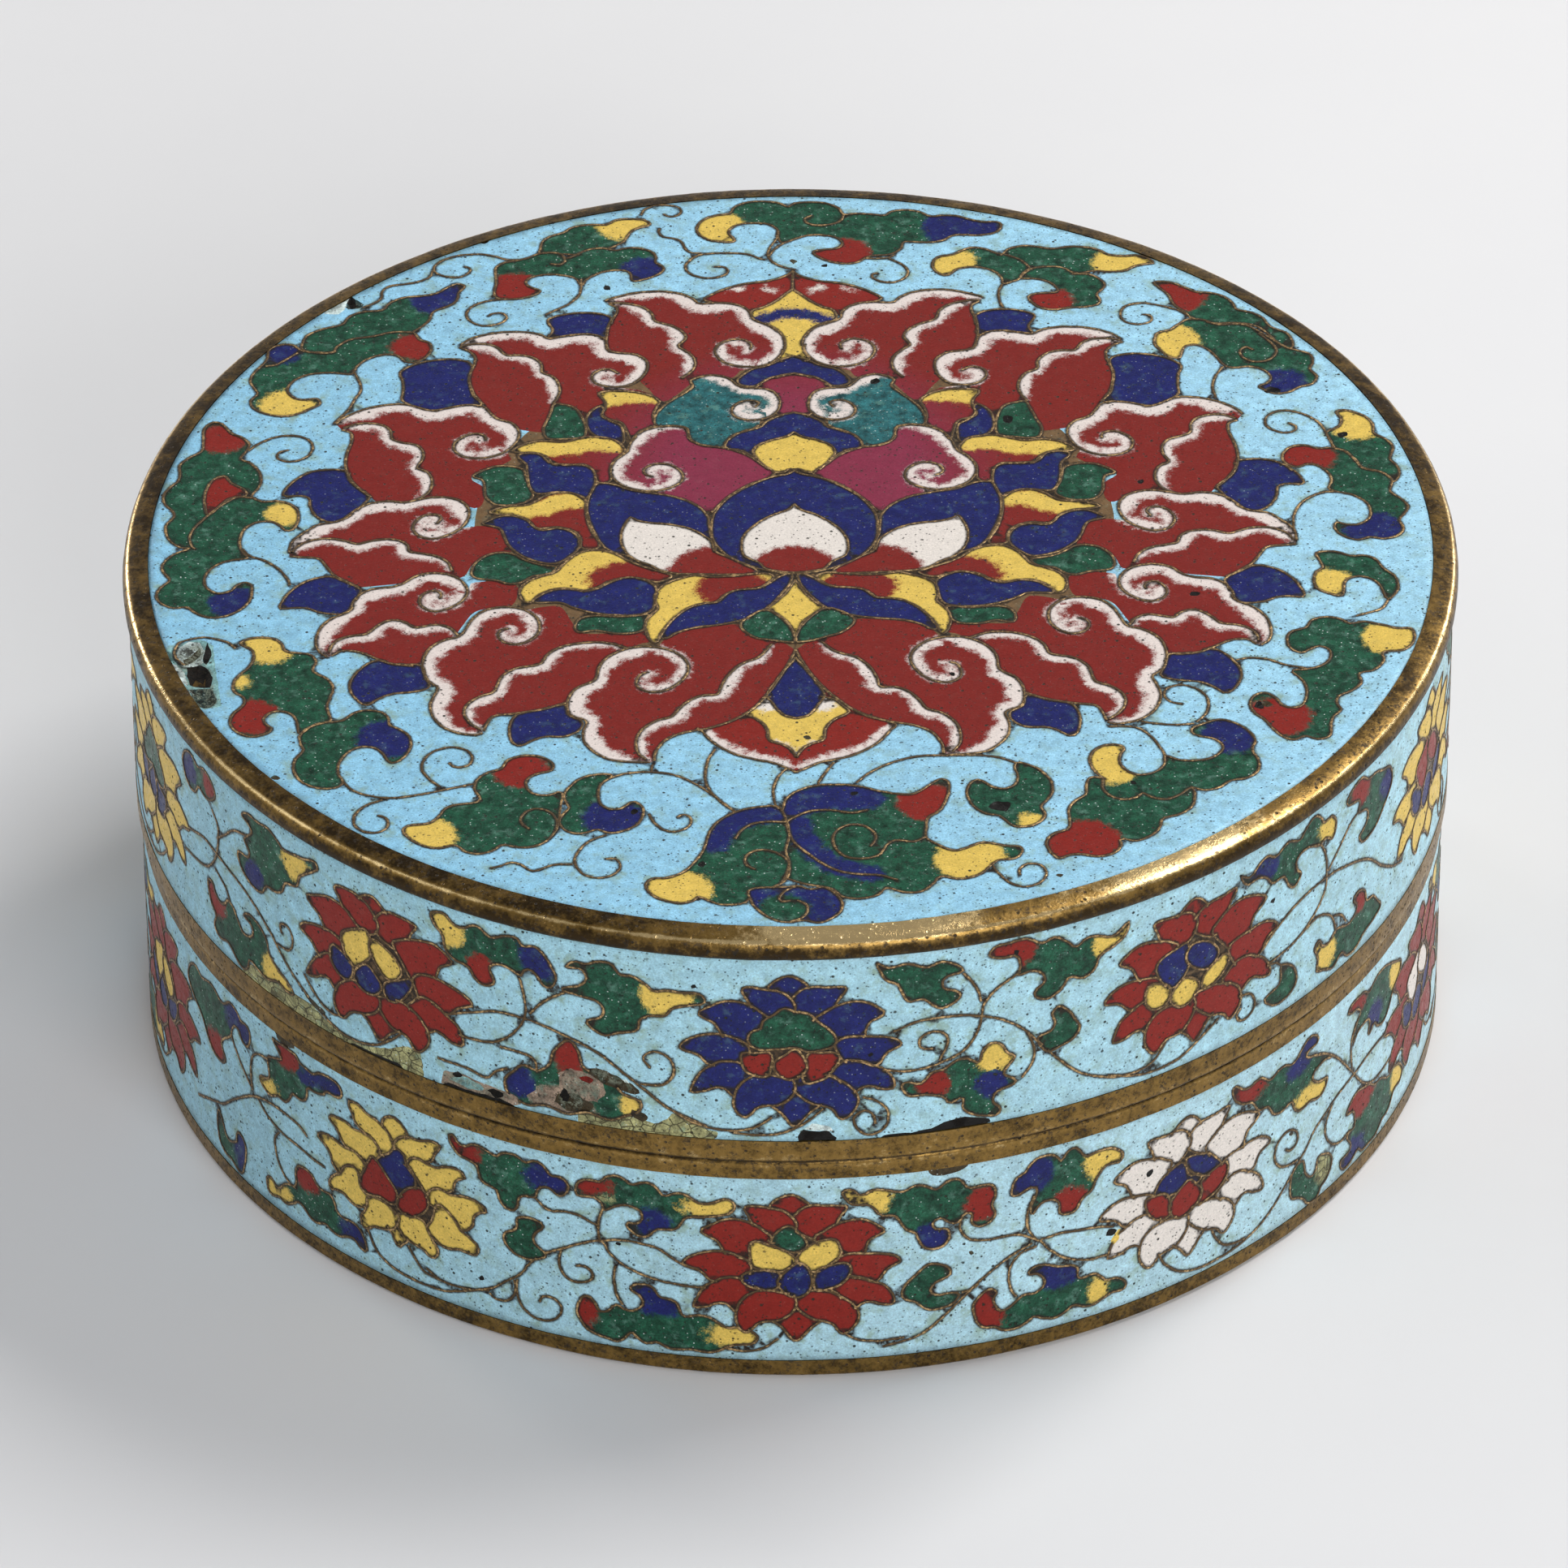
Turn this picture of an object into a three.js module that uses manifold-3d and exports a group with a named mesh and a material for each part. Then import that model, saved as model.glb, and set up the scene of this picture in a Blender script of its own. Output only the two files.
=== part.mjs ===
// Round cloisonne enamel box with a lift-off cover, in millimetres, +Z up.
// The origin is the centre of the foot's underside. -Y is the side with the blue lotus on the cover.
// Two gilt bronze bodies, the box and its cover, are turned shapes with shallow recesses in their
// outer faces. Each recess is filled flush with enamel, which is a solid of its own.
import * as THREE from 'three';
import { mergeVertices } from 'three/addons/utils/BufferGeometryUtils.js';
import Module from 'manifold-3d';

// Driving dimensions
const COVER_WALL_R = 62.0;      // outside of the cover's enamelled wall
const BOX_WALL_R = 61.6;        // the box's wall stands a little inside the cover's
const HEIGHT = 50.3;            // foot to the flat of the cover
const SEAM_Z = 25.0;            // where the cover rests on the box
const WALL_T = 2.6;             // bronze and enamel together
const TOP_T = 2.8;              // cover's plate and its enamel together
const FLOOR_T = 2.6;            // box's floor and its enamel together
const ENAMEL_T = 0.9;           // depth of every enamel recess
const SEGMENTS = 72;            // facets round the axis

// Rim of the cover: a flat ring, a rounded shoulder and a short side
const TOP_FIELD_R = 60.0;       // radius of the enamelled field on top
const RIM_R = 62.4;             // the rim stands proud of the wall
const RIM_FLAT_R = 61.1;        // where the flat ring turns into the shoulder
const RIM_SIDE_Z = 48.0;        // lower edge of the rim, where the enamel begins
const SHOULDER_STEPS = 5;

// Bare bronze bands along the seam and the foot
const COVER_BAND_TOP_Z = 27.55;
const BOX_BAND_LOW_Z = 22.95;
const FOOT_BAND_TOP_Z = 2.0;
const EDGE_R = 0.5;             // rounding at the two edges that meet at the seam
const FOOT_EDGE = 0.4;          // chamfer at the foot

// Inner lip of the box, which the cover slides over
const LIP_GAP = 0.3;            // clearance between the lip and the cover's wall
const LIP_T = 1.4;
const LIP_TOP_Z = 29.8;
const LIP_LOW_Z = 20.5;
const LIP_CHAMFER = 0.5;

// Underside: a foot ring round a shallow recess that holds a plain enamel field
const FOOT_RING_W = 3.0;
const FOOT_RECESS = 0.9;

const GILT = { color: 0x9c7638, roughness: 0.38, metalness: 1.0 };
const TURQUOISE = { color: 0x86c5dd, roughness: 0.28, metalness: 0.0 };

// Closed radius and height pairs turned round the axis. They run anticlockwise in the (r, z) plane,
// and the last point repeats the first unless both ends lie on the axis.
function turned(profile) {
  const onAxis = profile[0][0] === 0 && profile[profile.length - 1][0] === 0;
  const points = profile.map(([r, z]) => new THREE.Vector2(r, z));
  if (!onAxis) points.push(points[0].clone());
  const geometry = new THREE.LatheGeometry(points, SEGMENTS);
  geometry.rotateX(Math.PI / 2);
  return geometry;
}

// Points on a quarter of an ellipse, from (r0, z0) to (r1, z1). Its centre shares r0 and z1 where
// `start` is 'level', for a curve that sets off level, and r1 and z0 where it sets off upright.
function quarter(r0, z0, r1, z1, start, steps = SHOULDER_STEPS) {
  const points = [];
  for (let i = 1; i < steps; i++) {
    const a = (Math.PI / 2) * (i / steps);
    const [u, v] = start === 'level' ? [Math.sin(a), 1 - Math.cos(a)] : [1 - Math.cos(a), Math.sin(a)];
    points.push([r0 + (r1 - r0) * u, z0 + (z1 - z0) * v]);
  }
  return points;
}

// Cover: plate, rim, recessed wall and the band at the seam
function coverProfile() {
  const inner = COVER_WALL_R - WALL_T;
  const back = COVER_WALL_R - ENAMEL_T;
  const ceiling = HEIGHT - TOP_T;
  const shoulderZ = HEIGHT - (RIM_R - RIM_FLAT_R);
  return [
    [0, ceiling],
    [inner, ceiling],
    [inner, SEAM_Z],
    [COVER_WALL_R - EDGE_R, SEAM_Z],
    ...quarter(COVER_WALL_R - EDGE_R, SEAM_Z, COVER_WALL_R, SEAM_Z + EDGE_R, 'level', 3),
    [COVER_WALL_R, SEAM_Z + EDGE_R],
    [COVER_WALL_R, COVER_BAND_TOP_Z],
    [back, COVER_BAND_TOP_Z],
    [back, RIM_SIDE_Z],
    [RIM_R - 0.3, RIM_SIDE_Z],
    [RIM_R, RIM_SIDE_Z + 0.4],
    [RIM_R, shoulderZ],
    ...quarter(RIM_R, shoulderZ, RIM_FLAT_R, HEIGHT, 'upright'),
    [RIM_FLAT_R, HEIGHT],
    [TOP_FIELD_R, HEIGHT],
    [TOP_FIELD_R, HEIGHT - ENAMEL_T],
    [0, HEIGHT - ENAMEL_T],
  ];
}

// Box: foot ring, floor, recessed wall, band at the seam and the inner lip
function boxProfile() {
  const inner = BOX_WALL_R - WALL_T;
  const back = BOX_WALL_R - ENAMEL_T;
  const lipOuter = COVER_WALL_R - WALL_T - LIP_GAP;
  const lipInner = lipOuter - LIP_T;
  const footInner = BOX_WALL_R - FOOT_RING_W;
  const floorZ = FOOT_RECESS + FLOOR_T;
  return [
    [0, FOOT_RECESS + ENAMEL_T],
    [footInner, FOOT_RECESS + ENAMEL_T],
    [footInner, 0],
    [BOX_WALL_R - FOOT_EDGE, 0],
    [BOX_WALL_R, FOOT_EDGE],
    [BOX_WALL_R, FOOT_BAND_TOP_Z],
    [back, FOOT_BAND_TOP_Z],
    [back, BOX_BAND_LOW_Z],
    [BOX_WALL_R, BOX_BAND_LOW_Z],
    [BOX_WALL_R, SEAM_Z - EDGE_R],
    ...quarter(BOX_WALL_R, SEAM_Z - EDGE_R, BOX_WALL_R - EDGE_R, SEAM_Z, 'upright', 3),
    [BOX_WALL_R - EDGE_R, SEAM_Z],
    [lipOuter, SEAM_Z],
    [lipOuter, LIP_TOP_Z - LIP_CHAMFER],
    [lipOuter - LIP_CHAMFER, LIP_TOP_Z],
    [lipInner, LIP_TOP_Z],
    [lipInner, LIP_LOW_Z],
    [inner, LIP_LOW_Z - (inner - lipInner)],
    [inner, floorZ],
    [0, floorZ],
  ];
}

// Enamel that fills a wall's recess flush, between two bronze bands
function wallEnamel(outer, low, high) {
  return turned([[outer - ENAMEL_T, low], [outer, low], [outer, high], [outer - ENAMEL_T, high]]);
}

// Enamel disc that fills a flat recess
function discEnamel(radius, low) {
  return turned([[0, low], [radius, low], [radius, low + ENAMEL_T], [0, low + ENAMEL_T]]);
}

const wasm = await Module();
wasm.setup();

function toSolid(geometry) {
  const bare = geometry.clone();
  bare.deleteAttribute('normal');
  bare.deleteAttribute('uv');
  const merged = mergeVertices(bare.index ? bare : mergeVertices(bare), 1e-4);
  return new wasm.Manifold(new wasm.Mesh({
    numProp: 3,
    vertProperties: new Float32Array(merged.attributes.position.array),
    triVerts: new Uint32Array(merged.index.array),
  }));
}

function toGeometry(solid) {
  const mesh = solid.getMesh();
  const geometry = new THREE.BufferGeometry();
  geometry.setAttribute('position', new THREE.BufferAttribute(new Float32Array(mesh.vertProperties), 3));
  geometry.setIndex(new THREE.BufferAttribute(new Uint32Array(mesh.triVerts), 1));
  return geometry;
}

// A loss in the enamel is a hole through it, down to the bronze. Its outline is an oval of
// `length` by `width` whose edge wanders in and out by `rough`, because fired glass breaks unevenly.
const LOSS_SIDES = 9;

function lossCutter(length, width, rough) {
  const shape = new THREE.Shape();
  for (let i = 0; i < LOSS_SIDES; i++) {
    const a = (2 * Math.PI * i) / LOSS_SIDES;
    const reach = 1 + rough * Math.sin(2.6 * i + 1);
    const point = [0.5 * length * Math.cos(a) * reach, 0.5 * width * Math.sin(a) * reach];
    if (i === 0) shape.moveTo(...point);
    else shape.lineTo(...point);
  }
  shape.closePath();
  const depth = 6 * ENAMEL_T;
  const geometry = new THREE.ExtrudeGeometry(shape, { depth, bevelEnabled: false, steps: 1 });
  geometry.translate(0, 0, -depth / 2);
  return geometry;
}

// Cuts a loss at (x, y) of the top field, its length turned `turn` degrees from X
function topLoss(solid, { x, y, length, width, turn }) {
  const cutter = lossCutter(length, width, 0.12);
  cutter.rotateZ(THREE.MathUtils.degToRad(turn));
  cutter.translate(x, y, HEIGHT);
  return solid.subtract(toSolid(cutter));
}

// Cuts a loss in a wall, `along` millimetres round from the front, to the right, at height z
function wallLoss(solid, outer, { along, z, length, width }) {
  const cutter = lossCutter(length, width, 0.12);
  cutter.rotateX(Math.PI / 2);
  cutter.translate(0, -outer, z);
  cutter.rotateZ(along / outer);
  return solid.subtract(toSolid(cutter));
}

const TOP_LOSSES = [
  { x: -54.6, y: -18.6, length: 8.4, width: 3.6, turn: 112 },
  { x: -43.6, y: 41.4, length: 3.2, width: 1.8, turn: 44 },
];
const COVER_WALL_LOSSES = [
  { along: 2.6, z: 27.6, length: 4.2, width: 1.7 },
  { along: 12.6, z: 27.6, length: 10.0, width: 1.3 },
  { along: -31.5, z: 28.5, length: 6.4, width: 1.5 },
];

function coverTopEnamel() {
  let solid = toSolid(discEnamel(TOP_FIELD_R, HEIGHT - ENAMEL_T));
  for (const loss of TOP_LOSSES) solid = topLoss(solid, loss);
  return toGeometry(solid);
}

function coverWallEnamel() {
  let solid = toSolid(wallEnamel(COVER_WALL_R, COVER_BAND_TOP_Z, RIM_SIDE_Z));
  for (const loss of COVER_WALL_LOSSES) solid = wallLoss(solid, COVER_WALL_R, loss);
  return toGeometry(solid);
}

function piece(name, geometry, finish) {
  const mesh = new THREE.Mesh(geometry, new THREE.MeshStandardMaterial(finish));
  mesh.name = name;
  return mesh;
}

const box = new THREE.Group();
box.add(
  piece('box_body', turned(boxProfile()), GILT),
  piece('box_wall_enamel', wallEnamel(BOX_WALL_R, FOOT_BAND_TOP_Z, BOX_BAND_LOW_Z), TURQUOISE),
  piece('box_underside_enamel', discEnamel(BOX_WALL_R - FOOT_RING_W, FOOT_RECESS), TURQUOISE),
);

const cover = new THREE.Group();
cover.add(
  piece('cover_body', turned(coverProfile()), GILT),
  piece('cover_wall_enamel', coverWallEnamel(), TURQUOISE),
  piece('cover_top_enamel', coverTopEnamel(), TURQUOISE),
);

const whole = new THREE.Group();
whole.add(box, cover);
export default whole;
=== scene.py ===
import math

import bpy
import numpy as np
from mathutils import Matrix, Vector
from mathutils.geometry import delaunay_2d_cdt


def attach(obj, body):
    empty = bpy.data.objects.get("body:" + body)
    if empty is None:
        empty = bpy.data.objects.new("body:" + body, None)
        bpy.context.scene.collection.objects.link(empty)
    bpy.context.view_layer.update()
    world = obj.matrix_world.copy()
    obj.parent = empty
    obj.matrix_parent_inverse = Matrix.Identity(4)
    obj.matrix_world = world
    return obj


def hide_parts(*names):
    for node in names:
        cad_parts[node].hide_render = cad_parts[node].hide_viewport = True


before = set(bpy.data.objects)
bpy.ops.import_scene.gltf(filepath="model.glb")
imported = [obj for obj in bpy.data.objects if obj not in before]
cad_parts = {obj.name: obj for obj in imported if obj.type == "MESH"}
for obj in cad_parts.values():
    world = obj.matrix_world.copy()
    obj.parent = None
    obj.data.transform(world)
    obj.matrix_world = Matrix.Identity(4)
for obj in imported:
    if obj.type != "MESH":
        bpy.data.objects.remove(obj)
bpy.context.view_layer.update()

# Looks of a round cloisonne enamel box with a lift-off cover. Lengths here are in millimetres.
# Each enamelled face is drawn flat, as outlines of cells and lines of wire, and cut into triangles
# along them. The flat drawing is then laid on the cover's top or wrapped round a wall.
MM = 0.001

# Sizes, as in the CAD source
COVER_R = 62.0
BOX_R = 61.6
HEIGHT = 50.3
ENAMEL_T = 0.9
TOP_FIELD_R = 60.0
COVER_FIELD = (27.55, 48.0)
BOX_FIELD = (2.0, 22.95)

# How the drawing is cut up
WIRE_STEP = 0.42          # spacing of points along a wire
GRID_STEP = 0.85          # spacing of the points that fill a cell
GRID_CLEAR = 0.35         # and how far they stay from the face's outer edge
HIDE_CLEAR = 0.16         # a wire this close to a later cell's outline still shows
WIRE_W = 0.27
WIRE_RISE = 0.05
WIRE_REACH = 2.0          # dirt and stains look no farther than this for a wire
FAR = 3.0                 # depth in a second colour is kept between -FAR and FAR
ENAMEL_DROP = 0.10        # how far the polished enamel lies below the highest metal
EDGE_DEPTH = ENAMEL_T - 0.02
FACE_GAP = 0.02           # between an enamelled strip and the metal above and below it
SEAM = 175.3              # where a wall's drawing begins and ends, round from the front
SIDES = 540               # of the turned bodies
BODY_STEP = 0.7           # spacing of points along a turned body's outline


def srgb(r, g, b):
    """Linear colour from the usual 0 to 255 numbers."""
    c = np.array([r, g, b], float) / 255.0
    return np.where(c <= 0.04045, c / 12.92, ((c + 0.055) / 1.055) ** 2.4)


# Enamel colours: linear colour and the share of pale flecks in the glass. Above 1 the glass is cracked.
COLOURS = {
    "r": (srgb(132, 34, 26), 0.05),       # red
    "m": (srgb(124, 34, 28), 0.05),       # petal red
    "b": (srgb(26, 32, 94), 0.34),        # blue
    "g": (srgb(27, 74, 54), 0.85),        # green
    "e": (srgb(40, 96, 100), 0.80),       # blue green
    "y": (srgb(222, 190, 92), 0.10),      # yellow
    "w": (srgb(228, 220, 212), 0.0),      # white
    "v": (srgb(226, 214, 208), 0.0),      # white of a petal's edge
    "o": (srgb(150, 148, 104), 2.0),      # cracked olive fill
    "p": (srgb(134, 116, 100), 0.90),     # brown fill
    "f": (srgb(206, 222, 220), 0.60),     # pale broken glass
    "s": (srgb(128, 172, 172), 0.60),     # dull turquoise round a loss
    "d": (srgb(44, 64, 64), 0.70),        # dark glass in a loss
    "k": (srgb(18, 16, 14), 0.0),         # black hole
    "n": (srgb(62, 52, 34), 0.60),        # brown dirt
    "c": (srgb(112, 88, 60), 0.30),       # copper brown between a flower's petals
}


def pts(text):
    """Points from 'x,y x,y ...'."""
    return np.array([[float(v) for v in p.split(",")] for p in text.split()])


def curve(control, closed=False, step=WIRE_STEP):
    """Points at an even spacing on the smooth curve through the control points."""
    c = np.asarray(control, float)
    n = len(c)
    if n < 3:
        length = np.linalg.norm(c[-1] - c[0])
        k = max(2, int(length / step) + 1)
        return c[0] + np.linspace(0, 1, k)[:, None] * (c[-1] - c[0])
    if closed:
        p = np.vstack([c[-1], c, c[0], c[1]])
        spans = n
    else:
        p = np.vstack([2 * c[0] - c[1], c, 2 * c[-1] - c[-2]])
        spans = n - 1
    out = []
    t = np.linspace(0, 1, 9)[:-1][:, None]
    for i in range(spans):
        a, b, d, e = p[i], p[i + 1], p[i + 2], p[i + 3]
        out.append(0.5 * (2 * b + (d - a) * t + (2 * a - 5 * b + 4 * d - e) * t ** 2
                          + (3 * b - a - 3 * d + e) * t ** 3))
    fine = np.vstack(out + [p[spans + 1][None]])
    return even(fine, step)


def even(line, step=WIRE_STEP):
    """The same line with its points spread evenly, about `step` apart."""
    length = np.r_[0, np.cumsum(np.linalg.norm(np.diff(line, axis=0), axis=1))]
    k = max(2, int(round(length[-1] / step)) + 1)
    at = np.linspace(0, length[-1], k)
    return np.c_[np.interp(at, length, line[:, 0]), np.interp(at, length, line[:, 1])]


def inside(points, outline):
    """Which points lie in the closed outline."""
    lo, hi = outline.min(0), outline.max(0)
    hit = np.zeros(len(points), bool)
    near = np.flatnonzero(((points >= lo) & (points <= hi)).all(1))
    if not len(near):
        return hit
    p = points[near]
    a = outline
    b = np.roll(outline, -1, axis=0)
    found = np.zeros(len(near), bool)
    for s in range(0, len(a), 256):
        a1, b1 = a[s:s + 256], b[s:s + 256]
        up = (a1[None, :, 1] > p[:, 1, None]) != (b1[None, :, 1] > p[:, 1, None])
        dy = b1[:, 1] - a1[:, 1]
        dy = np.where(dy == 0, 1e-12, dy)
        x = a1[:, 0] + (p[:, 1, None] - a1[:, 1]) * (b1[:, 0] - a1[:, 0]) / dy
        found ^= (np.count_nonzero(up & (p[:, 0, None] < x), axis=1) % 2).astype(bool)
    hit[near] = found
    return hit


def distance(points, line, width=None):
    """Distance from each point to the line, less the half width of the nearest spot on it."""
    a, b = line[:-1], line[1:]
    d = b - a
    size = np.maximum((d ** 2).sum(1), 1e-12)
    best = np.full(len(points), 1e9)
    for s in range(0, len(points), 4096):
        p = points[s:s + 4096]
        t = np.clip(((p[:, None] - a) * d).sum(2) / size, 0, 1)
        gap = np.linalg.norm(p[:, None] - (a + t[..., None] * d), axis=2)
        if width is not None:
            gap = gap - (width[:-1] + t * (width[1:] - width[:-1]))
        best[s:s + 4096] = gap.min(1)
    return best


class Panel:
    """A flat drawing: cells in painter's order, and wires with the number of the cell they lie on."""

    def __init__(self):
        self.cells = []
        self.wires = []

    def cell(self, outline, colour, tints=(), bands=(), wire=True, shift=None):
        """A closed cell. Tints are (colour, kind, data) and bands are (colour, line, widths).

        It gets a wire all round, or the given lines as its wires, or none. `shift` changes the colour
        from place to place."""
        order = len(self.cells)
        self.cells.append({"line": outline, "colour": colour, "tints": list(tints),
                           "bands": list(bands), "shift": shift})
        if wire is True:
            self.wires.append((np.vstack([outline, outline[:1]]), order))
        else:
            self.wires += [(w, order) for w in wire or ()]

    def wire(self, line):
        """A wire over all the cells drawn so far."""
        self.wires.append((line, len(self.cells) - 1))

    def moved(self, change):
        """A copy whose points all go through `change`."""
        other = Panel()
        for c in self.cells:
            tints = [(k, kind, change_tint(kind, data, change)) for k, kind, data in c["tints"]]
            bands = [(k, change(line), w) for k, line, w in c["bands"]]
            other.cells.append({"line": change(c["line"]), "colour": c["colour"], "tints": tints,
                                "bands": bands, "shift": c["shift"]})
        other.wires = [(change(line), order) for line, order in self.wires]
        return other

    def add(self, other):
        """Puts another drawing over this one."""
        base = len(self.cells)
        self.cells += other.cells
        self.wires += [(line, order + base) for line, order in other.wires]


def change_tint(kind, data, change):
    """The place of a soft patch, put through `change`."""
    if kind == "disc":
        centre, radii = data
        return change(np.array([centre]))[0], radii
    line, width = data
    return change(line), width


def clip_wires(panel):
    """Drops the parts of each wire that a later cell covers, and returns the stretches that are left."""
    runs = []
    for line, order in panel.wires:
        line = even(line)
        mid = (line[:-1] + line[1:]) / 2
        keep = np.ones(len(mid), bool)
        for later in panel.cells[order + 1:]:
            o = later["line"]
            lo, hi = o.min(0), o.max(0)
            if (mid.max(0) < lo).any() or (mid.min(0) > hi).any():
                continue
            hidden = inside(mid, o)
            edge = distance(mid, np.vstack([o, o[:1]])) < HIDE_CLEAR
            keep &= ~(hidden & ~edge)
        start = None
        for i, k in enumerate(np.r_[keep, False]):
            if k and start is None:
                start = i
            elif not k and start is not None:
                if i - start >= 2:
                    runs.append(line[start:i + 1])
                start = None
    return runs


def hashed(i, salt=0.0):
    """A steady number from 0 to 1 for each whole number."""
    return np.modf(np.abs(np.sin(np.asarray(i, float) * 12.9898 + salt * 78.233)) * 43758.5453)[0]


def wobble(p, size, salt):
    """Smooth unevenness from -1 to 1 over a drawing, with bumps of about `size`."""
    x, y = p[:, 0] / size, p[:, 1] / size
    return (np.sin(x * 2.1 + salt) * np.cos(y * 1.7 - salt * 2.3)
            + 0.6 * np.sin(3.9 * x - 2.7 * y + salt * 1.3)
            + 0.4 * np.sin(6.1 * y + 4.3 * x + salt * 4.1)) / 2.0


def cut(panel, domain):
    """Triangles of a drawing, cut along its cells and wires, with the cell's number for each."""
    lines = [np.vstack([c["line"], c["line"][:1]]) for c in panel.cells]
    lines += [w for w, _ in panel.wires]
    lo, hi = domain.min(0), domain.max(0)
    verts, edges = [], []

    def put(line, closed=False):
        base = len(verts)
        verts.extend(line.tolist())
        edges.extend((base + i, base + i + 1) for i in range(len(line) - 1))
        if closed:
            edges.append((base + len(line) - 1, base))

    for line in lines:
        span = np.linalg.norm(line.max(0) - line.min(0))
        put(np.clip(even(line, min(0.5, 0.2 + 0.1 * span)), lo + 0.02, hi - 0.02))
    put(domain, closed=True)
    gx = np.arange(lo[0], hi[0], GRID_STEP)
    gy = np.arange(lo[1], hi[1], GRID_STEP)
    g = np.stack(np.meshgrid(gx, gy), -1).reshape(-1, 2)
    count = np.arange(len(g))
    g = g + 0.3 * GRID_STEP * np.c_[hashed(count) - 0.5, hashed(count, 1) - 0.5]
    g = g[inside(g, domain)]
    g = g[distance(g, np.vstack([domain, domain[:1]])) > GRID_CLEAR]
    verts.extend(g.tolist())
    done = delaunay_2d_cdt([Vector(v) for v in verts], edges, [], 0, 1e-4, False)
    v = np.array([tuple(p) for p in done[0]])
    f = np.array([t for t in done[2] if len(t) == 3], int)
    centre = v[f].mean(1)
    area = 0.5 * np.cross(v[f[:, 1]] - v[f[:, 0]], v[f[:, 2]] - v[f[:, 0]])
    ok = inside(centre, domain) & (np.abs(area) > 1e-6)
    f, centre, area = f[ok], centre[ok], area[ok]
    f[area < 0] = f[area < 0][:, ::-1]
    owner = np.full(len(f), -1)
    for i, c in enumerate(panel.cells):
        owner[inside(centre, c["line"])] = i
    return v, f, owner


def paint(panel, v, f, owner, ground):
    """Colours at each triangle's corners: a base, a second colour, and how deep in the second.

    Where patches meet, a triangle takes the one that it lies deepest in."""
    corner = v[f].reshape(-1, 2)
    face = np.repeat(np.arange(len(f)), 3)
    base = np.zeros((len(corner), 4))
    tint = np.zeros((len(corner), 4))
    soft = np.full(len(corner), -FAR)
    colour, fleck = ground(corner)
    base[:, :3], base[:, 3] = colour, fleck
    tint[:] = base
    for i, c in enumerate(panel.cells):
        mine = np.flatnonzero(owner[face] == i)
        if not len(mine):
            continue
        p = corner[mine]
        colour, fleck = COLOURS[c["colour"]]
        colour = np.tile(colour, (len(p), 1))
        if c["shift"] is not None:
            colour = c["shift"](p, colour)
        base[mine, :3], base[mine, 3] = colour, fleck
        tint[mine] = base[mine]
        best = np.full(len(p), -FAR)
        layers = []
        for k, kind, data in c["tints"]:
            if kind == "disc":
                where, radii = data
                size = np.array([radii, radii]) if np.isscalar(radii) else np.array(radii)
                q = np.linalg.norm((p - where) / size, axis=1)
                layers.append((k, (1 - q) * size.min()))
            else:
                line, width = data
                layers.append((k, width - distance(p, line)))
        for k, line, widths in c["bands"]:
            layers.append((k, -distance(p, line, widths)))
        for k, depth in layers:
            first = np.arange(0, len(p), 3)
            win = np.repeat(np.maximum.reduceat(depth, first) > np.maximum.reduceat(best, first), 3)
            best[win] = depth[win]
            tint[mine[win], :3], tint[mine[win], 3] = COLOURS[k]
        soft[mine] = np.clip(best, -FAR, FAR)
    return base, tint, soft, (owner[face] < 0).astype(float)


def nearest_wire(v, runs):
    """Distance from each point to the nearest wire, up to WIRE_REACH."""
    best = np.full(len(v), WIRE_REACH)
    order = np.argsort(v[:, 0])
    x = v[order, 0]
    for line in runs:
        for s in range(0, len(line) - 1, 12):
            part = line[s:s + 13]
            lo, hi = part.min(0) - WIRE_REACH, part.max(0) + WIRE_REACH
            i, j = np.searchsorted(x, [lo[0], hi[0]])
            near = order[i:j]
            near = near[(v[near, 1] > lo[1]) & (v[near, 1] < hi[1])]
            if len(near):
                best[near] = np.minimum(best[near], distance(v[near], part))
    return best


def new_object(name, verts, faces, material):
    """A smooth piece of the object."""
    mesh = bpy.data.meshes.new(name)
    mesh.from_pydata(np.asarray(verts).tolist(), [], faces)
    mesh.validate()
    mesh.polygons.foreach_set("use_smooth", np.ones(len(mesh.polygons), bool))
    mesh.materials.append(material)
    mesh.update()
    obj = bpy.data.objects.new(name, mesh)
    bpy.context.scene.collection.objects.link(obj)
    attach(obj, "root")
    return obj


def add_layer(mesh, name, kind, domain, values):
    """Values at a mesh's points or corners, which its material reads by name."""
    layer = mesh.attributes.new(name, kind, domain)
    key = "color" if kind == "FLOAT_COLOR" else "value"
    layer.data.foreach_set(key, np.asarray(values, np.float32).ravel())


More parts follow.
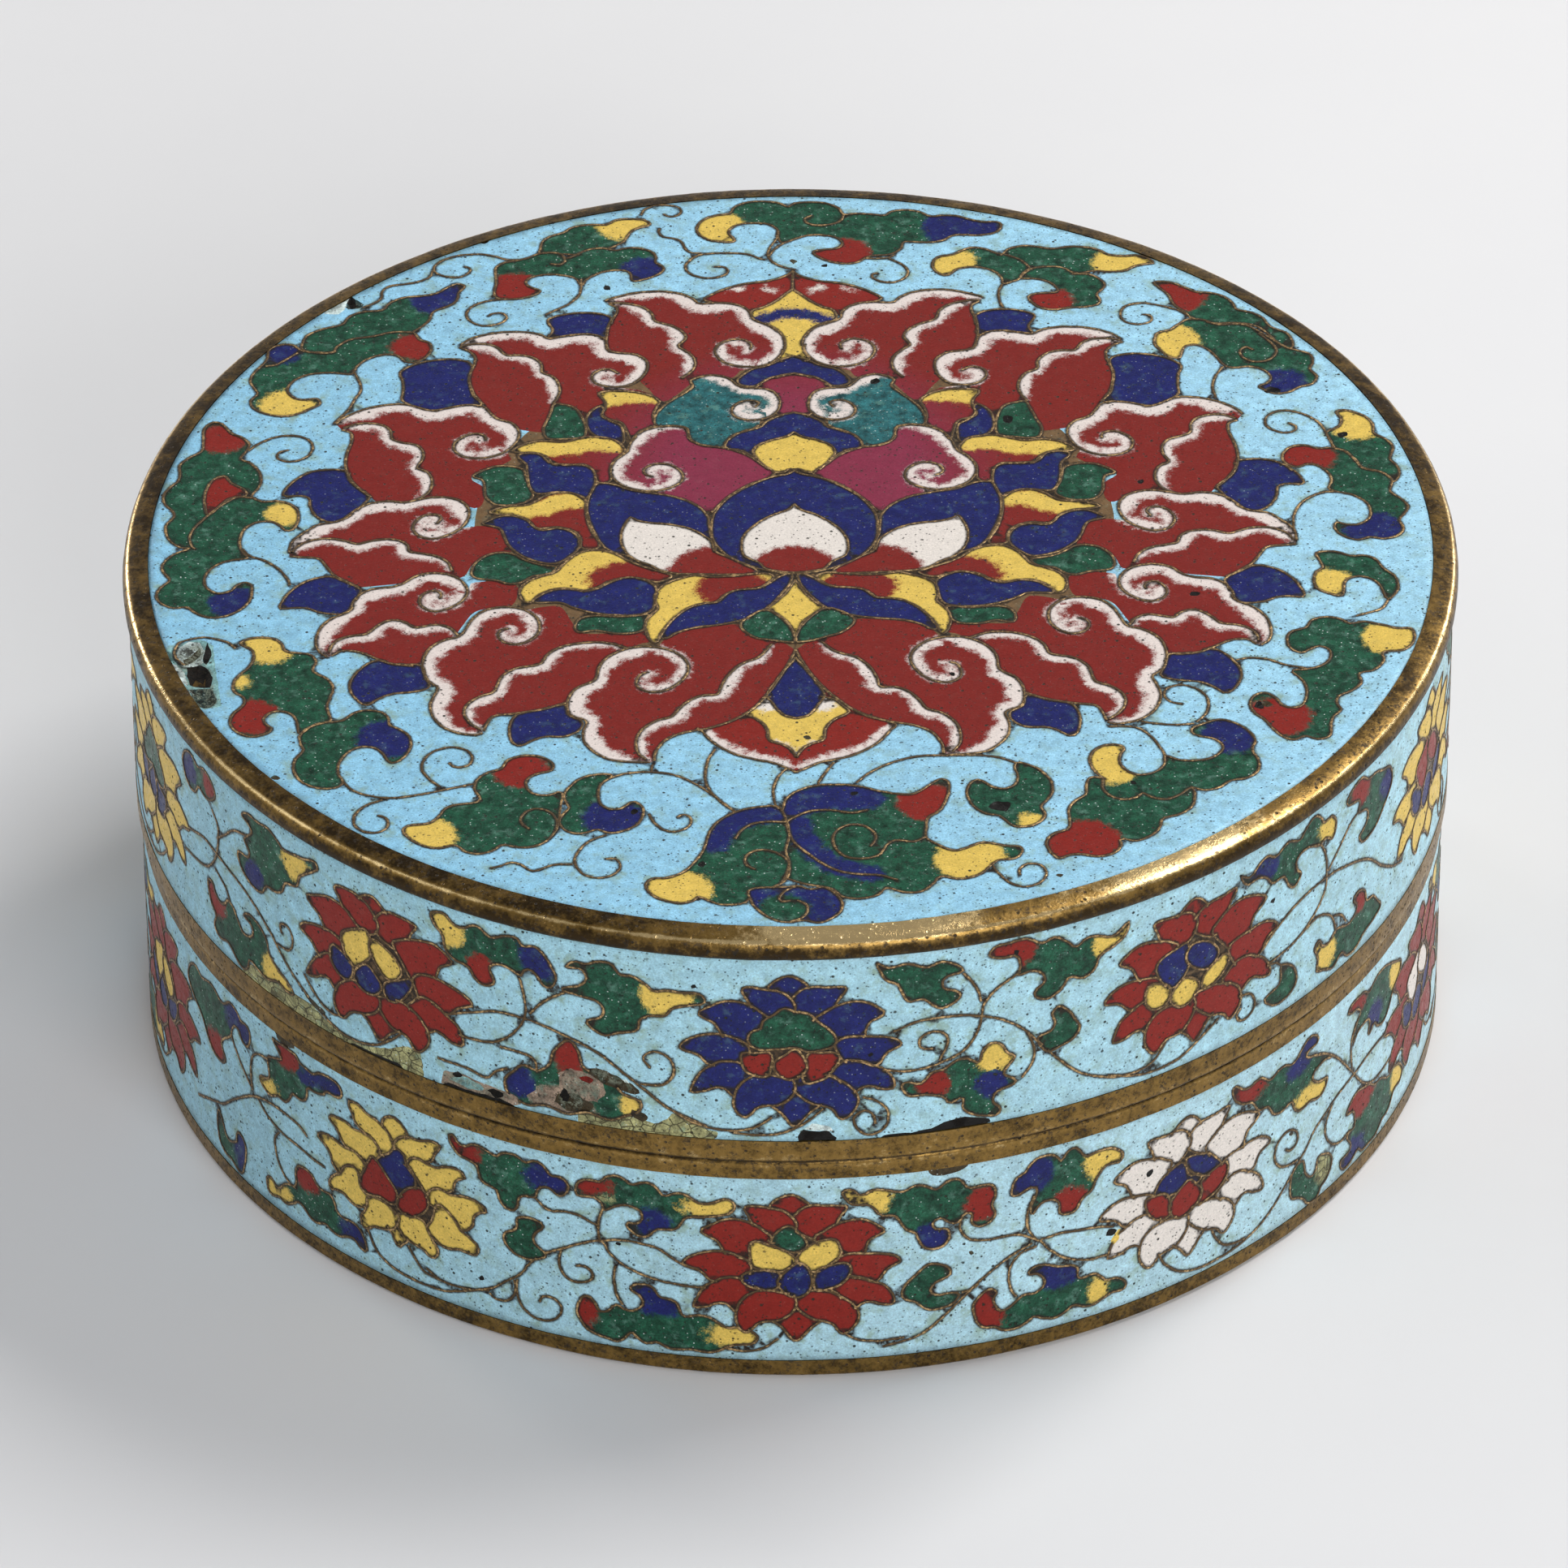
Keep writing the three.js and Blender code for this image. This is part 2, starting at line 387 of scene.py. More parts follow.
def sheet(name, panel, domain, runs, ground, depth, place, material, weld):
    """An enamelled face, cut and coloured from its drawing, with an edge that runs down into the metal.

    With `weld` the drawing's two ends meet round the back, and get no such edge."""
    v, f, owner = cut(panel, domain)
    base, tint, soft, bare = paint(panel, v, f, owner, ground)
    wire = nearest_wire(v, runs)
    down = depth(v)
    used = np.unique(f)
    remap = np.full(len(v), -1)
    remap[used] = np.arange(len(used))
    v, f, wire, down = v[used], remap[f], wire[used], down[used]
    verts = place(v, down)
    faces = f.tolist()
    mesh_verts = verts.tolist()
    # The edge, from the boundary of the coloured face
    pairs = {}
    for a, b in np.vstack([f[:, [0, 1]], f[:, [1, 2]], f[:, [2, 0]]]).tolist():
        if (b, a) in pairs:
            del pairs[(b, a)]
        else:
            pairs[(a, b)] = True
    follow = {a: b for a, b in pairs}
    if weld:
        left, right = domain[:, 0].min() + 1e-3, domain[:, 0].max() - 1e-3
        follow = {a: b for a, b in follow.items()
                  if not (v[a, 0] < left and v[b, 0] < left)
                  and not (v[a, 0] > right and v[b, 0] > right)}
    back = {}
    for a in sorted(set(follow) | set(follow.values())):
        back[a] = len(mesh_verts)
        mesh_verts.append(place(v[a:a + 1], np.array([EDGE_DEPTH]))[0].tolist())
    for a, b in follow.items():
        faces.append([b, a, back[a], back[b]])
    obj = new_object(name, mesh_verts, faces, material)
    mesh = obj.data
    fill = len(mesh.loops) - len(base)
    edge = np.tile(base[:1], (fill, 1))
    add_layer(mesh, "base", "FLOAT_COLOR", "CORNER", np.vstack([base, edge]))
    add_layer(mesh, "tint", "FLOAT_COLOR", "CORNER", np.vstack([tint, edge]))
    add_layer(mesh, "soft", "FLOAT", "CORNER", np.r_[soft, np.full(fill, -FAR)])
    add_layer(mesh, "bare", "FLOAT", "CORNER", np.r_[bare, np.zeros(fill)])
    pad = len(mesh.vertices) - len(wire)
    add_layer(mesh, "wire", "FLOAT", "POINT", np.r_[wire, np.full(pad, WIRE_REACH)])
    add_layer(mesh, "loss", "FLOAT", "POINT", np.r_[down, np.zeros(pad)])
    return obj


def ribbons(name, runs, place, material):
    """Wires: shallow rounded ribbons along each run, a little uneven in width and height."""
    verts, faces, edge, worn = [], [], [], []
    across = np.array([-1.0, -0.62, 0.0, 0.62, 1.0])
    lift = np.array([-0.05, 0.72, 1.0, 0.72, -0.05])
    for k, line in enumerate(runs):
        if len(line) < 2:
            continue
        d = np.gradient(line, axis=0)
        d /= np.maximum(np.linalg.norm(d, axis=1), 1e-9)[:, None]
        side = np.c_[-d[:, 1], d[:, 0]]
        u = 0.5 * WIRE_W * (1 + 0.16 * wobble(line, 0.9, k * 1.7) + 0.10 * wobble(line, 4.0, 3.0))
        h = WIRE_RISE * (0.85 + 0.15 * wobble(line, 0.7, k * 0.9))
        shift = 0.05 * wobble(line, 1.3, 5.0 + k)
        reach = across[None, :, None] * u[:, None, None] + shift[:, None, None]
        rows = line[:, None] + side[:, None] * reach
        rise = lift[None] * h[:, None]
        base = len(verts)
        p = place(rows.reshape(-1, 2), -rise.reshape(-1))
        verts.extend(p.tolist())
        n = len(line)
        for i in range(n - 1):
            for j in range(4):
                a = base + i * 5 + j
                faces.append([a, a + 5, a + 6, a + 1])
        edge.extend(np.tile(np.abs(across), n).tolist())
        worn.extend(np.repeat(0.5 + 0.5 * wobble(line, 2.4, k * 0.37), 5).tolist())
    obj = new_object(name, verts, faces, material)
    add_layer(obj.data, "edge", "FLOAT", "POINT", edge)
    add_layer(obj.data, "worn", "FLOAT", "POINT", worn)


class Nodes:
    """Short hand for building a material's nodes."""

    def __init__(self, name):
        self.mat = bpy.data.materials.new(name)
        self.mat.use_nodes = True
        self.tree = self.mat.node_tree
        self.shader = next(n for n in self.tree.nodes if n.type == "BSDF_PRINCIPLED")

    def node(self, kind, **props):
        n = self.tree.nodes.new(kind)
        for k, v in props.items():
            setattr(n, k, v)
        return n

    def join(self, value, socket):
        if isinstance(value, bpy.types.NodeSocket):
            self.tree.links.new(value, socket)
        elif value is not None:
            socket.default_value = value

    def attribute(self, name, out="Fac"):
        return self.node("ShaderNodeAttribute", attribute_name=name).outputs[out]

    def place(self):
        return self.node("ShaderNodeNewGeometry").outputs["Position"]

    def noise(self, scale, detail=3.0, rough=0.55):
        n = self.node("ShaderNodeTexNoise")
        self.join(self.place(), n.inputs["Vector"])
        n.inputs["Scale"].default_value = scale
        n.inputs["Detail"].default_value = detail
        n.inputs["Roughness"].default_value = rough
        return n.outputs["Fac"]

    def cells(self, scale, edge=False):
        n = self.node("ShaderNodeTexVoronoi", feature="DISTANCE_TO_EDGE" if edge else "F1")
        self.join(self.place(), n.inputs["Vector"])
        n.inputs["Scale"].default_value = scale
        return n.outputs["Distance"]

    def math(self, kind, a, b=None, c=None, clamp=False):
        n = self.node("ShaderNodeMath", operation=kind, use_clamp=clamp)
        for value, socket in zip((a, b, c), n.inputs):
            self.join(value, socket)
        return n.outputs[0]

    def times(self, a, b):
        return self.math("MULTIPLY", a, b)

    def ramp(self, value, low, high, out_low=0.0, out_high=1.0):
        n = self.node("ShaderNodeMapRange", interpolation_type="SMOOTHSTEP")
        self.join(value, n.inputs["Value"])
        ends = {"From Min": low, "From Max": high, "To Min": out_low, "To Max": out_high}
        for key, x in ends.items():
            self.join(x, n.inputs[key])
        return n.outputs["Result"]

    def mix(self, share, a, b, blend="MIX"):
        n = self.node("ShaderNodeMix", data_type="RGBA", blend_type=blend)
        self.join(share, n.inputs[0])
        self.join(a, n.inputs[6])
        self.join(b, n.inputs[7])
        return n.outputs[2]

    def blend(self, share, a, b):
        n = self.node("ShaderNodeMix", data_type="FLOAT")
        self.join(share, n.inputs[0])
        self.join(a, n.inputs[2])
        self.join(b, n.inputs[3])
        return n.outputs[0]

    def bump(self, height, distance, strength=1.0, after=None):
        n = self.node("ShaderNodeBump")
        n.inputs["Strength"].default_value = strength
        n.inputs["Distance"].default_value = distance
        self.join(height, n.inputs["Height"])
        if after is not None:
            self.join(after, n.inputs["Normal"])
        return n.outputs["Normal"]

    def finish(self, **inputs):
        for key, value in inputs.items():
            self.join(value, self.shader.inputs[key.replace("_", " ")])
        return self.mat


def rgba(c):
    """A linear colour as a colour socket takes it."""
    return (float(c[0]), float(c[1]), float(c[2]), 1.0)


def enamel_material(name, plain=None):
    """Opaque enamel: colours that bleed into each other, fine grain, pale flecks, pits and stains.

    `plain` is one colour for a face without a drawing."""
    m = Nodes(name)
    if plain is None:
        base, tint = m.attribute("base", "Color"), m.attribute("tint", "Color")
        base_fleck, tint_fleck = m.attribute("base", "Alpha"), m.attribute("tint", "Alpha")
        ragged = m.math("MULTIPLY_ADD", m.noise(1300.0, 4.0, 0.7), 1.9, -0.95)
        fine = m.math("MULTIPLY_ADD", m.noise(6500.0, 2.0, 0.6), 0.8, -0.40)
        deep = m.math("ADD", m.attribute("soft"), m.math("ADD", ragged, fine))
        share = m.ramp(deep, -0.34, 0.44)
        colour = m.mix(share, base, tint)
        marked = m.blend(share, base_fleck, tint_fleck)
        fleck = m.math("MINIMUM", marked, 0.85)
        wire, bare, loss = m.attribute("wire"), m.attribute("bare"), m.attribute("loss")
    else:
        colour, marked, fleck, wire, bare, loss = rgba(plain), 0.2, 0.2, 1.2, 1.0, 0.0
    # Mottling, stronger in the blue and green glass, then fine grain
    cloud = m.math("SUBTRACT", m.noise(900.0, 4.0, 0.62), 0.5)
    cloud = m.math("MULTIPLY_ADD", cloud, m.math("MULTIPLY_ADD", fleck, 3.6, 0.2), 1.0)
    colour = m.mix(1.0, colour, m.math("MAXIMUM", cloud, 0.3), "MULTIPLY")
    grain = m.math("SUBTRACT", m.noise(5000.0, 2.0, 0.7), 0.5)
    grain = m.math("MULTIPLY_ADD", grain, m.math("MULTIPLY_ADD", fleck, 1.6, 0.7), 1.0)
    colour = m.mix(1.0, colour, grain, "MULTIPLY")
    # Pale haze and crisp white flecks in the blue and green glass
    haze = m.ramp(m.noise(760.0, 5.0, 0.7), 0.52, 0.72)
    haze = m.times(haze, m.times(fleck, 0.45))
    colour = m.mix(haze, colour, rgba(srgb(122, 170, 152)))
    dots = m.ramp(m.cells(2000.0), 0.10, 0.18, 1.0, 0.0)
    dots = m.times(dots, m.ramp(m.noise(900.0), 0.45, 0.55))
    colour = m.mix(m.times(dots, fleck), colour, rgba(srgb(196, 208, 204)))
    # Green stains beside the wires, pits in all the glass
    near = m.ramp(wire, 0.15, 1.5, 1.0, 0.0)
    stain = m.ramp(m.noise(620.0, 5.0, 0.7), 0.46, 0.68)
    stain = m.times(m.times(stain, m.blend(near, 0.25, 0.75)), bare)
    colour = m.mix(stain, colour, rgba(srgb(136, 158, 126)))
    pit = m.ramp(m.cells(1050.0), 0.10, 0.19, 1.0, 0.0)
    some = m.ramp(m.noise(480.0, 2.0, 0.5), 0.43, 0.58)
    holes = m.times(pit, some)
    small = m.ramp(m.cells(2400.0), 0.14, 0.26, 1.0, 0.0)
    small = m.times(small, m.ramp(m.noise(1300.0), 0.45, 0.56))
    holes = m.math("MAXIMUM", m.times(holes, 0.95), m.times(small, 0.70))
    colour = m.mix(holes, colour, rgba(srgb(48, 50, 42)))
    # Cracks in the old fills
    crack = m.ramp(m.cells(900.0, edge=True), 0.02, 0.07, 1.0, 0.0)
    crack = m.times(crack, m.ramp(marked, 1.2, 1.8))
    colour = m.mix(m.times(crack, 0.85), colour, rgba(srgb(58, 52, 34)))
    # Broken glass, then black dirt along the wires and in the broken places
    chips = m.ramp(m.noise(1300.0, 6.0, 0.9), 0.47, 0.53)
    chips = m.times(chips, m.ramp(fleck, 0.05, 0.5))
    chips = m.times(chips, m.ramp(loss, 0.1, 0.3, 0.0, 0.6))
    colour = m.mix(chips, colour, rgba(srgb(156, 166, 146)))
    grime = m.ramp(wire, 0.12, 0.36, 1.0, 0.0)
    grime = m.times(grime, m.ramp(m.noise(2300.0), 0.28, 0.62, 0.50, 1.0))
    broken = m.ramp(m.noise(1100.0, 6.0, 0.85), 0.46, 0.56, 0.0, 0.9)
    broken = m.times(m.ramp(loss, 0.12, 0.45), broken)
    colour = m.mix(m.math("MAXIMUM", grime, broken), colour, rgba(srgb(38, 31, 24)))
    in_loss = m.ramp(loss, 0.1, 0.3)
    rough = m.ramp(m.noise(1400.0, 3.0, 0.6), 0.3, 0.7, 0.30, 0.46)
    rough = m.blend(m.math("MAXIMUM", holes, in_loss), rough, 0.8)
    normal = m.bump(m.noise(200.0, 2.0, 0.5), 0.00005)
    normal = m.bump(holes, -0.00010, 1.0, normal)
    normal = m.bump(m.noise(4000.0, 2.0, 0.6), 0.000022, 1.0, normal)
    normal = m.bump(m.times(m.noise(1800.0, 5.0, 0.75), in_loss), 0.0004, 1.0, normal)
    return m.finish(Base_Color=colour, Roughness=rough, Normal=normal, Specular_IOR_Level=0.20)


def wire_material():
    """Wires: worn gold on the ridge, brown on the flanks, black dirt along both edges."""
    m = Nodes("cloison_wire")
    edge = m.attribute("edge")
    worn = m.attribute("worn")
    blotch = m.noise(2600.0, 4.0, 0.65)
    gold = m.mix(m.ramp(m.math("ADD", blotch, m.times(worn, 0.26)), 0.56, 0.90),
                 rgba(srgb(96, 76, 50)), rgba(srgb(222, 184, 128)))
    dirt = m.ramp(m.noise(3000.0), 0.40, 0.70, -0.2, 0.4)
    dark = m.math("ADD", m.ramp(edge, 0.45, 0.95), dirt, clamp=True)
    colour = m.mix(dark, gold, rgba(srgb(42, 34, 28)))
    metal = m.blend(dark, 0.72, 0.1)
    rough = m.blend(dark, 0.42, 0.72)
    normal = m.bump(m.noise(4200.0, 2.0, 0.6), 0.00004)
    return m.finish(Base_Color=colour, Metallic=metal, Roughness=rough, Normal=normal)


def bronze_material(name):
    """Worn gilding over bronze: dark in the hollows, brown on the flats, pale gold where it is worn bright
    and where highlights are painted, darker where shade is painted.
    """
    m = Nodes(name)
    polish_and_highlight = m.attribute("polish_and_highlight")
    fine = m.noise(2400.0, 4.0, 0.7)
    worn_by = m.math("MULTIPLY_ADD", m.noise(520.0, 5.0, 0.65), 1.0, m.times(fine, 0.8))
    # The brightness attribute carries painted highlights, which raise this level, and painted shade where
    # cover and box meet, which lowers it.
    level = m.math("ADD", m.math("MULTIPLY_ADD", worn_by, 0.80, -0.68), polish_and_highlight)
    colour = m.mix(m.ramp(level, 0.0, 0.42), rgba(srgb(56, 42, 20)), rgba(srgb(142, 112, 58)))
    colour = m.mix(m.ramp(level, 0.40, 0.80), colour, rgba(srgb(234, 204, 146)))
    pit = m.ramp(m.cells(1250.0), 0.12, 0.22, 1.0, 0.0)
    pits = m.times(pit, m.ramp(m.noise(900.0), 0.36, 0.52, 0.05, 1.0))
    pits = m.times(pits, m.ramp(polish_and_highlight, 0.4, 0.9, 1.0, 0.25))
    dirt = m.ramp(m.noise(1500.0, 4.0, 0.8), 0.54, 0.62)
    dark = m.math("MAXIMUM", pits, m.times(dirt, m.ramp(polish_and_highlight, 0.2, 0.8, 0.8, 0.1)))
    colour = m.mix(m.times(dark, 0.85), colour, rgba(srgb(30, 22, 13)))
    rough = m.blend(polish_and_highlight, 0.40, 0.16)
    rough = m.blend(dark, rough, 0.75)
    metal = m.blend(dark, 0.85, 0.25)
    normal = m.bump(pits, -0.00010)
    normal = m.bump(fine, 0.00004, 1.0, normal)
    normal = m.bump(m.noise(230.0, 2.0, 0.5), 0.00012, 1.0, normal)
    return m.finish(Base_Color=colour, Metallic=metal, Roughness=rough, Normal=normal)


LONG_RUN = 15             # a profile's straight run from here on needs fewer points


def refine(profile, step):
    """The same closed outline with extra points, about `step` apart, and wider on the long plain runs."""
    out = []
    for a, b in zip(profile, profile[1:] + profile[:1]):
        a, b = np.array(a, float), np.array(b, float)
        length = np.linalg.norm(b - a)
        k = max(1, math.ceil(length / (step if length < LONG_RUN else 8 * step)))
        out.extend(a + (b - a) * j / k for j in range(k))
    return np.array(out)


def lathe(name, profile, replaces, material, polish_and_highlight):
    """Turns a closed (r, z) outline round the axis, and wears it in a little here and there."""
    line = refine(profile, BODY_STEP)
    n = len(line)
    turn = np.linspace(0, 2 * math.pi, SIDES, endpoint=False)
    along = np.roll(line, -1, axis=0) - np.roll(line, 1, axis=0)
    along /= np.maximum(np.linalg.norm(along, axis=1), 1e-9)[:, None]
    normal = np.c_[along[:, 1], -along[:, 0]]
    r = np.repeat(line[None, :, 0], SIDES, 0)
    z = np.repeat(line[None, :, 1], SIDES, 0)
    wear = worn(np.repeat(turn[:, None], n, 1), r, z)
    r = r - wear * normal[None, :, 0]
    z = z - wear * normal[None, :, 1]
    verts, index = [], np.zeros((SIDES, n), int)
    axis = {}
    for i in range(SIDES):
        for j in range(n):
            if line[j, 0] < 1e-6:
                if j not in axis:
                    axis[j] = len(verts)
                    verts.append((0.0, 0.0, line[j, 1]))
                index[i, j] = axis[j]
            else:
                index[i, j] = len(verts)
                verts.append((r[i, j] * math.sin(turn[i]), -r[i, j] * math.cos(turn[i]), z[i, j]))
    faces = []
    for i in range(SIDES):
        next_i = (i + 1) % SIDES
        for j in range(n):
            next_j = (j + 1) % n
            quad = [index[i, j], index[next_i, j], index[next_i, next_j], index[i, next_j]]
            quad = [int(x) for k, x in enumerate(quad) if x != quad[k - 1]]
            if len(set(quad)) >= 3:
                faces.append(quad)
    verts = np.array(verts) * MM
    obj = new_object(name, verts, faces, material)
    x, y, z = (verts / MM).T
    # Worn brightness with painted highlights and shade, from the profile's function.
    shine = np.clip(polish_and_highlight(np.arctan2(x, -y), np.hypot(x, y), z), 0, 1)
    add_layer(obj.data, "polish_and_highlight", "FLOAT", "POINT", shine)
    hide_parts(replaces)
    obj.data.set_sharp_from_angle(angle=math.radians(38))




# The drawings. An entry is "@kind colour points", then parts after ";": "t" a round patch of colour
# (x,y,radius), "s" a stroke of colour (half width, then points) and "w" a wire of its own.
# "side" is drawn on both sides of the lotus, "half" is one half of a shape on its middle line,
# "one" stands where it is. A "petal" has four lines: its curled edge, its other edge, the back that
# later petals hide, and the edge of the dark lobe behind it. A "scroll" has two, its curled edge and
# the rest of its outline. Their number is the point of the curled edge where its hook ends.
LOTUS_BACK = """
@side b 18,39 19.2,39.7 21,39.9 22.6,39.5 23.6,38.8 23.4,37.9 23,37 23.2,36.1 23.4,35.6 21,36 18.2,35.5
 17.9,37.5
@side b 30.6,31 31.8,31.9 33.8,32 36,31.3 37.4,30 37.1,28.5 37,26.5 37,25 35.5,23.7 33.8,23 31,23.5
 29.8,23.9 30.6,26 30.9,28.5
@side b 42.1,13.7 44.2,14 46,13.5 47.5,12 48.3,10.4 48.2,9.7 46.8,9.8 45.9,9.4 45.7,7.8 45,6.2 43.6,5.3
 42,6.3 40.6,8.3 40.2,9.5 41.4,11 42.1,12.5
@side b 43.3,-3.6 45.2,-4.2 46.6,-5.6 47.4,-7.3 47.7,-8.8 46.5,-8.7 45.2,-8.8 44,-9.5 42.3,-9.8 41.2,-9.2
 40.6,-7 40.4,-5.8 41.8,-4.6
@side b 34.8,-18 36.5,-17.8 38.8,-17.1 40.3,-18.3 41.3,-20.3 41.3,-22 40.6,-23.6 39.8,-24.2 38.9,-23.3
 37.5,-22.4 35.5,-22.1 34,-21.4 34.4,-19.8
@side b 21.6,-24.3 23.5,-25.1 25.6,-25.7 26.3,-27.2 26.4,-29 26,-30.5 25.3,-30.8 24.4,-30 23.2,-29.4
 21.5,-29.4 20.2,-28.4 20,-27 21.2,-26
@half r 0.4,46.8 1.3,45.8 3,45 5,44.6 7,43.7 8.5,42.5 9,41.8 8,41.2 5,39 0.4,39
 ; s w 0.4 2,43.3 3.2,44 ; s w 0.3 5.2,43.9 6.6,43.3 ; w 0.4,46.5 0.4,43.6
@half y 0.4,43.6 1,42.9 2,41.6 3.2,40.5 4.3,39.9 4.6,38.3 3.5,37.8 2,36.4 1.5,34 1.5,32.5 2,31.2 0.4,31.2
 ; s b 0.9 -3.2,38 0.4,39.5 4,38.1
@half b 0.4,32 1.5,31.4 3,30.3 4.3,29.8 5.4,28.6 5.8,27.7 5.4,27 4.4,26.8 3.6,27 2.6,28 1.2,28.7 0.4,28.8
@half m 0.4,29 1.5,28.7 3,27.9 4,26 2,22 0.4,21.5
"""

PETALS = """
@petal 8 5,33.2 4.9,34 5.6,34.8 6.6,34.9 7.8,34.2 8.2,32.8 7.5,31.2 6,30.3 4.2,30.2 2.6,31 1.5,32.8
 1.4,35 2.4,36.8 4,37.8 4.9,38.5 5.2,39.8 6.3,40.9 8,41.3 10,41.2 10.6,42 12,43 14,43.4 16,43.2 18,42.4
 18.7,41.9 ; 18.3,41.3 17.6,40.6 17.6,39.5 18,38 18.1,36 17.9,34 17.5,33 ; 16,31 15,29 13.5,26.5 12,24.3
 9.5,28 8.5,28.8 6.5,28.3 5.8,29.5 ; 18.3,41.5 17,41.4 15.5,40.8 14.5,39.8 14.2,38.6 13.8,38 12.5,37.4
 11.3,36.2 11,35 11.6,33.9 11,33.2 10,31.8 9.8,30.5 10.1,29.3 10.8,28.3
@petal 5 16.4,29.3 17.3,30 18.3,29.7 18.8,28.8 18.4,27.6 17,26.9 15.4,27.1 14.4,28.2 13.9,29.8 14.1,31.4
 15.2,32.5 16.8,32.8 17.8,33.4 18,34.8 18.9,35.9 20.5,36.2 22.3,35.8 23.3,35.5 24.2,36.3 26.2,36.8
 28.5,36.6 30.5,35.8 31.8,34.6 ; 31.9,34.1 30.9,33.4 30.3,32.4 30.4,31 30.9,29 30.8,27 30.5,25.3
 29.6,23.8 ; 28,20 24,19 22,20 20,18 16,20 14,22 13,25 14.4,26.4 ; 31.8,34.3 30.5,34.7 29,34.6 28,33.9
 27.3,32.7 26,32.7 24.6,32.2 23.7,30.9 23.7,29.6 22.6,28.9 22,27.7 21.8,26.2 22.2,24.8 22.6,24
@petal 8 29.5,17.7 29.6,18.5 30.5,18.9 31.6,18.4 32.4,17.3 32.2,15.8 31,14.9 29.2,14.9 27.6,15.8
 26.5,17.5 26.3,19.2 27,20.6 28.3,21.3 29,22.3 29.6,23.5 31,23.9 32.5,23.6 34.2,23.1 35.3,23.6 36.8,24.5
 38.6,24.5 40.5,23.9 42.2,22.7 43,21.6 ; 42.4,20.5 41.6,20 41.6,18.5 42.1,16.5 42.3,14.5 42,12.5 41,10.5
 40,9.2 ; 38,6 33,8 30,7 29.5,10 30.8,11.8 28,13.6 27,14.5 ; 42.3,20.9 41,21.5 39.8,21.5 38.5,20.9
 38,19.8 38,18.7 37.2,18 35.8,17.4 35.2,16.2 35.3,14.8 35.8,13.6 34.9,13 34.4,11.8 34.5,10.2 35.2,9
 36,8.5
@petal 9 33.8,4.6 33.4,5.5 33.9,6.1 35,6 35.8,5 36,3.8 35.3,2.6 34,2.2 32.6,2.8 31.4,4 30.8,5.8 31.1,7.4
 32.2,8.5 34,8.9 35.8,8.5 37,8.2 38.6,8.5 40.2,8.2 41.4,7.3 42.3,6.1 43.2,5.4 44.8,5 46,3.8 47.1,2.3
 47.3,0.4 ; 47.2,-0.2 45.8,-0.4 44.5,-0.6 43.8,-1.8 43,-3.3 41.5,-4.7 40.5,-5.5 ; 37,-5 33,-3.8 31,-4
 30.2,-2 28.6,-0.2 26.7,0 27.5,3.5 28.2,4 29.8,4.2 ; 47,0.5 46.6,1.4 46,2 44.8,2.6 43.3,2.6 42,2.1
 41,1.6 40,2 38.5,2.3 37,1.9 36.3,1 36.2,0.2 35.2,-0.1 33.6,-0.6 32.5,-1.6 32,-3
@petal 9 33,-7.3 32.9,-6.6 33.5,-6.1 34.3,-6.4 34.9,-7.4 34.7,-8.6 33.6,-9.4 32.3,-9 31,-7.8 30.5,-6.3
 30.9,-4.8 32,-3.7 33.8,-3.3 35.4,-3.8 36.4,-4.9 37.6,-5.5 39,-5.7 40.2,-6.4 41,-7.8 41.2,-9 42,-9.8
 43,-10.5 44,-12 44.4,-14 44.2,-15.6 43.4,-16.6 ; 43,-16.4 42,-15.6 40.5,-15.8 39,-16.8 37.5,-17.7
 35.5,-18 ; 33,-17 31,-12 29.5,-9.2 26.5,-8.5 25.8,-6 26.2,-5 28,-4.5 30.2,-4.8 ; 43.2,-15.8 43,-14.8
 42.3,-13.8 41,-13.2 39.8,-13 39,-12 38,-11 37,-10.8 36,-11.3 35.4,-12 34.4,-11.8 33.2,-11.5 32,-12
 31.3,-13.2
@petal 8 26.6,-12 27.3,-12.2 27.6,-13.2 27,-14.2 25.8,-14.5 24.5,-13.6 23.9,-12.2 24,-10.5 25.2,-9
 27,-8.6 28.8,-9.1 30,-10.6 30.6,-12.2 31.2,-13.4 32.5,-13.9 33.9,-15.2 34.6,-17.2 34.5,-19.2 34,-20.6
 33.2,-21.4 33.5,-22.6 33.9,-24.2 33.6,-26 32.7,-27.6 31.3,-28.6 29.6,-29 28.9,-28.7 ; 28.8,-28.4
 28.4,-27 27.8,-26 26,-25.7 24,-25.2 22.6,-24.6 21.5,-24 ; 19,-20 16,-15 14.3,-14 14.8,-12.5 20,-12.8
 21,-11 22,-8.5 23.8,-8.6 ; 29,-28.2 30,-27.2 30.6,-25.8 30.4,-24.2 29.2,-22.9 28,-22.3 27.6,-21
 27.2,-19.6 26,-18.4 24.6,-18 23.8,-17.6 23.3,-16.2 22.2,-15 20.5,-14.3 18.5,-14.2 17.2,-14.7 16.5,-15.1
"""

BOTTOM = """
@half r 0.4,-36.3 2.5,-34.8 4,-34.3 6,-33.4 7.8,-31.8 9,-29.8 9.4,-28.7 6,-26.9 2,-22 0.4,-22
 ; s v 0.7 1.2,-35.3 3.2,-34.2 6,-33 7.9,-31.2 9,-29.4
@half y 0.4,-33.9 1,-32.5 2,-31.7 2.9,-31.2 3.1,-29.4 3.9,-28 5.3,-26.9 4.8,-26 3.5,-24.6 0.4,-24
 ; t w 3,-25.5,1.2 ; s v 0.35 0.6,-33.5 1.3,-32.4 2.2,-31.6
@half b 0.4,-18.2 1.6,-20.5 3,-23.9 2.6,-25.3 1.6,-27.2 0.4,-27.8
"""

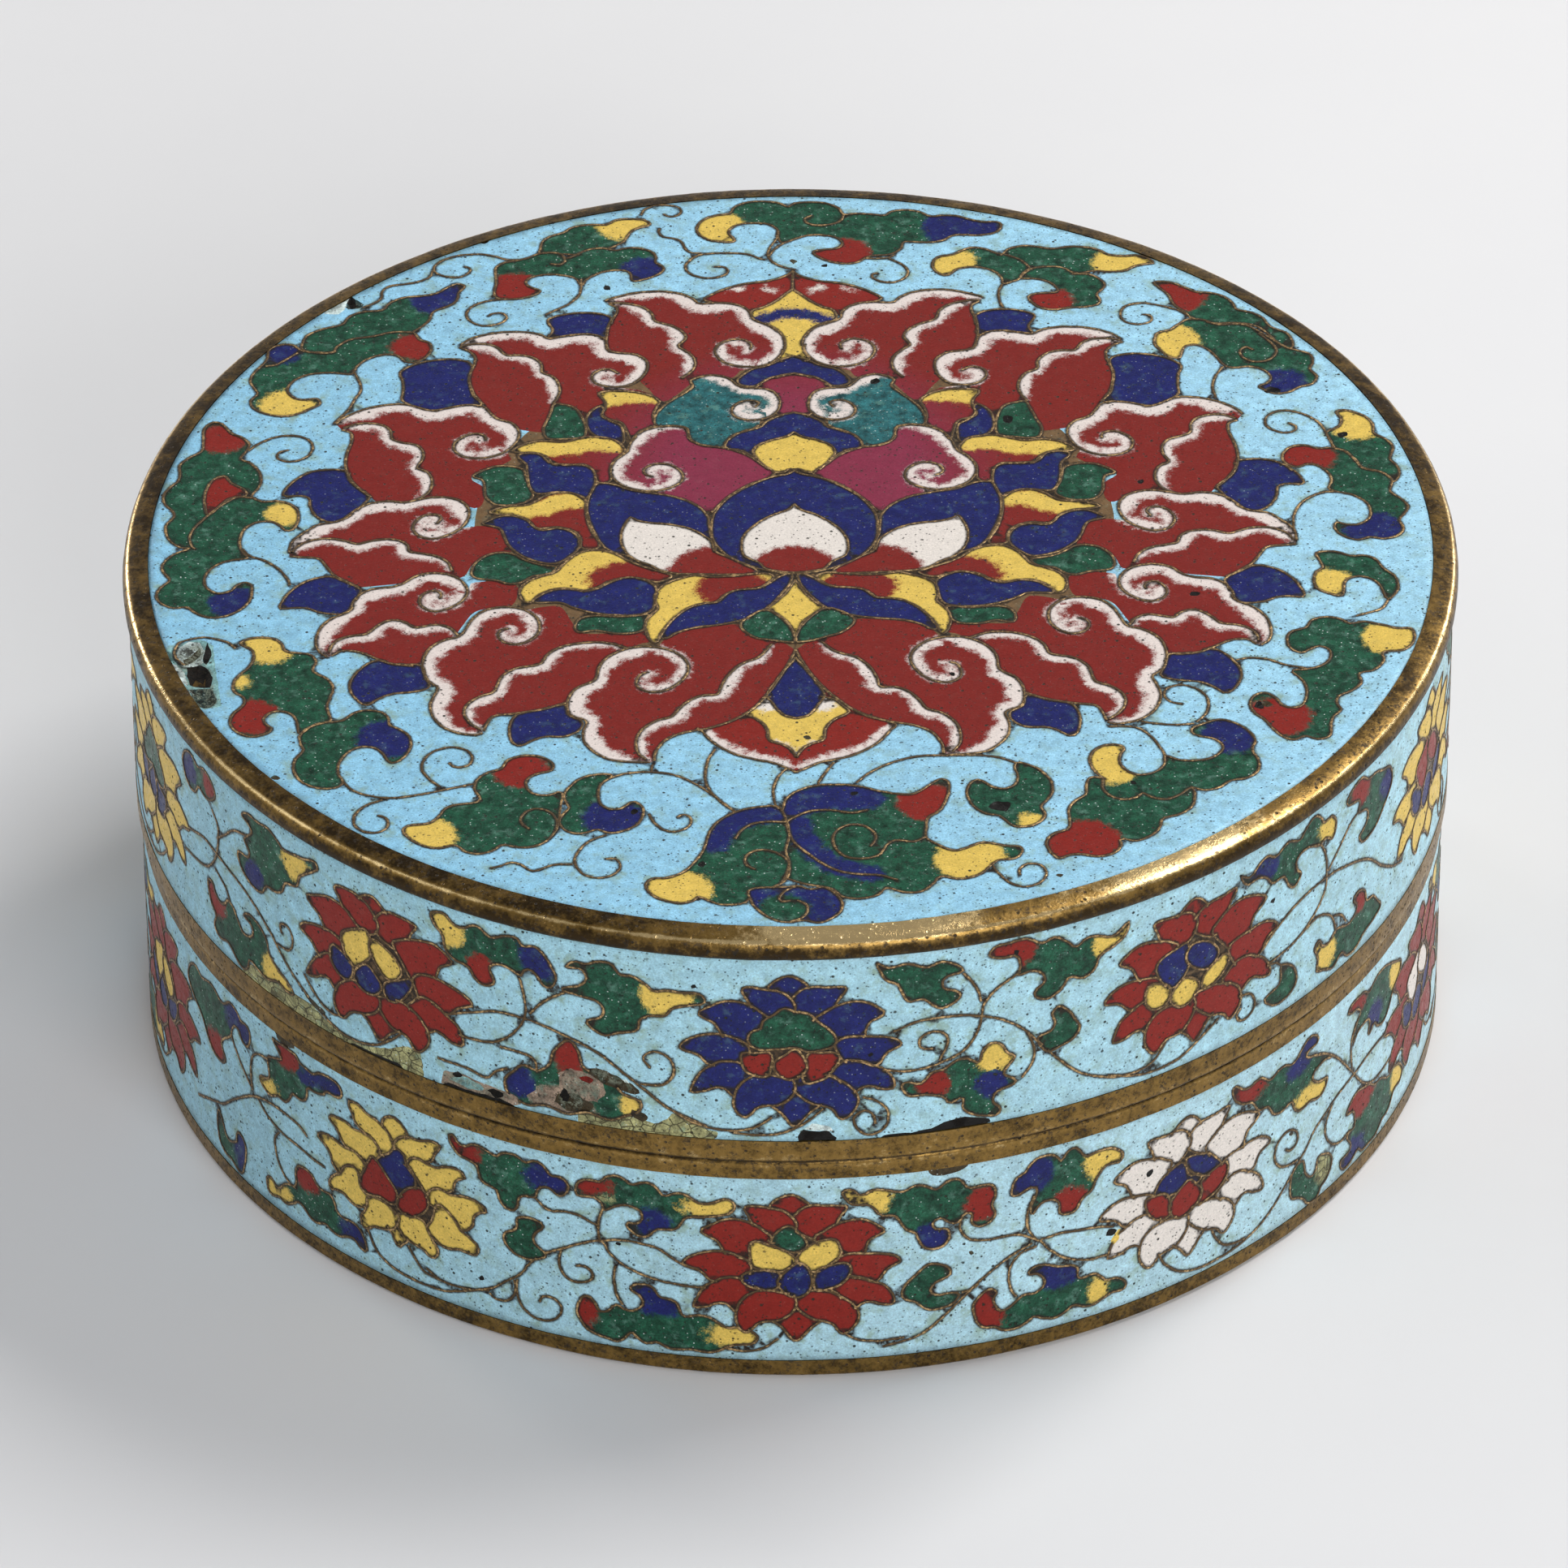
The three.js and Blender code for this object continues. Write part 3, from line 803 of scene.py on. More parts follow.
PETAL_LOW = """
@petal 8 14.7,-19 15.4,-19.5 15.6,-21.2 14.5,-22.2 12.8,-21.8 11.4,-20 11,-18 11.8,-16.3 13.5,-15.1
 16,-15 18,-16.3 18.9,-18 19.1,-20 19.6,-20.7 20.7,-21.6 21.3,-23.3 21.3,-25.3 20.8,-26.2 19.6,-27
 19.9,-28.5 19.9,-30 19.3,-31.5 18,-33 16.5,-33.5 14.2,-33.7 ; 13.8,-33.5 13.7,-32 12.8,-30.1 11.2,-29
 9,-28.4 6.3,-27 4,-24.6 2,-21.2 0.8,-18.2 0.4,-16.9 ; 1.5,-15.6 4,-14 6,-12 10,-12.3 12.5,-13
 13.6,-14.6 ; 14.6,-33.2 15.3,-32 15.4,-30.2 14.9,-28.4 13.7,-27 12.4,-26.4 11.7,-25 10.7,-23.6 9.5,-22.9
 8.2,-22.9 7.9,-21.6 7.3,-19.9 6.1,-18.2 4.4,-17.4 3.6,-16.7 2.8,-15.6
"""

INNER = """
@side m 12.9,20.2 13,22 12.6,23.6 12.4,24.3 13.2,25.3 14.6,26 16.3,26.2 18.1,25.9 17.5,24.6 17.4,23.3
 17.8,22 17.4,21.4 16,20.8 15.5,19 15.2,17.5 14.5,19 13.5,19.9 ; s y 1.5 12,25.6 15.4,25.6 18.5,24.6
@side b 17.8,23.6 18.6,23 19.2,21.8 19.4,20.2 18.9,18.7 17.6,17.9 16.2,17.1 15.9,18.6 16,20.2 17,21
 17.7,22 17.5,23
@side g 22.4,24 22.9,22.6 23.4,21 23.9,19.4 23.6,18 22.5,17.8 21,18 19.8,18.2 19.5,20 19.8,21.8
 20.4,23.3 21.4,23.8
@side m 16.2,16.9 17,17.9 18.6,18.3 20,18.2 21.3,17.6 22.6,17.4 24.2,17.6 25.8,17 27,15.8 25.5,15.5
 24.2,15.3 23.4,14.4 23,13.6 21.6,13.5 20,13.6 19.2,12.5 19,11 18.6,10.5 17.6,11 17.6,13 16.8,14.8 16,15.8
 ; s y 1.3 17,17 19,17.3 21,16.6 23.5,16.3 26,16.3
@side b 23.5,14 24.3,15.3 25.4,15.6 26.4,15.2 26.2,14.5 25.6,13.6 25.5,12 25.3,10.3 24.6,9 22.5,9.2
 21,8.9 20,8 19.2,10 19.1,12 19.7,13.3 21.5,13.6 22.7,13.7
@side g 25.9,12.8 27,13.4 28.6,13.4 30,12.6 30.7,11.8 29.7,11.4 29.5,10 29.3,8.6 28.3,7.4 26.5,7.4 25.3,8
 24.9,8.8 25.4,10.5 25.7,12
@side m 20,7.9 20.9,8.8 22.2,9.2 23.6,8.8 24.6,7.9 25.4,7.3 27,7.2 28.2,6.8 29.1,6.3 28,5.9 26.5,5.7
 25.3,4.9 24.7,3.8 24,3.5 22.5,3.7 21,3 20.3,1.8 20.2,0.3 18.7,0.2 18.6,1 19.4,3 19.9,5.5
 ; s y 1.3 20.5,7.7 22.3,7.9 24.2,6.7 27,6.4 28.8,6.3
@side b 20.5,1.8 21.3,3 22.6,3.5 24.2,3.3 25.2,4.7 26.5,5.6 28,5.6 29,4.9 29.6,4.4 28.6,4.1 27.8,3.6
 27.4,2.4 26.9,0.9 25.8,-0.5 24.3,-1.5 22.6,-1.9 21.4,-1 20.5,0.3
@side g 26.7,-0.2 28.2,-0.2 29.4,-1 30.1,-2.2 30.2,-3.6 29.6,-4.2 28,-4.4 26.6,-5 25.4,-4.6 24.6,-3.8
 23,-3.4 22.4,-2.4 24,-2 25.5,-1.2
@side y 17,-0.8 18.5,-0.1 19.8,-0.1 20.9,-0.8 21.8,-2 22.5,-3.2 23.8,-3.8 25,-4.6 25.7,-6 25.4,-7.6
 24.6,-7.9 24,-6.8 22.6,-5.8 21,-5.8 19.8,-6.1 18.6,-5.6 17.8,-4.9 16.5,-4.4 15,-4.5 13.4,-5.2 11.9,-4.5
 12.6,-3.9 14.5,-2.9 16,-1.8 ; t m 15.5,-4.6,4.4,3
@side b 13.5,-6 14.3,-5 15.8,-4.3 17.5,-4.9 18.6,-5.8 19.8,-6.2 21.2,-5.8 22.8,-6 24,-7 24.5,-7.8
 23.3,-7.9 22,-7.9 20.7,-8.8 19,-9.6 17,-10 15,-9.9 14,-9.2 13.7,-7.8
@side g 14.4,-10 15.5,-10.1 17,-10.2 19,-10 20.3,-10.4 20.8,-11.6 20.5,-12.6 19,-12.3 17.5,-12.8 16,-12.8
 14.9,-12.2 14.7,-11
@side y 8.4,-4.7 10,-4.4 11.5,-4.9 12.8,-5.6 13.6,-6.8 13.7,-8.2 13.5,-9 14.1,-9.9 14.7,-11 14.8,-12.2
 14.4,-14 13.9,-14.4 13.3,-12.8 12.6,-11.3 11.6,-9.9 10.3,-8.9 9,-8.6 8,-8.5 7.2,-7.5 6,-6.9 4,-6.7
 2.9,-5.9 2.4,-4.9 3.5,-4.4 6,-4.7 ; t m 6.3,-6.6,3.6,3
@side b 0.7,-4.6 1.7,-4.9 2.7,-5.9 3.8,-6.7 5.3,-6.8 6.8,-7.2 7.9,-8.5 9.3,-8.6 10.8,-9.2 12,-10.4 13,-12
 13.6,-13.4 13,-13.7 12,-12.8 10.5,-12.2 8.5,-11.9 6.5,-11.6 4.5,-10.9 3,-9.8 1.8,-8 0.9,-6.2
@side g 0.4,-15.6 0.6,-14 1.4,-12.2 2.7,-10.5 3.8,-10.2 5.3,-11.2 5.9,-12 5.6,-13 4.5,-14.2 3,-14.9
 1.8,-15.4
@half y 0.4,-5.6 1.2,-7.5 2.3,-9.3 3,-10 2.2,-11 1.1,-12.5 0.4,-15
"""

HEART = """
@half b 0.4,22.3 1.5,21.9 3,20.8 3.6,19.8 5,19.3 6.2,18.3 6.9,17 6.7,16.2 5.5,16 3,14 0.4,14
@half y 0.4,19 1.2,18.2 2.5,17.7 3.8,16.8 4.3,15.6 3.8,14.3 3,13 2.3,12.2 1.3,12.3 0.9,12.9 0.4,12.6
@side b 8.3,2 8.4,3.5 8.6,5.2 9.6,6.8 11,7.9 13,8.7 15.5,9.3 17.3,10.3 18.6,10.6 19.2,10 19.8,7.5 19.7,5
 19,2.5 18.3,0.7 17.2,-0.6 16.2,-1 12,-3 8,-1
@side w 8.3,1 9.3,2.2 10.3,3 12,3.7 14,4 15.3,4.5 15.7,5 16.2,4 16.6,2.5 16.5,0.5 15.8,-1.2 15,-2
 14,-2.6 13,-3.5 11.7,-4 10.5,-4.2 4,-4.4 6.3,-2 7.8,-0.8 ; t m 8.3,-4.6,4.3,4.9
@half b 0.4,12.6 1,12 3,11.2 5,9.7 6.6,8 7.9,5.5 8.2,3 8,1 7.2,-0.8 6,-2.2 4,-3.6 1.5,-4.5 0.4,-4.5
@half w 0.4,6.9 1,6 2.5,5.1 4,3.6 5.1,1.8 5.4,0 5.1,-1.6 3.8,-2.7 3.2,-3.7 1.8,-4.2 0.4,-4.4
 ; t m 0.2,-3.8,3.9
"""
GREEN_SCROLL = """
@scroll 7 4.2,23.3 3.8,24 4.5,24.4 5.5,24.2 6.2,23.2 6.1,22 5.2,21.2 3.8,21.1 2.4,21.9 1.8,23.2 1.9,24.8
 2.6,26 3.8,26.5 5.4,26.6 6.1,27.3 6.8,28.3 8.2,28.8 9.4,28.4 ; 10,27.8 9.7,26.8 10.5,25.6 11.8,24
 12.8,22 12.9,20.6 12.5,20 11.3,20.2 10.1,19.8 10,18.8 9.9,17.8 8.8,16.9 7,16.5 6.8,17.3 6,18.6 4.5,19.4
 3.7,20.2
"""
CRIMSON_SCROLL = """
@scroll 8 13.7,11.6 14.4,12.1 14.3,13 13.2,13.8 12,13.6 11,12.5 10.9,11 12,9.8 13.8,9.2 15.8,9.7 17.2,11
 17.6,12.9 17,14.5 15.8,15.8 15.4,17.2 14.6,18.8 13,19.9 11.4,20.2 10.2,19.8 ; 10,19 9.8,17.8 8.8,16.8
 6.6,16.3 4.6,15 3.5,13.6 2.2,11.9 4.5,10.3 6.5,8.3 8.2,5.6
"""
# How far the left half of the lotus strays from a mirror image: place, then the change there
STRAY = pts("-5.2,33.6 -13,40 -16.2,28.6 -24,36 -29.4,18.2 -33.5,4.7 -32.7,-7.7 -25.6,-11.4 -14,-18.5"
            " -42.2,21.3 -46.5,.2 -42.6,-16.6 -28.1,-28.7 -13.4,-33.7 -47.2,10 -46.6,-7 -40,-21.5 -25.4,-28")
STRAY_BY = pts(".7,0 1,0 -1.5,0 -.7,-.5 0,.4 -.1,-.7 -.5,-.8 -.4,-1.6 1,-1.7"
               " -1.2,-1 -.3,-1.3 -.4,-1 .3,-1.5 .7,-1.1 0,-1.2 -.8,-1 .3,-1.5 -.9,-1")

# Leaves and vines round the edge of the cover's top
BORDER = """
@one g 0,58.2 0.6,58.8 2,59 3.6,58.8 4.9,57.9 5.4,56.7 6.5,56.9 8,56.8 9.4,56.5 10,57.2 11.5,57.5
 12.8,57.1 13.8,56.3 15,56.5 16.3,56.4 17.5,55.8 18.8,55.3 20.5,55.2 20.7,54.3 20,53.3 18.5,52.9 16.8,53
 15.9,52.9 15,52 13.5,51.7 11.2,51.8 11,50.8 10.4,50 9.6,49.5 8,49.4 7.3,48.9 6.6,48.2 5.3,48 3.8,48.5
 2.6,49.5 2.3,50.2 3.2,50.5 4.6,50.7 5.3,51.5 4.8,52.5 3.8,53 2,53.1 0.6,52.4 -0.6,51.6 -1,52.8 -1,54
 -1.8,55 -3,55.3 -4.4,55.2 -5.4,54.6 -5.8,53.6 -5.4,52.8 -5.2,52 -6.3,52 -7.8,52.4 -8.8,53.6 -8.8,55
 -8,56.2 -6.8,56.8 -5.7,57 -5.2,58.2 -4,59 -2.5,59.2 -1,58.9 ; t y -7,54.3,3 ; t b 17,54.5,4
 ; t r 5.3,49.8,2.8 ; w 5.4,56.7 5.2,55.8 4.4,55.1 3,54.8 1.9,55.2 1.6,56 2.3,56.6
 ; w -1,53.9 -1.2,52.4 -1.8,50.8 -2,49.4 -1.4,48.2 -0.4,47.4 0.7,47
 ; w 0.6,52.4 -0.6,51.6 -1.5,50.4 -1.9,49.4 ; w 7.5,48.9 9.6,49 10.3,49.6
 ; w 9.7,48.9 10.8,48 11.5,46.9 11.3,45.6 10.2,44.7 9,44.8 8.1,45.5 8.1,46.2 8.6,46.3
 ; w -2.2,48.8 -2.8,49 -4,49.8 -6,50 -8.4,49.8 -9.6,48.7 -10,47.5 -9.4,46.3 -8,45.6 -6.5,45.9 -5.8,46.8
 -6.3,47.6 -7.2,47.6 ; w -8.4,50 -9.4,50.1 -10.1,51 -10.3,52 -11,52.6 -12.2,53 -12.6,53.8 -12.5,54.4
 ; w -14.3,56.8 -14,57.8 -13,58.5 -11.8,58.6 -10.7,58.2 -10.4,57.4 -10.8,56.7 -11.6,56.5 -12.1,57
@one g 21,50 21.6,50.6 22.8,51 24.2,50.8 25.5,50.4 27,50.8 28.6,50.7 30,50.2 31,49.3 32.3,49.1 33.8,49.2
 34.8,48.6 35.3,47.8 34.4,47.6 33.3,47.2 32.5,46.5 31,46.3 29.3,46.5 28,46 26,46 22,47 20,48
 ; t y 32.5,47.8,3.2
@one g 22.4,45.3 22.8,46.4 23.8,47.1 25.2,47.3 26.6,47 27.6,46.1 29,45.9 30,45.1 30.5,44 30,43 29.6,42.4
 30,41.3 29.6,40.5 28.5,40.2 27,40.1 25.6,39.7 24.2,40.1 23.4,41 23,42 23.8,42.6 25,42.7 26,42.9 25.6,44
 24.8,44.8 23.6,45.2 ; t r 25,41.2,2.5
@one g 14,48.3 14.6,49.2 15.8,49.5 16.6,50.1 17.6,50.7 18.8,50.6 20,49.8 21.2,49.3 22.4,48.5 23.3,47
 22.6,46 22.2,45.1 21,44.4 20.6,44.2 20.6,45.2 20,46.4 18.9,47.1 17.5,47.3 16.2,46.9 15.8,46.3 15.2,45.8
 14.4,46.3 13.9,47.2 ; t y 15,48,3.2 ; w 20.6,44.2 20.2,42.8 20.3,41.2 20.6,40.2
 ; w 38.8,38 37.5,39.4 36,40.2 34,40.8 32.4,40.3 31.8,38.8 32.4,37.4 33.8,37.1 34.8,37.7 34.7,38.6 34,38.8
@one g 35.2,44.4 36.3,44.5 37.2,44.2 38.2,43.5 39.3,42.7 40.6,42.5 41.9,41.8 42.7,40.7 43,39.6 44.5,39
 45.5,38 46.2,36.5 47.6,35.5 48.2,34 48,32.8 47,33.5 45,36.5 43,37.2 41,37.2 40,37.5 38.6,38.2 38,39.2
 37,40.5 36.6,42 35.8,43.3 ; t r 37.5,42,2.8
@one g 35,34.5 35.3,35.6 36.5,36.1 37.3,37 38.3,37.9 39.8,37.8 41,37 43.5,37 45,35.8 46.2,34.4 47.5,33
 48.6,32.4 49.8,31.8 50,30.3 49.6,29.2 50.3,28 49.8,26.6 48.6,26.2 47.6,25.3 46.2,25 45.2,25.7 44.6,26.3
 45.6,26.9 45.9,28 45.3,29 44,29.7 42.6,29.5 41.6,29.8 41,31 40.2,32.5 39,33.5 37.9,33.2 37.5,32
 37.2,31.2 36.2,31.5 35.5,32.6 35,33.6 ; t y 36,34,3.4 ; t b 47,26.6,2.6
 ; w 44.4,32.6 43.7,33.1 43.1,32.3 43.4,31.2 44.6,30.5 46,31 46.6,32.5 46,34 45,35.4
 ; w 41.4,29.7 40.6,28 40.3,26 40.5,24.3
@one g 51.9,21.9 52.6,22.2 53.6,21.8 54.7,20.9 55.3,19.6 55.3,18.2 56.4,17.2 57,16 56.8,14.8 56.6,13.8
 57.3,12.6 57.4,11.2 56.8,10 55.9,10.4 55.2,11.8 54,12.3 53.2,14 52.4,15.3 51.3,15.8 51.2,17 50.8,18.4
 52,19.4 52.3,20.6 ; t y 53.8,19.8,2.7
@one g 51.2,15.8 50,15.7 48.8,16.2 47.5,16.1 46.6,15 46.5,13.8 47.2,12.7 48,12.6 48.8,13.1 49.8,12.8
 50.7,11.6 51,10.2 50.6,9 51.4,8.4 53,7.8 54.2,6.4 54.4,5 54.2,3.9 53.2,3 51.9,3 51.2,3.5 50.9,2.5
 51.6,1.2 53,0.4 54.2,0.9 55.6,0.6 57,1.3 57.4,2.5 57,3.7 57.6,4.8 58,6 57.3,7.3 56.4,8.4 56.6,9.6
 56.6,10.6 55.5,11.8 54,12.4 53.3,13.9 52.4,15.2 ; t r 48.6,14.5,3 ; t b 54.6,2.2,2.9
 ; w 47.3,20 48,19.4 47.7,18.6 46.6,18.4 45.3,19.3 45.1,20.8 46.2,22 47.8,22 49.6,20.8 50.6,19 51.2,16.6
 51.5,15.7 ; w 46.6,13 47.2,12.2 48.2,10.4 ; w 47.1,2 47.2,4.5 48.2,6.9 50,8.3 51.5,8.4
@one g 49,-1.7 50,-1.4 51.2,-1.6 52.2,-2.2 53.5,-2.1 54.6,-2.8 55.2,-4.2 56.2,-5.5 56.5,-7 56.2,-8.2
 55.4,-9.4 55,-8.2 54.8,-7 53.8,-5.8 52.4,-5.6 51.5,-6.4 51.4,-7.8 51.2,-8.8 50.2,-8.4 49,-7.6 48.6,-6.2
 48.9,-4.8 49.6,-4 49.3,-2.8 ; t y 50,-6.5,2.3 ; w 55.4,-9.4 54.8,-10.8 53.4,-11.5 52.3,-12
@one g 51.7,-13.2 50.8,-12.4 49.5,-12.1 48.2,-12.6 47.6,-13.8 46.3,-14.4 45.8,-15.6 46,-17 47,-17.9
 47.9,-17.2 48.8,-16.8 49.7,-17.6 49.6,-19 48.7,-20 47.4,-20.5 46,-20.7 47,-22.3 47.3,-24 47,-25.8
 46.2,-26.6 45,-26.2 44.4,-25 43.6,-24.2 42.6,-24.5 42,-25.8 42.3,-27.3 43.2,-28.4 44,-30 45,-31.3
 46,-31.7 46.9,-31 48,-31.6 49.2,-31 49.3,-29.4 49.6,-28 50.4,-27 50,-26 50.2,-24.8 51.5,-23.9 52.4,-22.6
 52.2,-21.2 53.6,-20.7 54.6,-19.2 54.6,-17.8 56.2,-17.6 57.2,-16.8 57.6,-15.2 57.3,-14 56.2,-14
 54.6,-13.4 53,-12.9 ; t y 55.6,-15.6,2.9 ; t r 44.6,-28,3.1
 ; w 41,-19 42.3,-18.6 44,-18.9 45.5,-19.8 47.4,-20.3
@one g 27.3,-37.3 26.7,-38.8 26.6,-40 25.6,-41 25,-42.3 25.1,-44 24.9,-45.3 23.6,-46 22.9,-47.3
 23.2,-48.8 24,-49.9 24.9,-49.3 26,-49.2 27.6,-49.6 29,-49 29.7,-47.8 29.6,-46.9 31,-47.2 32.4,-46.4
 33.2,-45.2 33.5,-43.8 35,-43.2 36.2,-42 36.5,-40.6 36.2,-39 34,-38 30,-38 ; t r 26.3,-47.2,3.4
@one g 34,-34 35.2,-34.7 36.8,-34.8 38.2,-34.4 39.2,-33.3 39.2,-32.2 38.3,-31.3 37.3,-31 36.7,-30.6
 36.6,-29.8 38,-28.8 39.2,-28.4 40.6,-29 41.8,-30.3 42.3,-31.8 42,-33.2 42.5,-34.8 42.4,-36.4 41.3,-37.6
 39.8,-38 38.8,-39 37.4,-39.5 36.2,-39 35.3,-40 34,-40.8 32.6,-40.5 31.8,-39.8 31.2,-40.5 30,-40.8
 28.8,-40.2 28.2,-39 28.2,-37.6 27.4,-36.2 27.1,-34.6 27.5,-33.2 28.6,-32.3 29.8,-32.3 30.3,-32.9
 29.9,-34 29.9,-35.3 30.6,-36.5 31.8,-37 33.2,-36.4 33.9,-35.3 ; t y 29,-35.3,3.1 ; t b 40,-31,2.8
 ; w 29,-29.4 31.4,-29.5 32.8,-31 33.7,-33 34,-34.2 ; w 36.8,-29 35,-29.2 33,-28.9 32,-28.6
 ; w 35.8,-25.9 34.8,-25.6 34.2,-24.5 34.6,-23.3 36,-22.9 37.4,-23.7 38.2,-25.3 38,-27.3 37,-28.8
@one g 20.4,-35 21.3,-35.2 22.6,-36.2 23.5,-37.8 23.6,-39.6 23,-41 22.5,-41.8 22.9,-43 22.4,-44.2
 21.3,-44.9 20,-44.8 19.2,-43.8 18.7,-43.2 17.6,-42.9 16.5,-41.9 15.9,-40.2 16,-38.6 16.7,-37.6 17.5,-38
 18.3,-38.8 19.4,-39 20.3,-38.3 20.5,-37 20.3,-36 ; t y 21.5,-44,1.2
 ; w 5.8,-38 7,-36.5 8.5,-35.2 10.5,-34.2 12,-33.8 14.5,-33.8 17,-33.8 19,-34.2 20.3,-35
 ; w 17.9,-50.6 18.5,-52 19.6,-53.6 21,-54.1 22.3,-53.4 22.8,-52 22.3,-50.8 21.2,-50.6 20.4,-51.4
 20.4,-52.4
@one g -0.8,-41.5 -0.6,-40.5 0.4,-39.2 2,-38.4 4,-38.2 6,-38.5 8,-39.3 10,-39.8 11.2,-39.6 12.6,-38.2
 13.6,-37.4 14.2,-38 14.2,-39.5 13.8,-41.3 13.2,-42.6 12.3,-43.4 12.1,-45 12,-46.4 12.8,-47.3 14.4,-48.5
 15.6,-48.1 17,-47.3 18.3,-47.5 19.4,-47.9 20.5,-47.9 20.7,-48.8 20,-49.8 18.6,-50 17.9,-50.8 16.8,-52.2
 15,-52.9 13.3,-52.4 12.6,-53.6 11.4,-54.8 9.8,-54.8 8.4,-54.1 7.6,-55.2 6,-55.8 4.4,-55.4 3.4,-54.2
 0,-53 -3,-50 -1.5,-45 ; s b 2 -0.8,-41.5 3,-40.3 6.5,-40.2 ; s b 1.3 0.5,-44 1.2,-47 3.5,-50.5 7,-52
 ; t r 12.3,-41,2.9 ; t y 16,-49.8,3.3 ; w -0.6,-44 0,-43.4 1.6,-42.3 3.6,-42.2 5.4,-42.6 6.8,-42.2
 ; w 7,-47.8 7.5,-46.8 7.3,-45.5 6.2,-44.5 4.8,-44.6 3.8,-45.8 3.7,-47.5 4.6,-49.2 6.2,-49.7 7.8,-49.1
 8.4,-47.8 9,-47 9.8,-46.9 11,-47.1 12,-46.4 ; w -0.6,-44.3 0,-46.8 1.5,-49 3.6,-51.2 5.6,-52 7.8,-52.2
 9.4,-53
@one g -1.2,-41.7 -3,-41.6 -5,-42.3 -6.6,-43.7 -7.5,-45.5 -8,-48 -8.8,-50 -9.8,-51.5 -11.3,-52.4
 -12.6,-52.5 -13.2,-53.3 -13,-54.5 -12,-55.6 -10.3,-56.3 -9,-56 -8.5,-55.3 -7.5,-56 -6.2,-56.6
 -4.4,-56.3 -3.8,-55.5 -1.8,-54 -0.9,-53 -0.3,-50.5 -0.6,-48.5 -0.3,-46 -0.5,-44
 ; s b 1.4 -1.5,-42.7 -4.5,-43.3 -6.3,-45 -7,-47.3 ; t y -10.3,-54.5,3.2
 ; w -5.2,-46.5 -4.6,-45.2 -3.6,-44.2 -2,-43.9 -0.6,-44 ; w -3.4,-51.2 -4.2,-50.5 -4.2,-49.2 -3.2,-48.3
 -1.8,-48.5 -0.6,-49.6 -0.3,-51.3 -0.7,-53 -1.8,-54
@one b -4,-54.5 -3,-54 -1.5,-54 -0.6,-53.9 0.6,-53.8 1.6,-54.3 2.8,-54 3.8,-55 4.4,-56.3 4.2,-57.8
 3.2,-58.9 2.2,-59.4 1,-59 -0.4,-59.3 -1.8,-58.8 -3,-57.6 -3.7,-56.2 ; t g -0.8,-57.2,2.3
 ; w 0.4,-56 1.2,-56.6 1.3,-57.6 0.8,-58.6 -0.3,-59.2 ; w -0.2,-56 -1.1,-56.2 -1.2,-55.4 -0.6,-54.4
 0.3,-53.9 ; w -0.5,-35.6 -1.3,-37 -1.7,-39 -1.6,-41 -1.2,-42 ; w 3.8,-34.8 3.2,-36 2.5,-37.6 2.4,-38.2
 ; w -7,-32.6 -7.7,-34.5 -7.9,-37 -7.5,-39 -6.3,-41 -5.2,-42.4
@one g -16.4,-36.5 -17.6,-36.4 -19.2,-37 -20.3,-38.4 -20.7,-39.6 -20.5,-40.8 -20.2,-41.6 -20.8,-42.6
 -21.1,-43.8 -20.6,-45 -19.4,-45.6 -18.3,-45.3 -17.7,-44.9 -16.6,-45.5 -15.2,-45.2 -14,-44.2
 -13.5,-42.8 -13.6,-41.5 -14.4,-40.6 -15,-41.2 -15.6,-41.8 -16.6,-41.8 -17.4,-41 -17.6,-39.5
 -17.4,-38 -16.6,-37 ; t b -16.2,-43.2,2.9
@one g -20.9,-39.3 -22,-39.6 -23.2,-39.5 -24,-38.7 -24.2,-37.5 -23.7,-36.6 -22.8,-36.1 -22,-35.9
 -21.7,-35 -22.3,-34 -23.5,-33.4 -24.8,-33.5 -26,-34.2 -26.4,-35.4 -27.5,-35.9 -28.5,-36.8 -28.9,-38.3
 -28.5,-39.5 -28.3,-40.4 -29.3,-40.8 -30.5,-41 -31.5,-41.6 -32,-42.8 -32.8,-43.8 -33.9,-44 -35,-44.3
 -35.2,-45.2 -34.4,-46.4 -33.2,-47.4 -31.8,-47.7 -30.4,-47.2 -29.6,-48.2 -28.2,-48.6 -27,-48.1
 -26.2,-47.2 -25,-47.6 -23.6,-47.6 -22.3,-46.8 -21.4,-45.2 -21.2,-43.8 ; t r -24.6,-35.8,2.7
 ; t y -33,-45.8,2.8 ; w -23.8,-44.8 -24.5,-44 -24.5,-42.9 -23.8,-41.9 -22.8,-41.7 -21.8,-42.4
 -21.3,-43.6 -21.4,-45 ; w -5.2,-42.3 -7.3,-39.7 -8.6,-38.2 -10.5,-36.7 -12.8,-36.1 -15,-36.3
 -16.6,-37 ; w -12.7,-35 -12.8,-36.1 ; w -13,-42.6 -12.5,-44 -11.5,-45.2 -10.3,-45.3 -9.3,-44.4
 -9.2,-43.2 -9.9,-42.7 -10.4,-43.2 ; w -16.8,-45.8 -18.3,-46.7 -19.4,-48.5 -19.6,-50.2 -18.8,-51.8
 -17.4,-52.4 -16,-51.8 -15.5,-50.5 -16,-49.5 -16.8,-49.5 ; w -19.8,-50.3 -21.5,-50.3 -23.3,-51.3
 -24.4,-50.3 -25.4,-49.9 -26.3,-50.5 -27.2,-50.8
@one g -16.2,51.9 -15.7,52.8 -15.2,54 -14.4,54.6 -13.4,55.1 -13.9,55.9 -15.3,56.2 -16.8,56 -17.7,55.2
 -19.5,55.2 -21,54.7 -21.8,53.8 -23,53.2 -23.8,52.3 -24,51 -24,50 -22,50 -19,50 ; t y -15.6,55.2,3
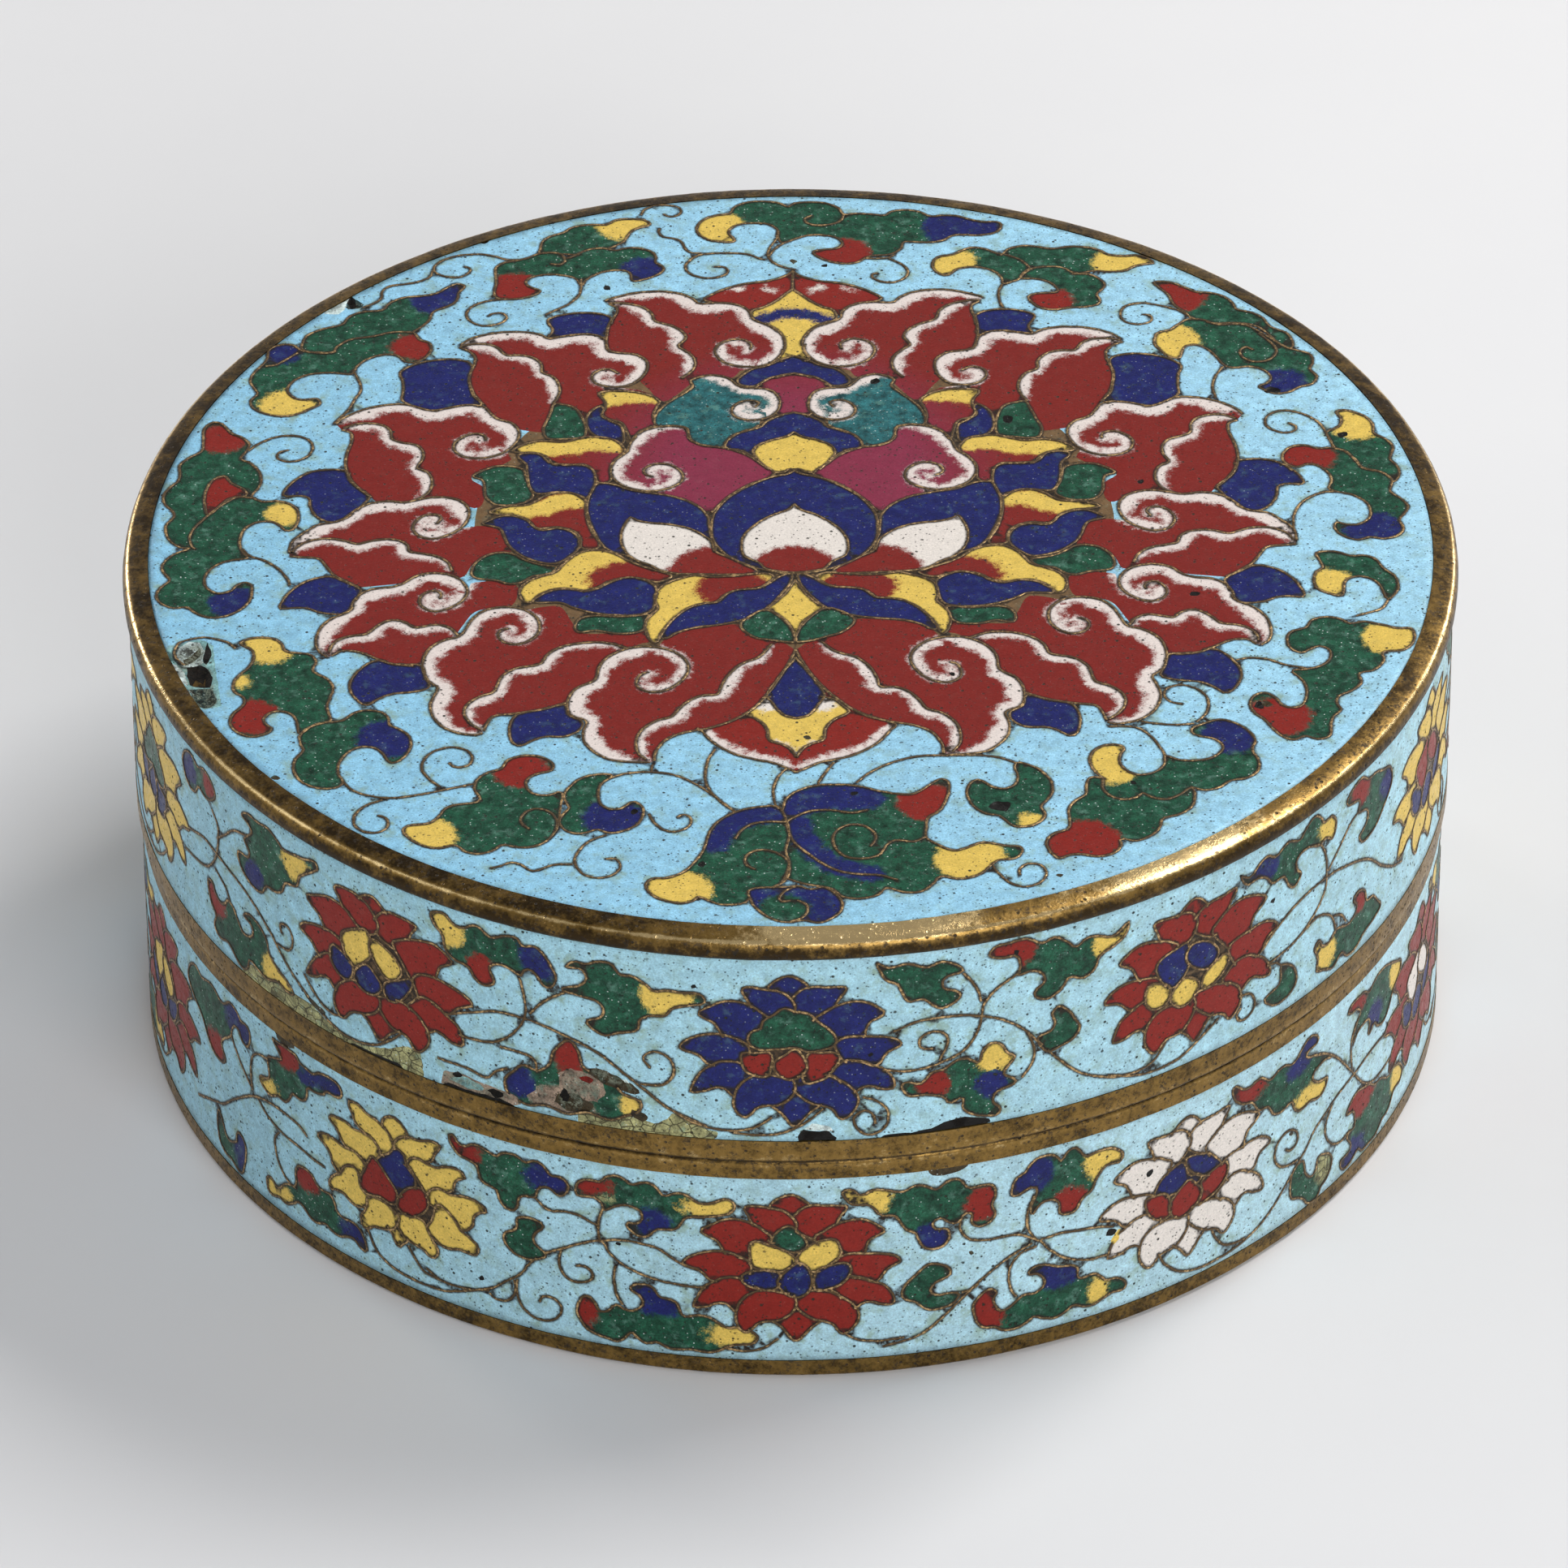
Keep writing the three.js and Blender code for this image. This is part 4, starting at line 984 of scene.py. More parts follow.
@one g -28.3,46.5 -28.3,47.6 -27.6,48.5 -26.4,48.9 -25.3,49.3 -24.2,50.1 -23,50.3 -22,50 -21.5,49.2
 -20.6,49.8 -19.4,50.8 -18,51 -16.8,50.6 -15.8,51 -14.6,51 -13.2,50.3 -12.8,49.2 -12.9,48.5 -12.1,47.6
 -12.3,46.6 -13.5,45.7 -15,45.1 -15.2,45.8 -15.3,46.6 -16,47.1 -17.4,47 -18.7,46.3 -19.6,45.3 -20,44.2
 -20.3,45.2 -21,46 -22.5,46.4 -24,46.3 -25.2,45.6 -25.3,44.7 -24.6,44 -23.9,43.6 -24.5,42.8 -26,42.2
 -27.8,42.2 -28.4,43.2 -28.2,45 ; t b -14,47,2.4 ; t r -26.4,44.2,2.6
 ; w -23,48.3 -22.2,48.1 -21.6,48.7 -21.8,49.6 ; w -20,45.5 -20,44 -20.3,42.6 -21.3,41.1 -22.3,40.3
 -23.4,39.4 ; w -27.3,42.2 -29,41.8 -30.4,41 -31,39.6 -30.5,38.2 -29.3,37.5 -27.9,37.8 -27.1,38.8
 -27.5,39.7 -28.5,39.6 -28.9,39.2 ; w -26,49 -27.3,49.1 -28.5,49.7 -30,50.1 -32,49.8 -33.6,48.9
 -34.3,47.5 -33.6,46.4 -32,46 -31,46.6 -30.7,47.5 -31.3,47.9 ; w -34.4,47.2 -34.6,46.2 -35.5,45.4
 -37,44.9 -38.5,44.5 -39.2,43.5 -39.2,42.4 -40,41.5 -41,40.8
@one g -41.2,40 -40.3,40.2 -39,40.4 -38.7,41.2 -38,42 -36.8,42.6 -35.4,42.8 -34,43.2 -33,44.2 -32,44.9
 -31.2,44.4 -31.8,43.4 -31.9,42 -32.6,41.1 -34.2,40 -34.5,38.6 -35.3,37.3 -36,36.6 -36.5,36 -40,35
 -44,33 -46.5,33.5 -46.6,34.6 -46.2,36 -45,37 -43.8,37.5 -42.8,38 -42.3,39.2 ; t b -33.6,42.3,3
@one g -36,36.4 -35.4,35.2 -34.4,34.6 -34.2,33.4 -34.7,32.2 -35.8,31.2 -36.8,31.4 -37,32 -37.8,32.6
 -39,32.6 -40.4,31.8 -41.4,30.4 -41.6,29.3 -42.6,29.4 -44,29.6 -45.8,29.3 -47.2,28.3 -47.8,27 -47.6,26
 -46.8,25.1 -45.8,25 -44.9,25.2 -44.6,24.2 -45.2,23.7 -46.6,22.6 -48,22.2 -49.5,22.5 -50.8,23.4
 -51.3,24.8 -50.6,26 -51,27 -51.4,28.3 -51,29.8 -50.4,30.8 -49.9,32 -49.8,33.6 -48.6,34.5 -47.4,34.3
 -46.5,33.3 -45,33.1 -43.6,33 -43.3,34 -42,35.3 -40,35.8 -38,36.5 ; t b -48.6,33,2 ; t r -36,34,2.2
 ; t y -47.8,24,2.7 ; w -50,30.8 -49,31 -48,32 -47,33 ; w -41.6,30 -41,28 -40.8,26.5 -41.3,25 -42,23
 -43.3,20.8
@one g -53.6,20.6 -54,21.1 -54.8,21.2 -55.5,20 -55.5,18 -55.6,16.4 -56.8,15.2 -57.6,14 -57.5,12.6
 -57.6,11.4 -58.3,10.4 -58.9,9 -58.8,7.6 -58,6.4 -57.8,5.4 -58.4,4.3 -58.5,3 -58,1.4 -57,0.3 -56,0.2
 -57.4,-0.6 -58.4,-2 -58.6,-3.4 -57.8,-5 -58.5,-6 -59,-7.4 -58.5,-8.8 -57.3,-9.6 -56,-9.4 -55.2,-10.4
 -54,-11.1 -52.6,-11 -51.2,-10 -50.3,-8.6 -50.1,-7 -50.2,-5.8 -50.9,-5.4 -51.6,-6 -52.2,-6.9 -53.4,-7.2
 -54.3,-6.3 -54.6,-5 -54.2,-3.5 -53.2,-2.3 -51.8,-1.7 -50.6,-1.5 -51.2,-0.5 -51.5,1 -51.3,2.8 -50.8,3.8
 -49.8,4.5 -48.6,4.5 -47.8,3.8 -47.3,3 -46.6,3.2 -46.1,4.6 -46.2,6.2 -46.9,7.4 -48.2,8 -49.4,7.8
 -50.4,8.4 -50.6,9 -50,10.2 -49.8,11.6 -50.2,13.2 -51,14.4 -51.9,15 -51.4,16.2 -51.1,17.4 -51.8,18.6
 -52.8,19.3 ; t r -53.8,18.4,2.4 ; t y -47.3,5.8,2 ; t b -51.6,-8.8,2.5
@one r -53.3,12.2 -52.6,11 -51.4,9.9 -51.1,8.9 -52.6,8.5 -53.6,7.2 -54.6,5.7 -55,7.5 -55,9.5 -54.4,11.4
 ; w -50.4,8.5 -51.8,8.7 -52.6,8.1 -53.8,6.8 -55,5 -55.8,3.6 -56.2,2 -56,0.6 -55.6,0.1
 ; w -51.2,16.4 -50.4,17.4 -48.8,18.6 -47,18.9 -45.6,18.2 -45.1,16.8 -45.6,15.3 -47,14.5 -48.3,15
 -48.3,16 -47.4,16.5 ; w -51.2,0 -50.4,-1.2 -49.2,-1.8 -47.8,-3.2 -46.9,-4.8 -46.6,-6
@one g -51,-15.3 -50.2,-14.6 -49,-14.4 -47.8,-14.6 -47,-15.5 -46.7,-16.6 -45.5,-16.9 -44.3,-17.2
 -43.8,-18.4 -44.1,-19.6 -43.5,-20.4 -42.6,-21.2 -42.1,-22.6 -42.3,-24 -42.6,-25.5 -42.3,-27 -42.2,-27.8
 -43.6,-28.3 -44.6,-29.4 -45,-30 -45.2,-28.6 -45.6,-27 -46.6,-26.2 -47.6,-26.3 -48.3,-27.2 -48.2,-28.2
 -47.5,-28.9 -48,-29.7 -49.3,-30.2 -50.6,-29.6 -51.4,-28.2 -51.2,-26.6 -50.3,-25.2 -50.3,-24 -51.2,-23
 -51.3,-21.5 -50.7,-20.2 -50,-19.2 -49.6,-17.8 -49.8,-16.4 -50.4,-15.9 ; t y -48.5,-15.8,2.8
 ; t y -50.6,-21.5,1 ; t r -49.6,-27,2.8
@one g -45,-30.2 -44.4,-29 -43.2,-28.2 -41.8,-27.9 -41,-27.6 -40.2,-26.6 -39,-26.1 -37.6,-26.4
 -36.9,-27.4 -36.8,-28.5 -35.8,-29.2 -34.9,-30.4 -34.8,-32 -35.4,-33.6 -36.4,-34.5 -37,-33.8 -37.3,-32.9
 -38.2,-32 -39.4,-31.9 -40.5,-32.8 -41.2,-34.2 -41.3,-36 -40.8,-37.4 -41.4,-38.2 -42.4,-38.4 -43.8,-38
 -44.8,-37 -45.4,-35.4 -45.3,-33.8 -44.6,-32.4 -44.9,-31.2 ; t b -36.8,-30.6,3
 ; w -40.8,-37.4 -40,-38.6 -38.5,-39.5 -36.5,-39.9 -34.5,-39.6 -32.2,-38.9 -30.5,-38.3 -28.9,-37.8
 ; w -32,-38.2 -33,-37 -33.7,-35.4 -33.5,-33.8 -32.6,-32.6 -31,-32 -29.6,-32.6 -29.1,-33.8 -29.5,-34.9
 -30.6,-35.2 -31.2,-34.5 ; w -37.2,-40.2 -38.6,-41 -39.6,-42.4 -39.6,-44 -38.7,-45.1 -37.4,-45.2
 -36.6,-44.3 -36.8,-43 -37.5,-42.6
"""

# Flowers of the walls. Petals are given for the right half, from the flower's middle, back ones first.
# An "out" petal is drawn on the left too. "z" stands for the flower's own colour.
POINTED = """
@mid z -1.8,-6.9 -1.2,-7.3 -.5,-8.1 .1,-8.8 .7,-8.3 1.2,-7.5 2,-6.8 2.4,-6.7 1.6,-6.4 .8,-5.7
 .4,-4.7 0,-4.5
 -.5,-5.5 -1.4,-6.6
@mid z -1.9,6.7 -1.3,7.7 -.3,8.2 .6,7.7 1.3,6.8 .9,6.1 .5,5.4 0,4.6 -.6,5.6
@out z 0.1,5.2 .8,6.3 1.6,6.8 2.8,6.9 4.6,6.8 4.1,5.7 3.6,4.5 3,3.7 2.4,3.1 1.4,3.4 .4,4.1
@out z 2.6,3.3 3.2,4 4.2,4.7 5.6,5 6.8,4.9 7.8,4.4 8.5,3.8 7.8,3.2 7.2,2.8 6.8,1.9 6.5,1.1 5.2,.9
 4.2,.5 3.6,1.5
@out z 4.6,.1 5.4,.8 6.6,1 7.8,1 9,.7 9.8,.2 10.2,-.4 9.5,-.7 8.8,-1 8.4,-1.5 8.1,-2 7.5,-2.2
 7,-1.9 6,-1.7
 5.2,-1.9 4.8,-.9
@out z 5.1,-2 5.8,-1.8 6.8,-2 7.6,-2.6 8.4,-3.2 9,-4.2 9.3,-5.3 8.8,-5.4 8,-5.2 7.4,-4.8 6.6,-4.7 6.1,-5.2
 5.4,-5.5 4.6,-4.1 3.8,-3.3 4.4,-2.7
@out z .5,-3.8 1.6,-3.6 2.8,-3.5 3.8,-3.8 4.8,-4.5 5.4,-5.5 5.5,-6.7 5,-7.7 4.4,-8.1 4,-7.8
 3.6,-7.2 3,-6.9
 2,-6.7 1,-5.9 .4,-4.9
"""
HOOKED = """
@mid z -1.1,-5.7 -.5,-6.3 -.1,-7.1 .3,-7.3 .6,-6.7 1.1,-5.9 .6,-4.9 .2,-3.9 -.2,-4.7
@mid z -1.2,6.8 -1,7.7 -.4,8.4 .4,8.6 1.2,7.9 1.6,7 .8,6.5 .4,5.5 0,4.9 -.4,5.9
@out z .4,4.8 .8,5.9 1.8,6.6 3.2,6.8 4.2,7.4 5.2,7.4 5.1,6.7 4.7,6.1 4.5,5.3 3.8,4.8 2.6,3.9 2,3.3 1,3.7
@out z 2.2,3.3 2.6,4.1 3.4,4.5 5,4.3 6,4.7 7.4,4.7 7.9,4.1 7.2,3.7 6.8,3.1 6.5,2.3 5.6,1.8 4.4,1.5
 3.8,1.1 3,2.1
@out z 4.2,-.1 4.6,1.1 5.6,1.6 6.8,1.4 7.6,1.8 9,1.9 10,1.1 9.2,.7 8.6,.1 8.4,-.9 7.6,-1.8 6.8,-1.9
 5.8,-.9
@out z 5.2,-.6 6,-.7 6.8,-1.3 7.2,-2.1 8,-2.6 8.8,-3.5 8.6,-4.4 7.8,-4.3 7,-4.3 6,-4.8 5,-4.6
 4.2,-3.9 3.8,-3.3
 4.4,-2.5
@out z 3.4,-3.3 3.6,-4.1 4,-4.9 4.5,-5.7 4.2,-6.7 3.6,-6.8 3,-6.3 2,-6.1 1,-5.6 .4,-4.7 .1,-3.7
 1.2,-3.1 2.4,-3
"""
# Hearts of the flowers, from the middle. "u" stands for the upper colour and "l" for the lower one.
HEART_TREFOIL = """
@one u -4.4,.8 -4,1.8 -3,2.1 -2.8,3 -1.8,3.7 -.9,4.7 .2,4.4 1.6,4 2.4,2.9 3.3,2 3.9,.8 3.3,-.2
 1.4,-.4 0,.2
 -1.5,-.2 -3.5,-.3
@one l -5,-.6 -3.5,-.7 -2.2,-.7 -2,-2.2 -2.3,-3.4 -3.5,-3.4 -4.6,-2.4
@one l 1.2,-.6 2.6,-.7 4.2,-.9 4.1,-2.2 3.2,-3.6 2,-4 1,-3.8
@one l 0,0 1,-1.2 1.3,-2.4 .6,-3.3 -.6,-3.6 -1.6,-2.8 -1.8,-1.6 -1,-.8
"""
HEART_PAIR = """
@one u -4.7,1 -4.4,2.3 -2.5,3.2 -1,3.6 -.6,2 -1,.4 -2.7,-1.4 -4,-.7
@one u -.4,3 1.4,2.6 2.6,1.4 2.8,.1 1.4,-1 -.4,.2 -1.1,1.6
@one l -6.1,-.4 -5.4,0 -3.6,-.8 -3,-2 -3.6,-3.3 -5,-3.2 -6,-2
@one l 1,-1.6 2.4,-.6 3.9,0 4.2,-1 3.4,-2.5 2,-3.4 1,-3.2
@one l -1.4,-.6 .2,-1.6 .6,-2.6 -.4,-3.8 -1.8,-4 -2.9,-3 -2.7,-1.8
"""
HEART_WIDE = """
@one u -4.4,.2 -3.6,1.6 -2.4,2.6 -.9,3.3 -.3,2.4 .1,1 1.2,.6 1.4,-.2 0,-.6 -2,-.4 -3.6,-.6
@one u -.3,3.4 1.4,3 3,2.2 4.2,.6 3.8,-.3 2.2,-.2 1.2,.3 .2,1.6
@one l -5.4,.2 -4.4,.1 -3,-.1 -2.4,-1.4 -2.2,-2.8 -3.4,-3.2 -4.8,-2.2 -5.4,-1
@one l 1.4,-.6 2.8,.1 4.6,.7 5,-.2 4.6,-1.6 3.4,-2.8 1.8,-3.4 1.2,-3.4 1.6,-2
@one l -.2,.6 .8,-.6 1.6,-1.6 1.4,-2.8 .2,-3.6 -1.4,-3.6 -2.4,-2.4 -2.2,-1
"""
HEART_DIAMOND = """
@one g -2.2,2.6 -.5,4.8 1.3,2.6 -.2,1.6
@one u -4.4,1 -4.2,2.4 -3.4,2.7 -2.4,2.2 -1,1.8 0,.8 -.6,-.2 -1.6,-.9 -3.5,-.7 -4.4,0
@one u 0,.8 .8,2 2,2.6 3.6,2.9 4.2,2.4 4.3,1 3.4,0 2,-.9 .8,-.3
@one l -5,-1.2 -3.5,-.8 -1.6,-1 -1.4,-2.5 -2.2,-3.2 -3.6,-3 -4.8,-2.2
@one l 2,-.8 3.6,-.2 4.9,0 5.2,-1.2 4.4,-2.6 3,-3.2 2,-3
@one l .2,.4 1.2,-.5 1.7,-2 1.4,-3.2 .2,-3.8 -1,-3.2 -1.6,-2 -.8,-.5
"""
HEART_CROSS = """
@one u -2.6,1.6 -1.8,2.8 -.6,3.6 .2,4.8 1.2,4.6 1.6,3.2 2.4,2.2 2.2,.6 1.2,-.2 .2,-1.2 -1.2,0 -2.4,.6
@one l -2.8,2.4 -3.6,1.6 -4.2,.2 -4.6,-1.2 -4.2,-2.4 -3,-2.6 -2,-2.4 -.8,-2.6 .2,-2.2 .2,-.8 -1,.4 -2,1.6
@one l .2,-2.2 .8,-2.8 2.2,-2.8 3.6,-1.8 4,-.6 3.6,.6 2.8,1.2 1.4,.6 .6,-.6
"""
# Flowers: place along the wall, petals, their colour, heart, upper and lower colours
COVER_FLOWERS = [(-79, POINTED, "y", HEART_TREFOIL, "g", "b"),
                 (-40.6, POINTED, "r", HEART_PAIR, "y", "b"),
                 (0, POINTED, "b", HEART_TREFOIL, "g", "r"), (39, POINTED, "r", HEART_PAIR, "b", "y"),
                 (79, POINTED, "y", HEART_PAIR, "r", "b"), (117, POINTED, "b", HEART_TREFOIL, "g", "r"),
                 (156, POINTED, "r", HEART_PAIR, "b", "y"), (194.8, POINTED, "y", HEART_PAIR, "r", "b"),
                 (-117, POINTED, "b", HEART_TREFOIL, "g", "r"), (-156, POINTED, "r", HEART_PAIR,
 "y", "b")]
BOX_FLOWERS = [(-79, POINTED, "r", HEART_PAIR, "y", "b"), (-39.3, HOOKED, "y", HEART_CROSS, "b", "r"),
               (0, POINTED, "r", HEART_DIAMOND, "y", "b"), (38.8, POINTED, "w", HEART_WIDE, "b", "r"),
               (79, POINTED, "r", HEART_PAIR, "w", "b"), (116.2, HOOKED, "y", HEART_CROSS, "b", "r"),
               (155, POINTED, "r", HEART_DIAMOND, "y", "b"), (193.6, POINTED, "w", HEART_WIDE, "b", "r"),
               (-116.2, HOOKED, "y", HEART_CROSS, "b", "r"), (-155, POINTED, "w", HEART_WIDE, "b", "r")]

# Leaves and vines of the walls, right and left of the front: place round from the front, and height
COVER_RIGHT = """
@one g 7.5,47.2 8.6,46.6 10.4,46.8 12,46.2 13.4,46.6 14.8,46 15.4,45.2 14.4,45 13.6,44.6 13.6,43.6
 14.6,43.2
 15.2,42.6 14.6,41.9 13.4,41.4 12.6,41.9 11.6,42.7 10.4,42.6 9.8,43.6 9.4,44.6 8.4,45.2 7.8,46.2
@one g 17.8,46.4 18.4,47.3 19.6,47.4 21.4,47.5 22.8,46.6 24.2,46.9 25.4,46 26.2,45.2 27.2,45.8 28.4,45.8
 29.6,45.2 30.6,45.5 31.6,46.2 31.2,44.8 30,44 28.6,43.4 28.2,42.2 27,41.5 25.6,42 24.8,40.9 23.4,40.2
 22.2,40.8 22.4,41.6 23.2,42.2 22.9,43.2 21.8,43.8 20.6,43.6 20.8,44.6 20.4,45.8 19,45.9 ; t r 20,46.6,2.4
 ; t y 30,44.8,2.1
@one g 23.9,38.4 24.6,39.1 25.4,38.4 26.2,37.2 26.7,36 26,35 24.8,34.5 23.6,34.2 22.6,35.4 22.6,36.2
 23.8,36.5 24.2,37.4
@one g 9.7,33.2 10.4,33.6 11.5,33.2 12.6,34.4 13.6,34.5 14.6,35.2 15.8,35.4 16.9,34.6 17.2,35.8 18,36.6
 19,36.3 19.6,35.2 20.4,34.6 19.6,33.6 19.2,32.8 20.4,32 20.2,31.4 18.6,31 18.2,30 19,29 18.4,28.3
 16.4,28.9 15.4,29.8 15.4,31 14.2,30.6 13.6,31.4 12,31.9 10.4,32 ; t r 12.6,33,1.7 ; t y 18.5,35,1.9
 ; t b 18.2,32,1.7
@one g 44.3,45.8 45.4,45.2 46.8,46.2 47.8,46.4 48.8,45.8 50.4,46.6 52,45.9 53,46.8 54.2,47.4 55.2,46.7
 55.6,45.8 56.8,46 57.6,44.8 57,43.2 56,44 55,43.6 54,44.2 52.6,44.4 51.6,43.8 51.8,42.6 52.4,42 51.4,41
 50.6,41.6 49.8,43 48.4,43 47.6,44 46.4,44.6 45,44.5 ; t b 47.4,45.4,1.9 ; t y 56.6,44.8,1.7
@one g 54.6,32.2 55.4,32.8 55.8,31.8 57,31.6 58,32.4 60,31.8 61,32 61.6,33 60.8,34 61.8,34.5 63,33.8
 63.4,32.4 64.6,32.2 65.6,31 66.4,30 65,29.4 63,29 61.6,28.2 60,28.2 59,29.2 57.6,28.3 56,29 55,29.4
 55.2,30.6 ; t y 56,30.6,2 ; t r 62,33.3,1.5
@one g 49.8,33 51,32.4 51.8,31.4 52,30 51,29 49.4,28.8 48.2,29.4 47.6,30.2 48.6,30.6 49.6,31 49.8,32
@one g 59.4,46.3 60.4,47 62,47.2 63,46.4 64.6,46.2 66,45.6 67.5,45 68,43 66,41 65,40.2 63.4,39.7 62.2,39.8
 61.6,40.8 62.6,41.3 63.2,42.2 62.8,43.2 61.4,43.6 61.6,44.8 60.4,45.3 59.4,45.6 ; t r 61.8,45.8,1.8
 ; t b 67,43.5,1.6
"""
COVER_LEFT = """
@one g -34.4,46.6 -33,47.1 -32,46.2 -31,46.2 -29.6,46.9 -28.2,46 -27,46.6 -25.6,46.8 -25,46 -23.8,46.3
 -22.9,45.6 -22.2,44.4 -21.8,43.4 -22.2,42.2 -23,42.1 -23.6,43 -24.3,43.6 -25,43.2 -25.2,42.5 -26,43
 -27.4,43.3 -28.4,42.6 -28,41.6 -28,40.9 -29,40.4 -30,41 -30.6,42 -32,42.3 -33,43.2 -33.2,44.6 -34,45.4
 ; t y -33,45.5,2.2 ; t b -23.2,45,2.3 ; t r -29.2,42,1.8
@one g -20.8,44.8 -20,45.6 -18.9,45.5 -18,46 -16.6,46.1 -15.8,45 -14.6,45 -13.4,44.3 -12.6,43.6 -11.6,43.9
 -10.2,43.8 -8.4,43.8 -8,42.8 -9.6,42.4 -11,41.9 -11.6,41 -13,40.8 -14,40.2 -14.2,39 -16,38.4 -17.2,37.9
 -18.4,38.4 -19,39.2 -17.8,39.7 -17.3,40.7 -18,41.6 -20,41.9 -21.4,42.2 -19.6,43 -18.9,44 -19.4,44.9
 ; t y -11.5,43.2,2.5
@one g -58.6,45.8 -57.6,46.5 -56,46.4 -54.6,46.6 -53.2,46 -52.4,45.4 -51,45.6 -49.6,45.8 -48.2,46.3
 -47.6,45.7 -48.6,44.8 -49.4,44.2 -50.2,43.4 -50.6,42.2 -52.2,41.7 -52.6,40.6 -53.6,39.9 -55,39.8
 -55.8,38.6 -57.4,38.6 -59,39.6 -59.6,41 -58.8,41.4 -57.8,41.4 -57.6,42.4 -58.4,43.2 -57.6,44 -57,44.8
 -57.6,45.4 ; t y -50.8,44.6,1.9 ; t b -57,40,1.6
@one g -65.4,34.4 -64.4,34.6 -64,33.8 -63,33.2 -62.2,33.6 -61.6,34.4 -60.6,34 -59.8,32.8 -59,32.1
 -57.8,32.4 -57.4,33.4 -58,34 -59,34.2 -58,34.9 -56.6,34.6 -55.4,33.6 -54.9,32 -53.6,31 -52.4,30.4
 -51.5,29.4 -52.6,29.2 -53.8,29.6 -55.4,29 -57,29.3 -58.2,29.6 -58.6,28.4 -59.6,27.9 -61,28.8 -62,29.4
 -63.4,29 -64.4,29.8 -64,31.2 -65,32.4 ; t r -64,33,1.9 ; t y -54,30.4,2.2
@one g -70,45 -69.4,46.4 -68,47 -66.6,46.4 -65.4,46.9 -64,46.4 -63.2,45.2 -64,44.2 -65.2,43.8 -66.6,44.2
 -67.4,43 -69,43.2 ; t b -68.8,45,1.8 ; t r -64.4,45.6,1.4
@one g -26.8,29 -27,30.6 -26.2,31.6 -25.2,32.6 -23.8,32.4 -22.6,33.4 -22.2,35 -20.8,36.6 -19.8,35.6
 -19.4,34 -18,33.2 -16.6,32.6 -15.6,31.6 -14,31 -14.2,29.8 -15.6,29 -17,28.4 -19,28.8 -21,28.2 -23,28.6
 -25,28.2 ; t r -20.7,34.7,1.5,2.2 ; t b -25.6,30.6,1.8 ; t y -14.8,30.4,1.3 ; t p -22,29.4,3.4,1.6
"""
COVER_VINES_RIGHT = """9,39.4 11,40.2 13.6,40.4 16.6,40 19.4,38.8 21.5,37 24,33.8 26.6,31 29.6,29.4
 32.4,28.9 34.4,29.4 35.8,31
; 8,35.2 10.5,34.8 13,35.2 15.6,36.4 16.8,38.4 17.2,40.2 17.4,41.2 18.6,42.6 20.8,44 ; 17.1,41.5
 16.6,43.2 15.4,45
; 13.2,35.6 14,37.4 13.6,38.6 12.4,38.9 11.4,38.2 11.6,37.2 12.6,37 ; 21.5,37 22.2,35 22,33.4 21,32
; 29.6,29.6 33,28.4 36,28.3 38,28.8 41.8,31 ; 6.2,32.3 7.6,31.7 8.5,30.4 8.3,28.8 7,28 5.8,28.6 5.4,30
 6.4,30.8 7.2,30.2 7.3,29.2 ; 47.2,36 48.8,37.4 52,38.9 56,39.4 60,38.6 63.6,37 66,34.8 68.6,33 71,32
; 47,34 51.4,34.6 54.4,36.2 56,38 56.2,39.6 56.2,41.2 55.4,43.4 54,44.2 ; 56.4,40 58,41.4 60,43.2
 61.2,43.7
; 52.8,35.1 55,35.6 57,34.6 57.8,33 57.8,32 ; 57.6,34.2 58.8,33.6 59.6,32.4 ; 47,34 48.8,33.8 49.8,33
; 44.3,32.3 45.8,31.8 46.4,30.4 45.6,29.4 44.5,29.4 44,30.3 44.6,30.8"""
COVER_VINES_LEFT = """-11,30.4 -9.4,29.4 -7,28.7 -4,28.9 -2,30.3 ; -5.5,28.4 -2,28.3 0.6,29.4 2.6,31.2
; -32.4,36 -30.2,37 -27.4,37.9 -24,37.8 -21,37 -18,35.8 -15.6,34 -13.6,32.4 -11.4,30.6 -8,29
; -33.8,34 -31,33.9 -28.4,34.2 -26.4,35.6 -25.2,37.4 -24.8,39 -25,40.6 -25.4,42.4
; -24.4,38.6 -23,40.4 -21,41.9 ; -27.5,34 -25,33.9 -24,33.4 -23.8,32.2 ; -34,30.4 -31,30.4 -29,30
 -28,31 -26.8,31.8
; -14,33 -12,33.2 -10.9,34.6 -11.2,36.2 -12.6,36.9 -13.7,36 -13.1,35
; -70,37.6 -66,38.8 -64,38.6 -61,38 -58,37 -55,35 -52.4,32.4 -50,30.6 -48,29.4 -45,28.3 -41.8,28.6
 -39.6,30 -38,31.6
; -70,35 -66,35.6 -64.2,37 -63.4,38.6 -63,40.4 -63,42 -64,43.2 ; -63.2,40.4 -61.6,41.8 -60,43.2 -57.8,43.9
; -63.8,36.6 -62,35.6 -61.2,34.4 ; -50,32.6 -48,30.6 -46,30 -44.6,31.2
; -53.8,34 -52,34.2 -51.4,35.6 -52,36.8 -53.2,36.6 -53,35.6"""

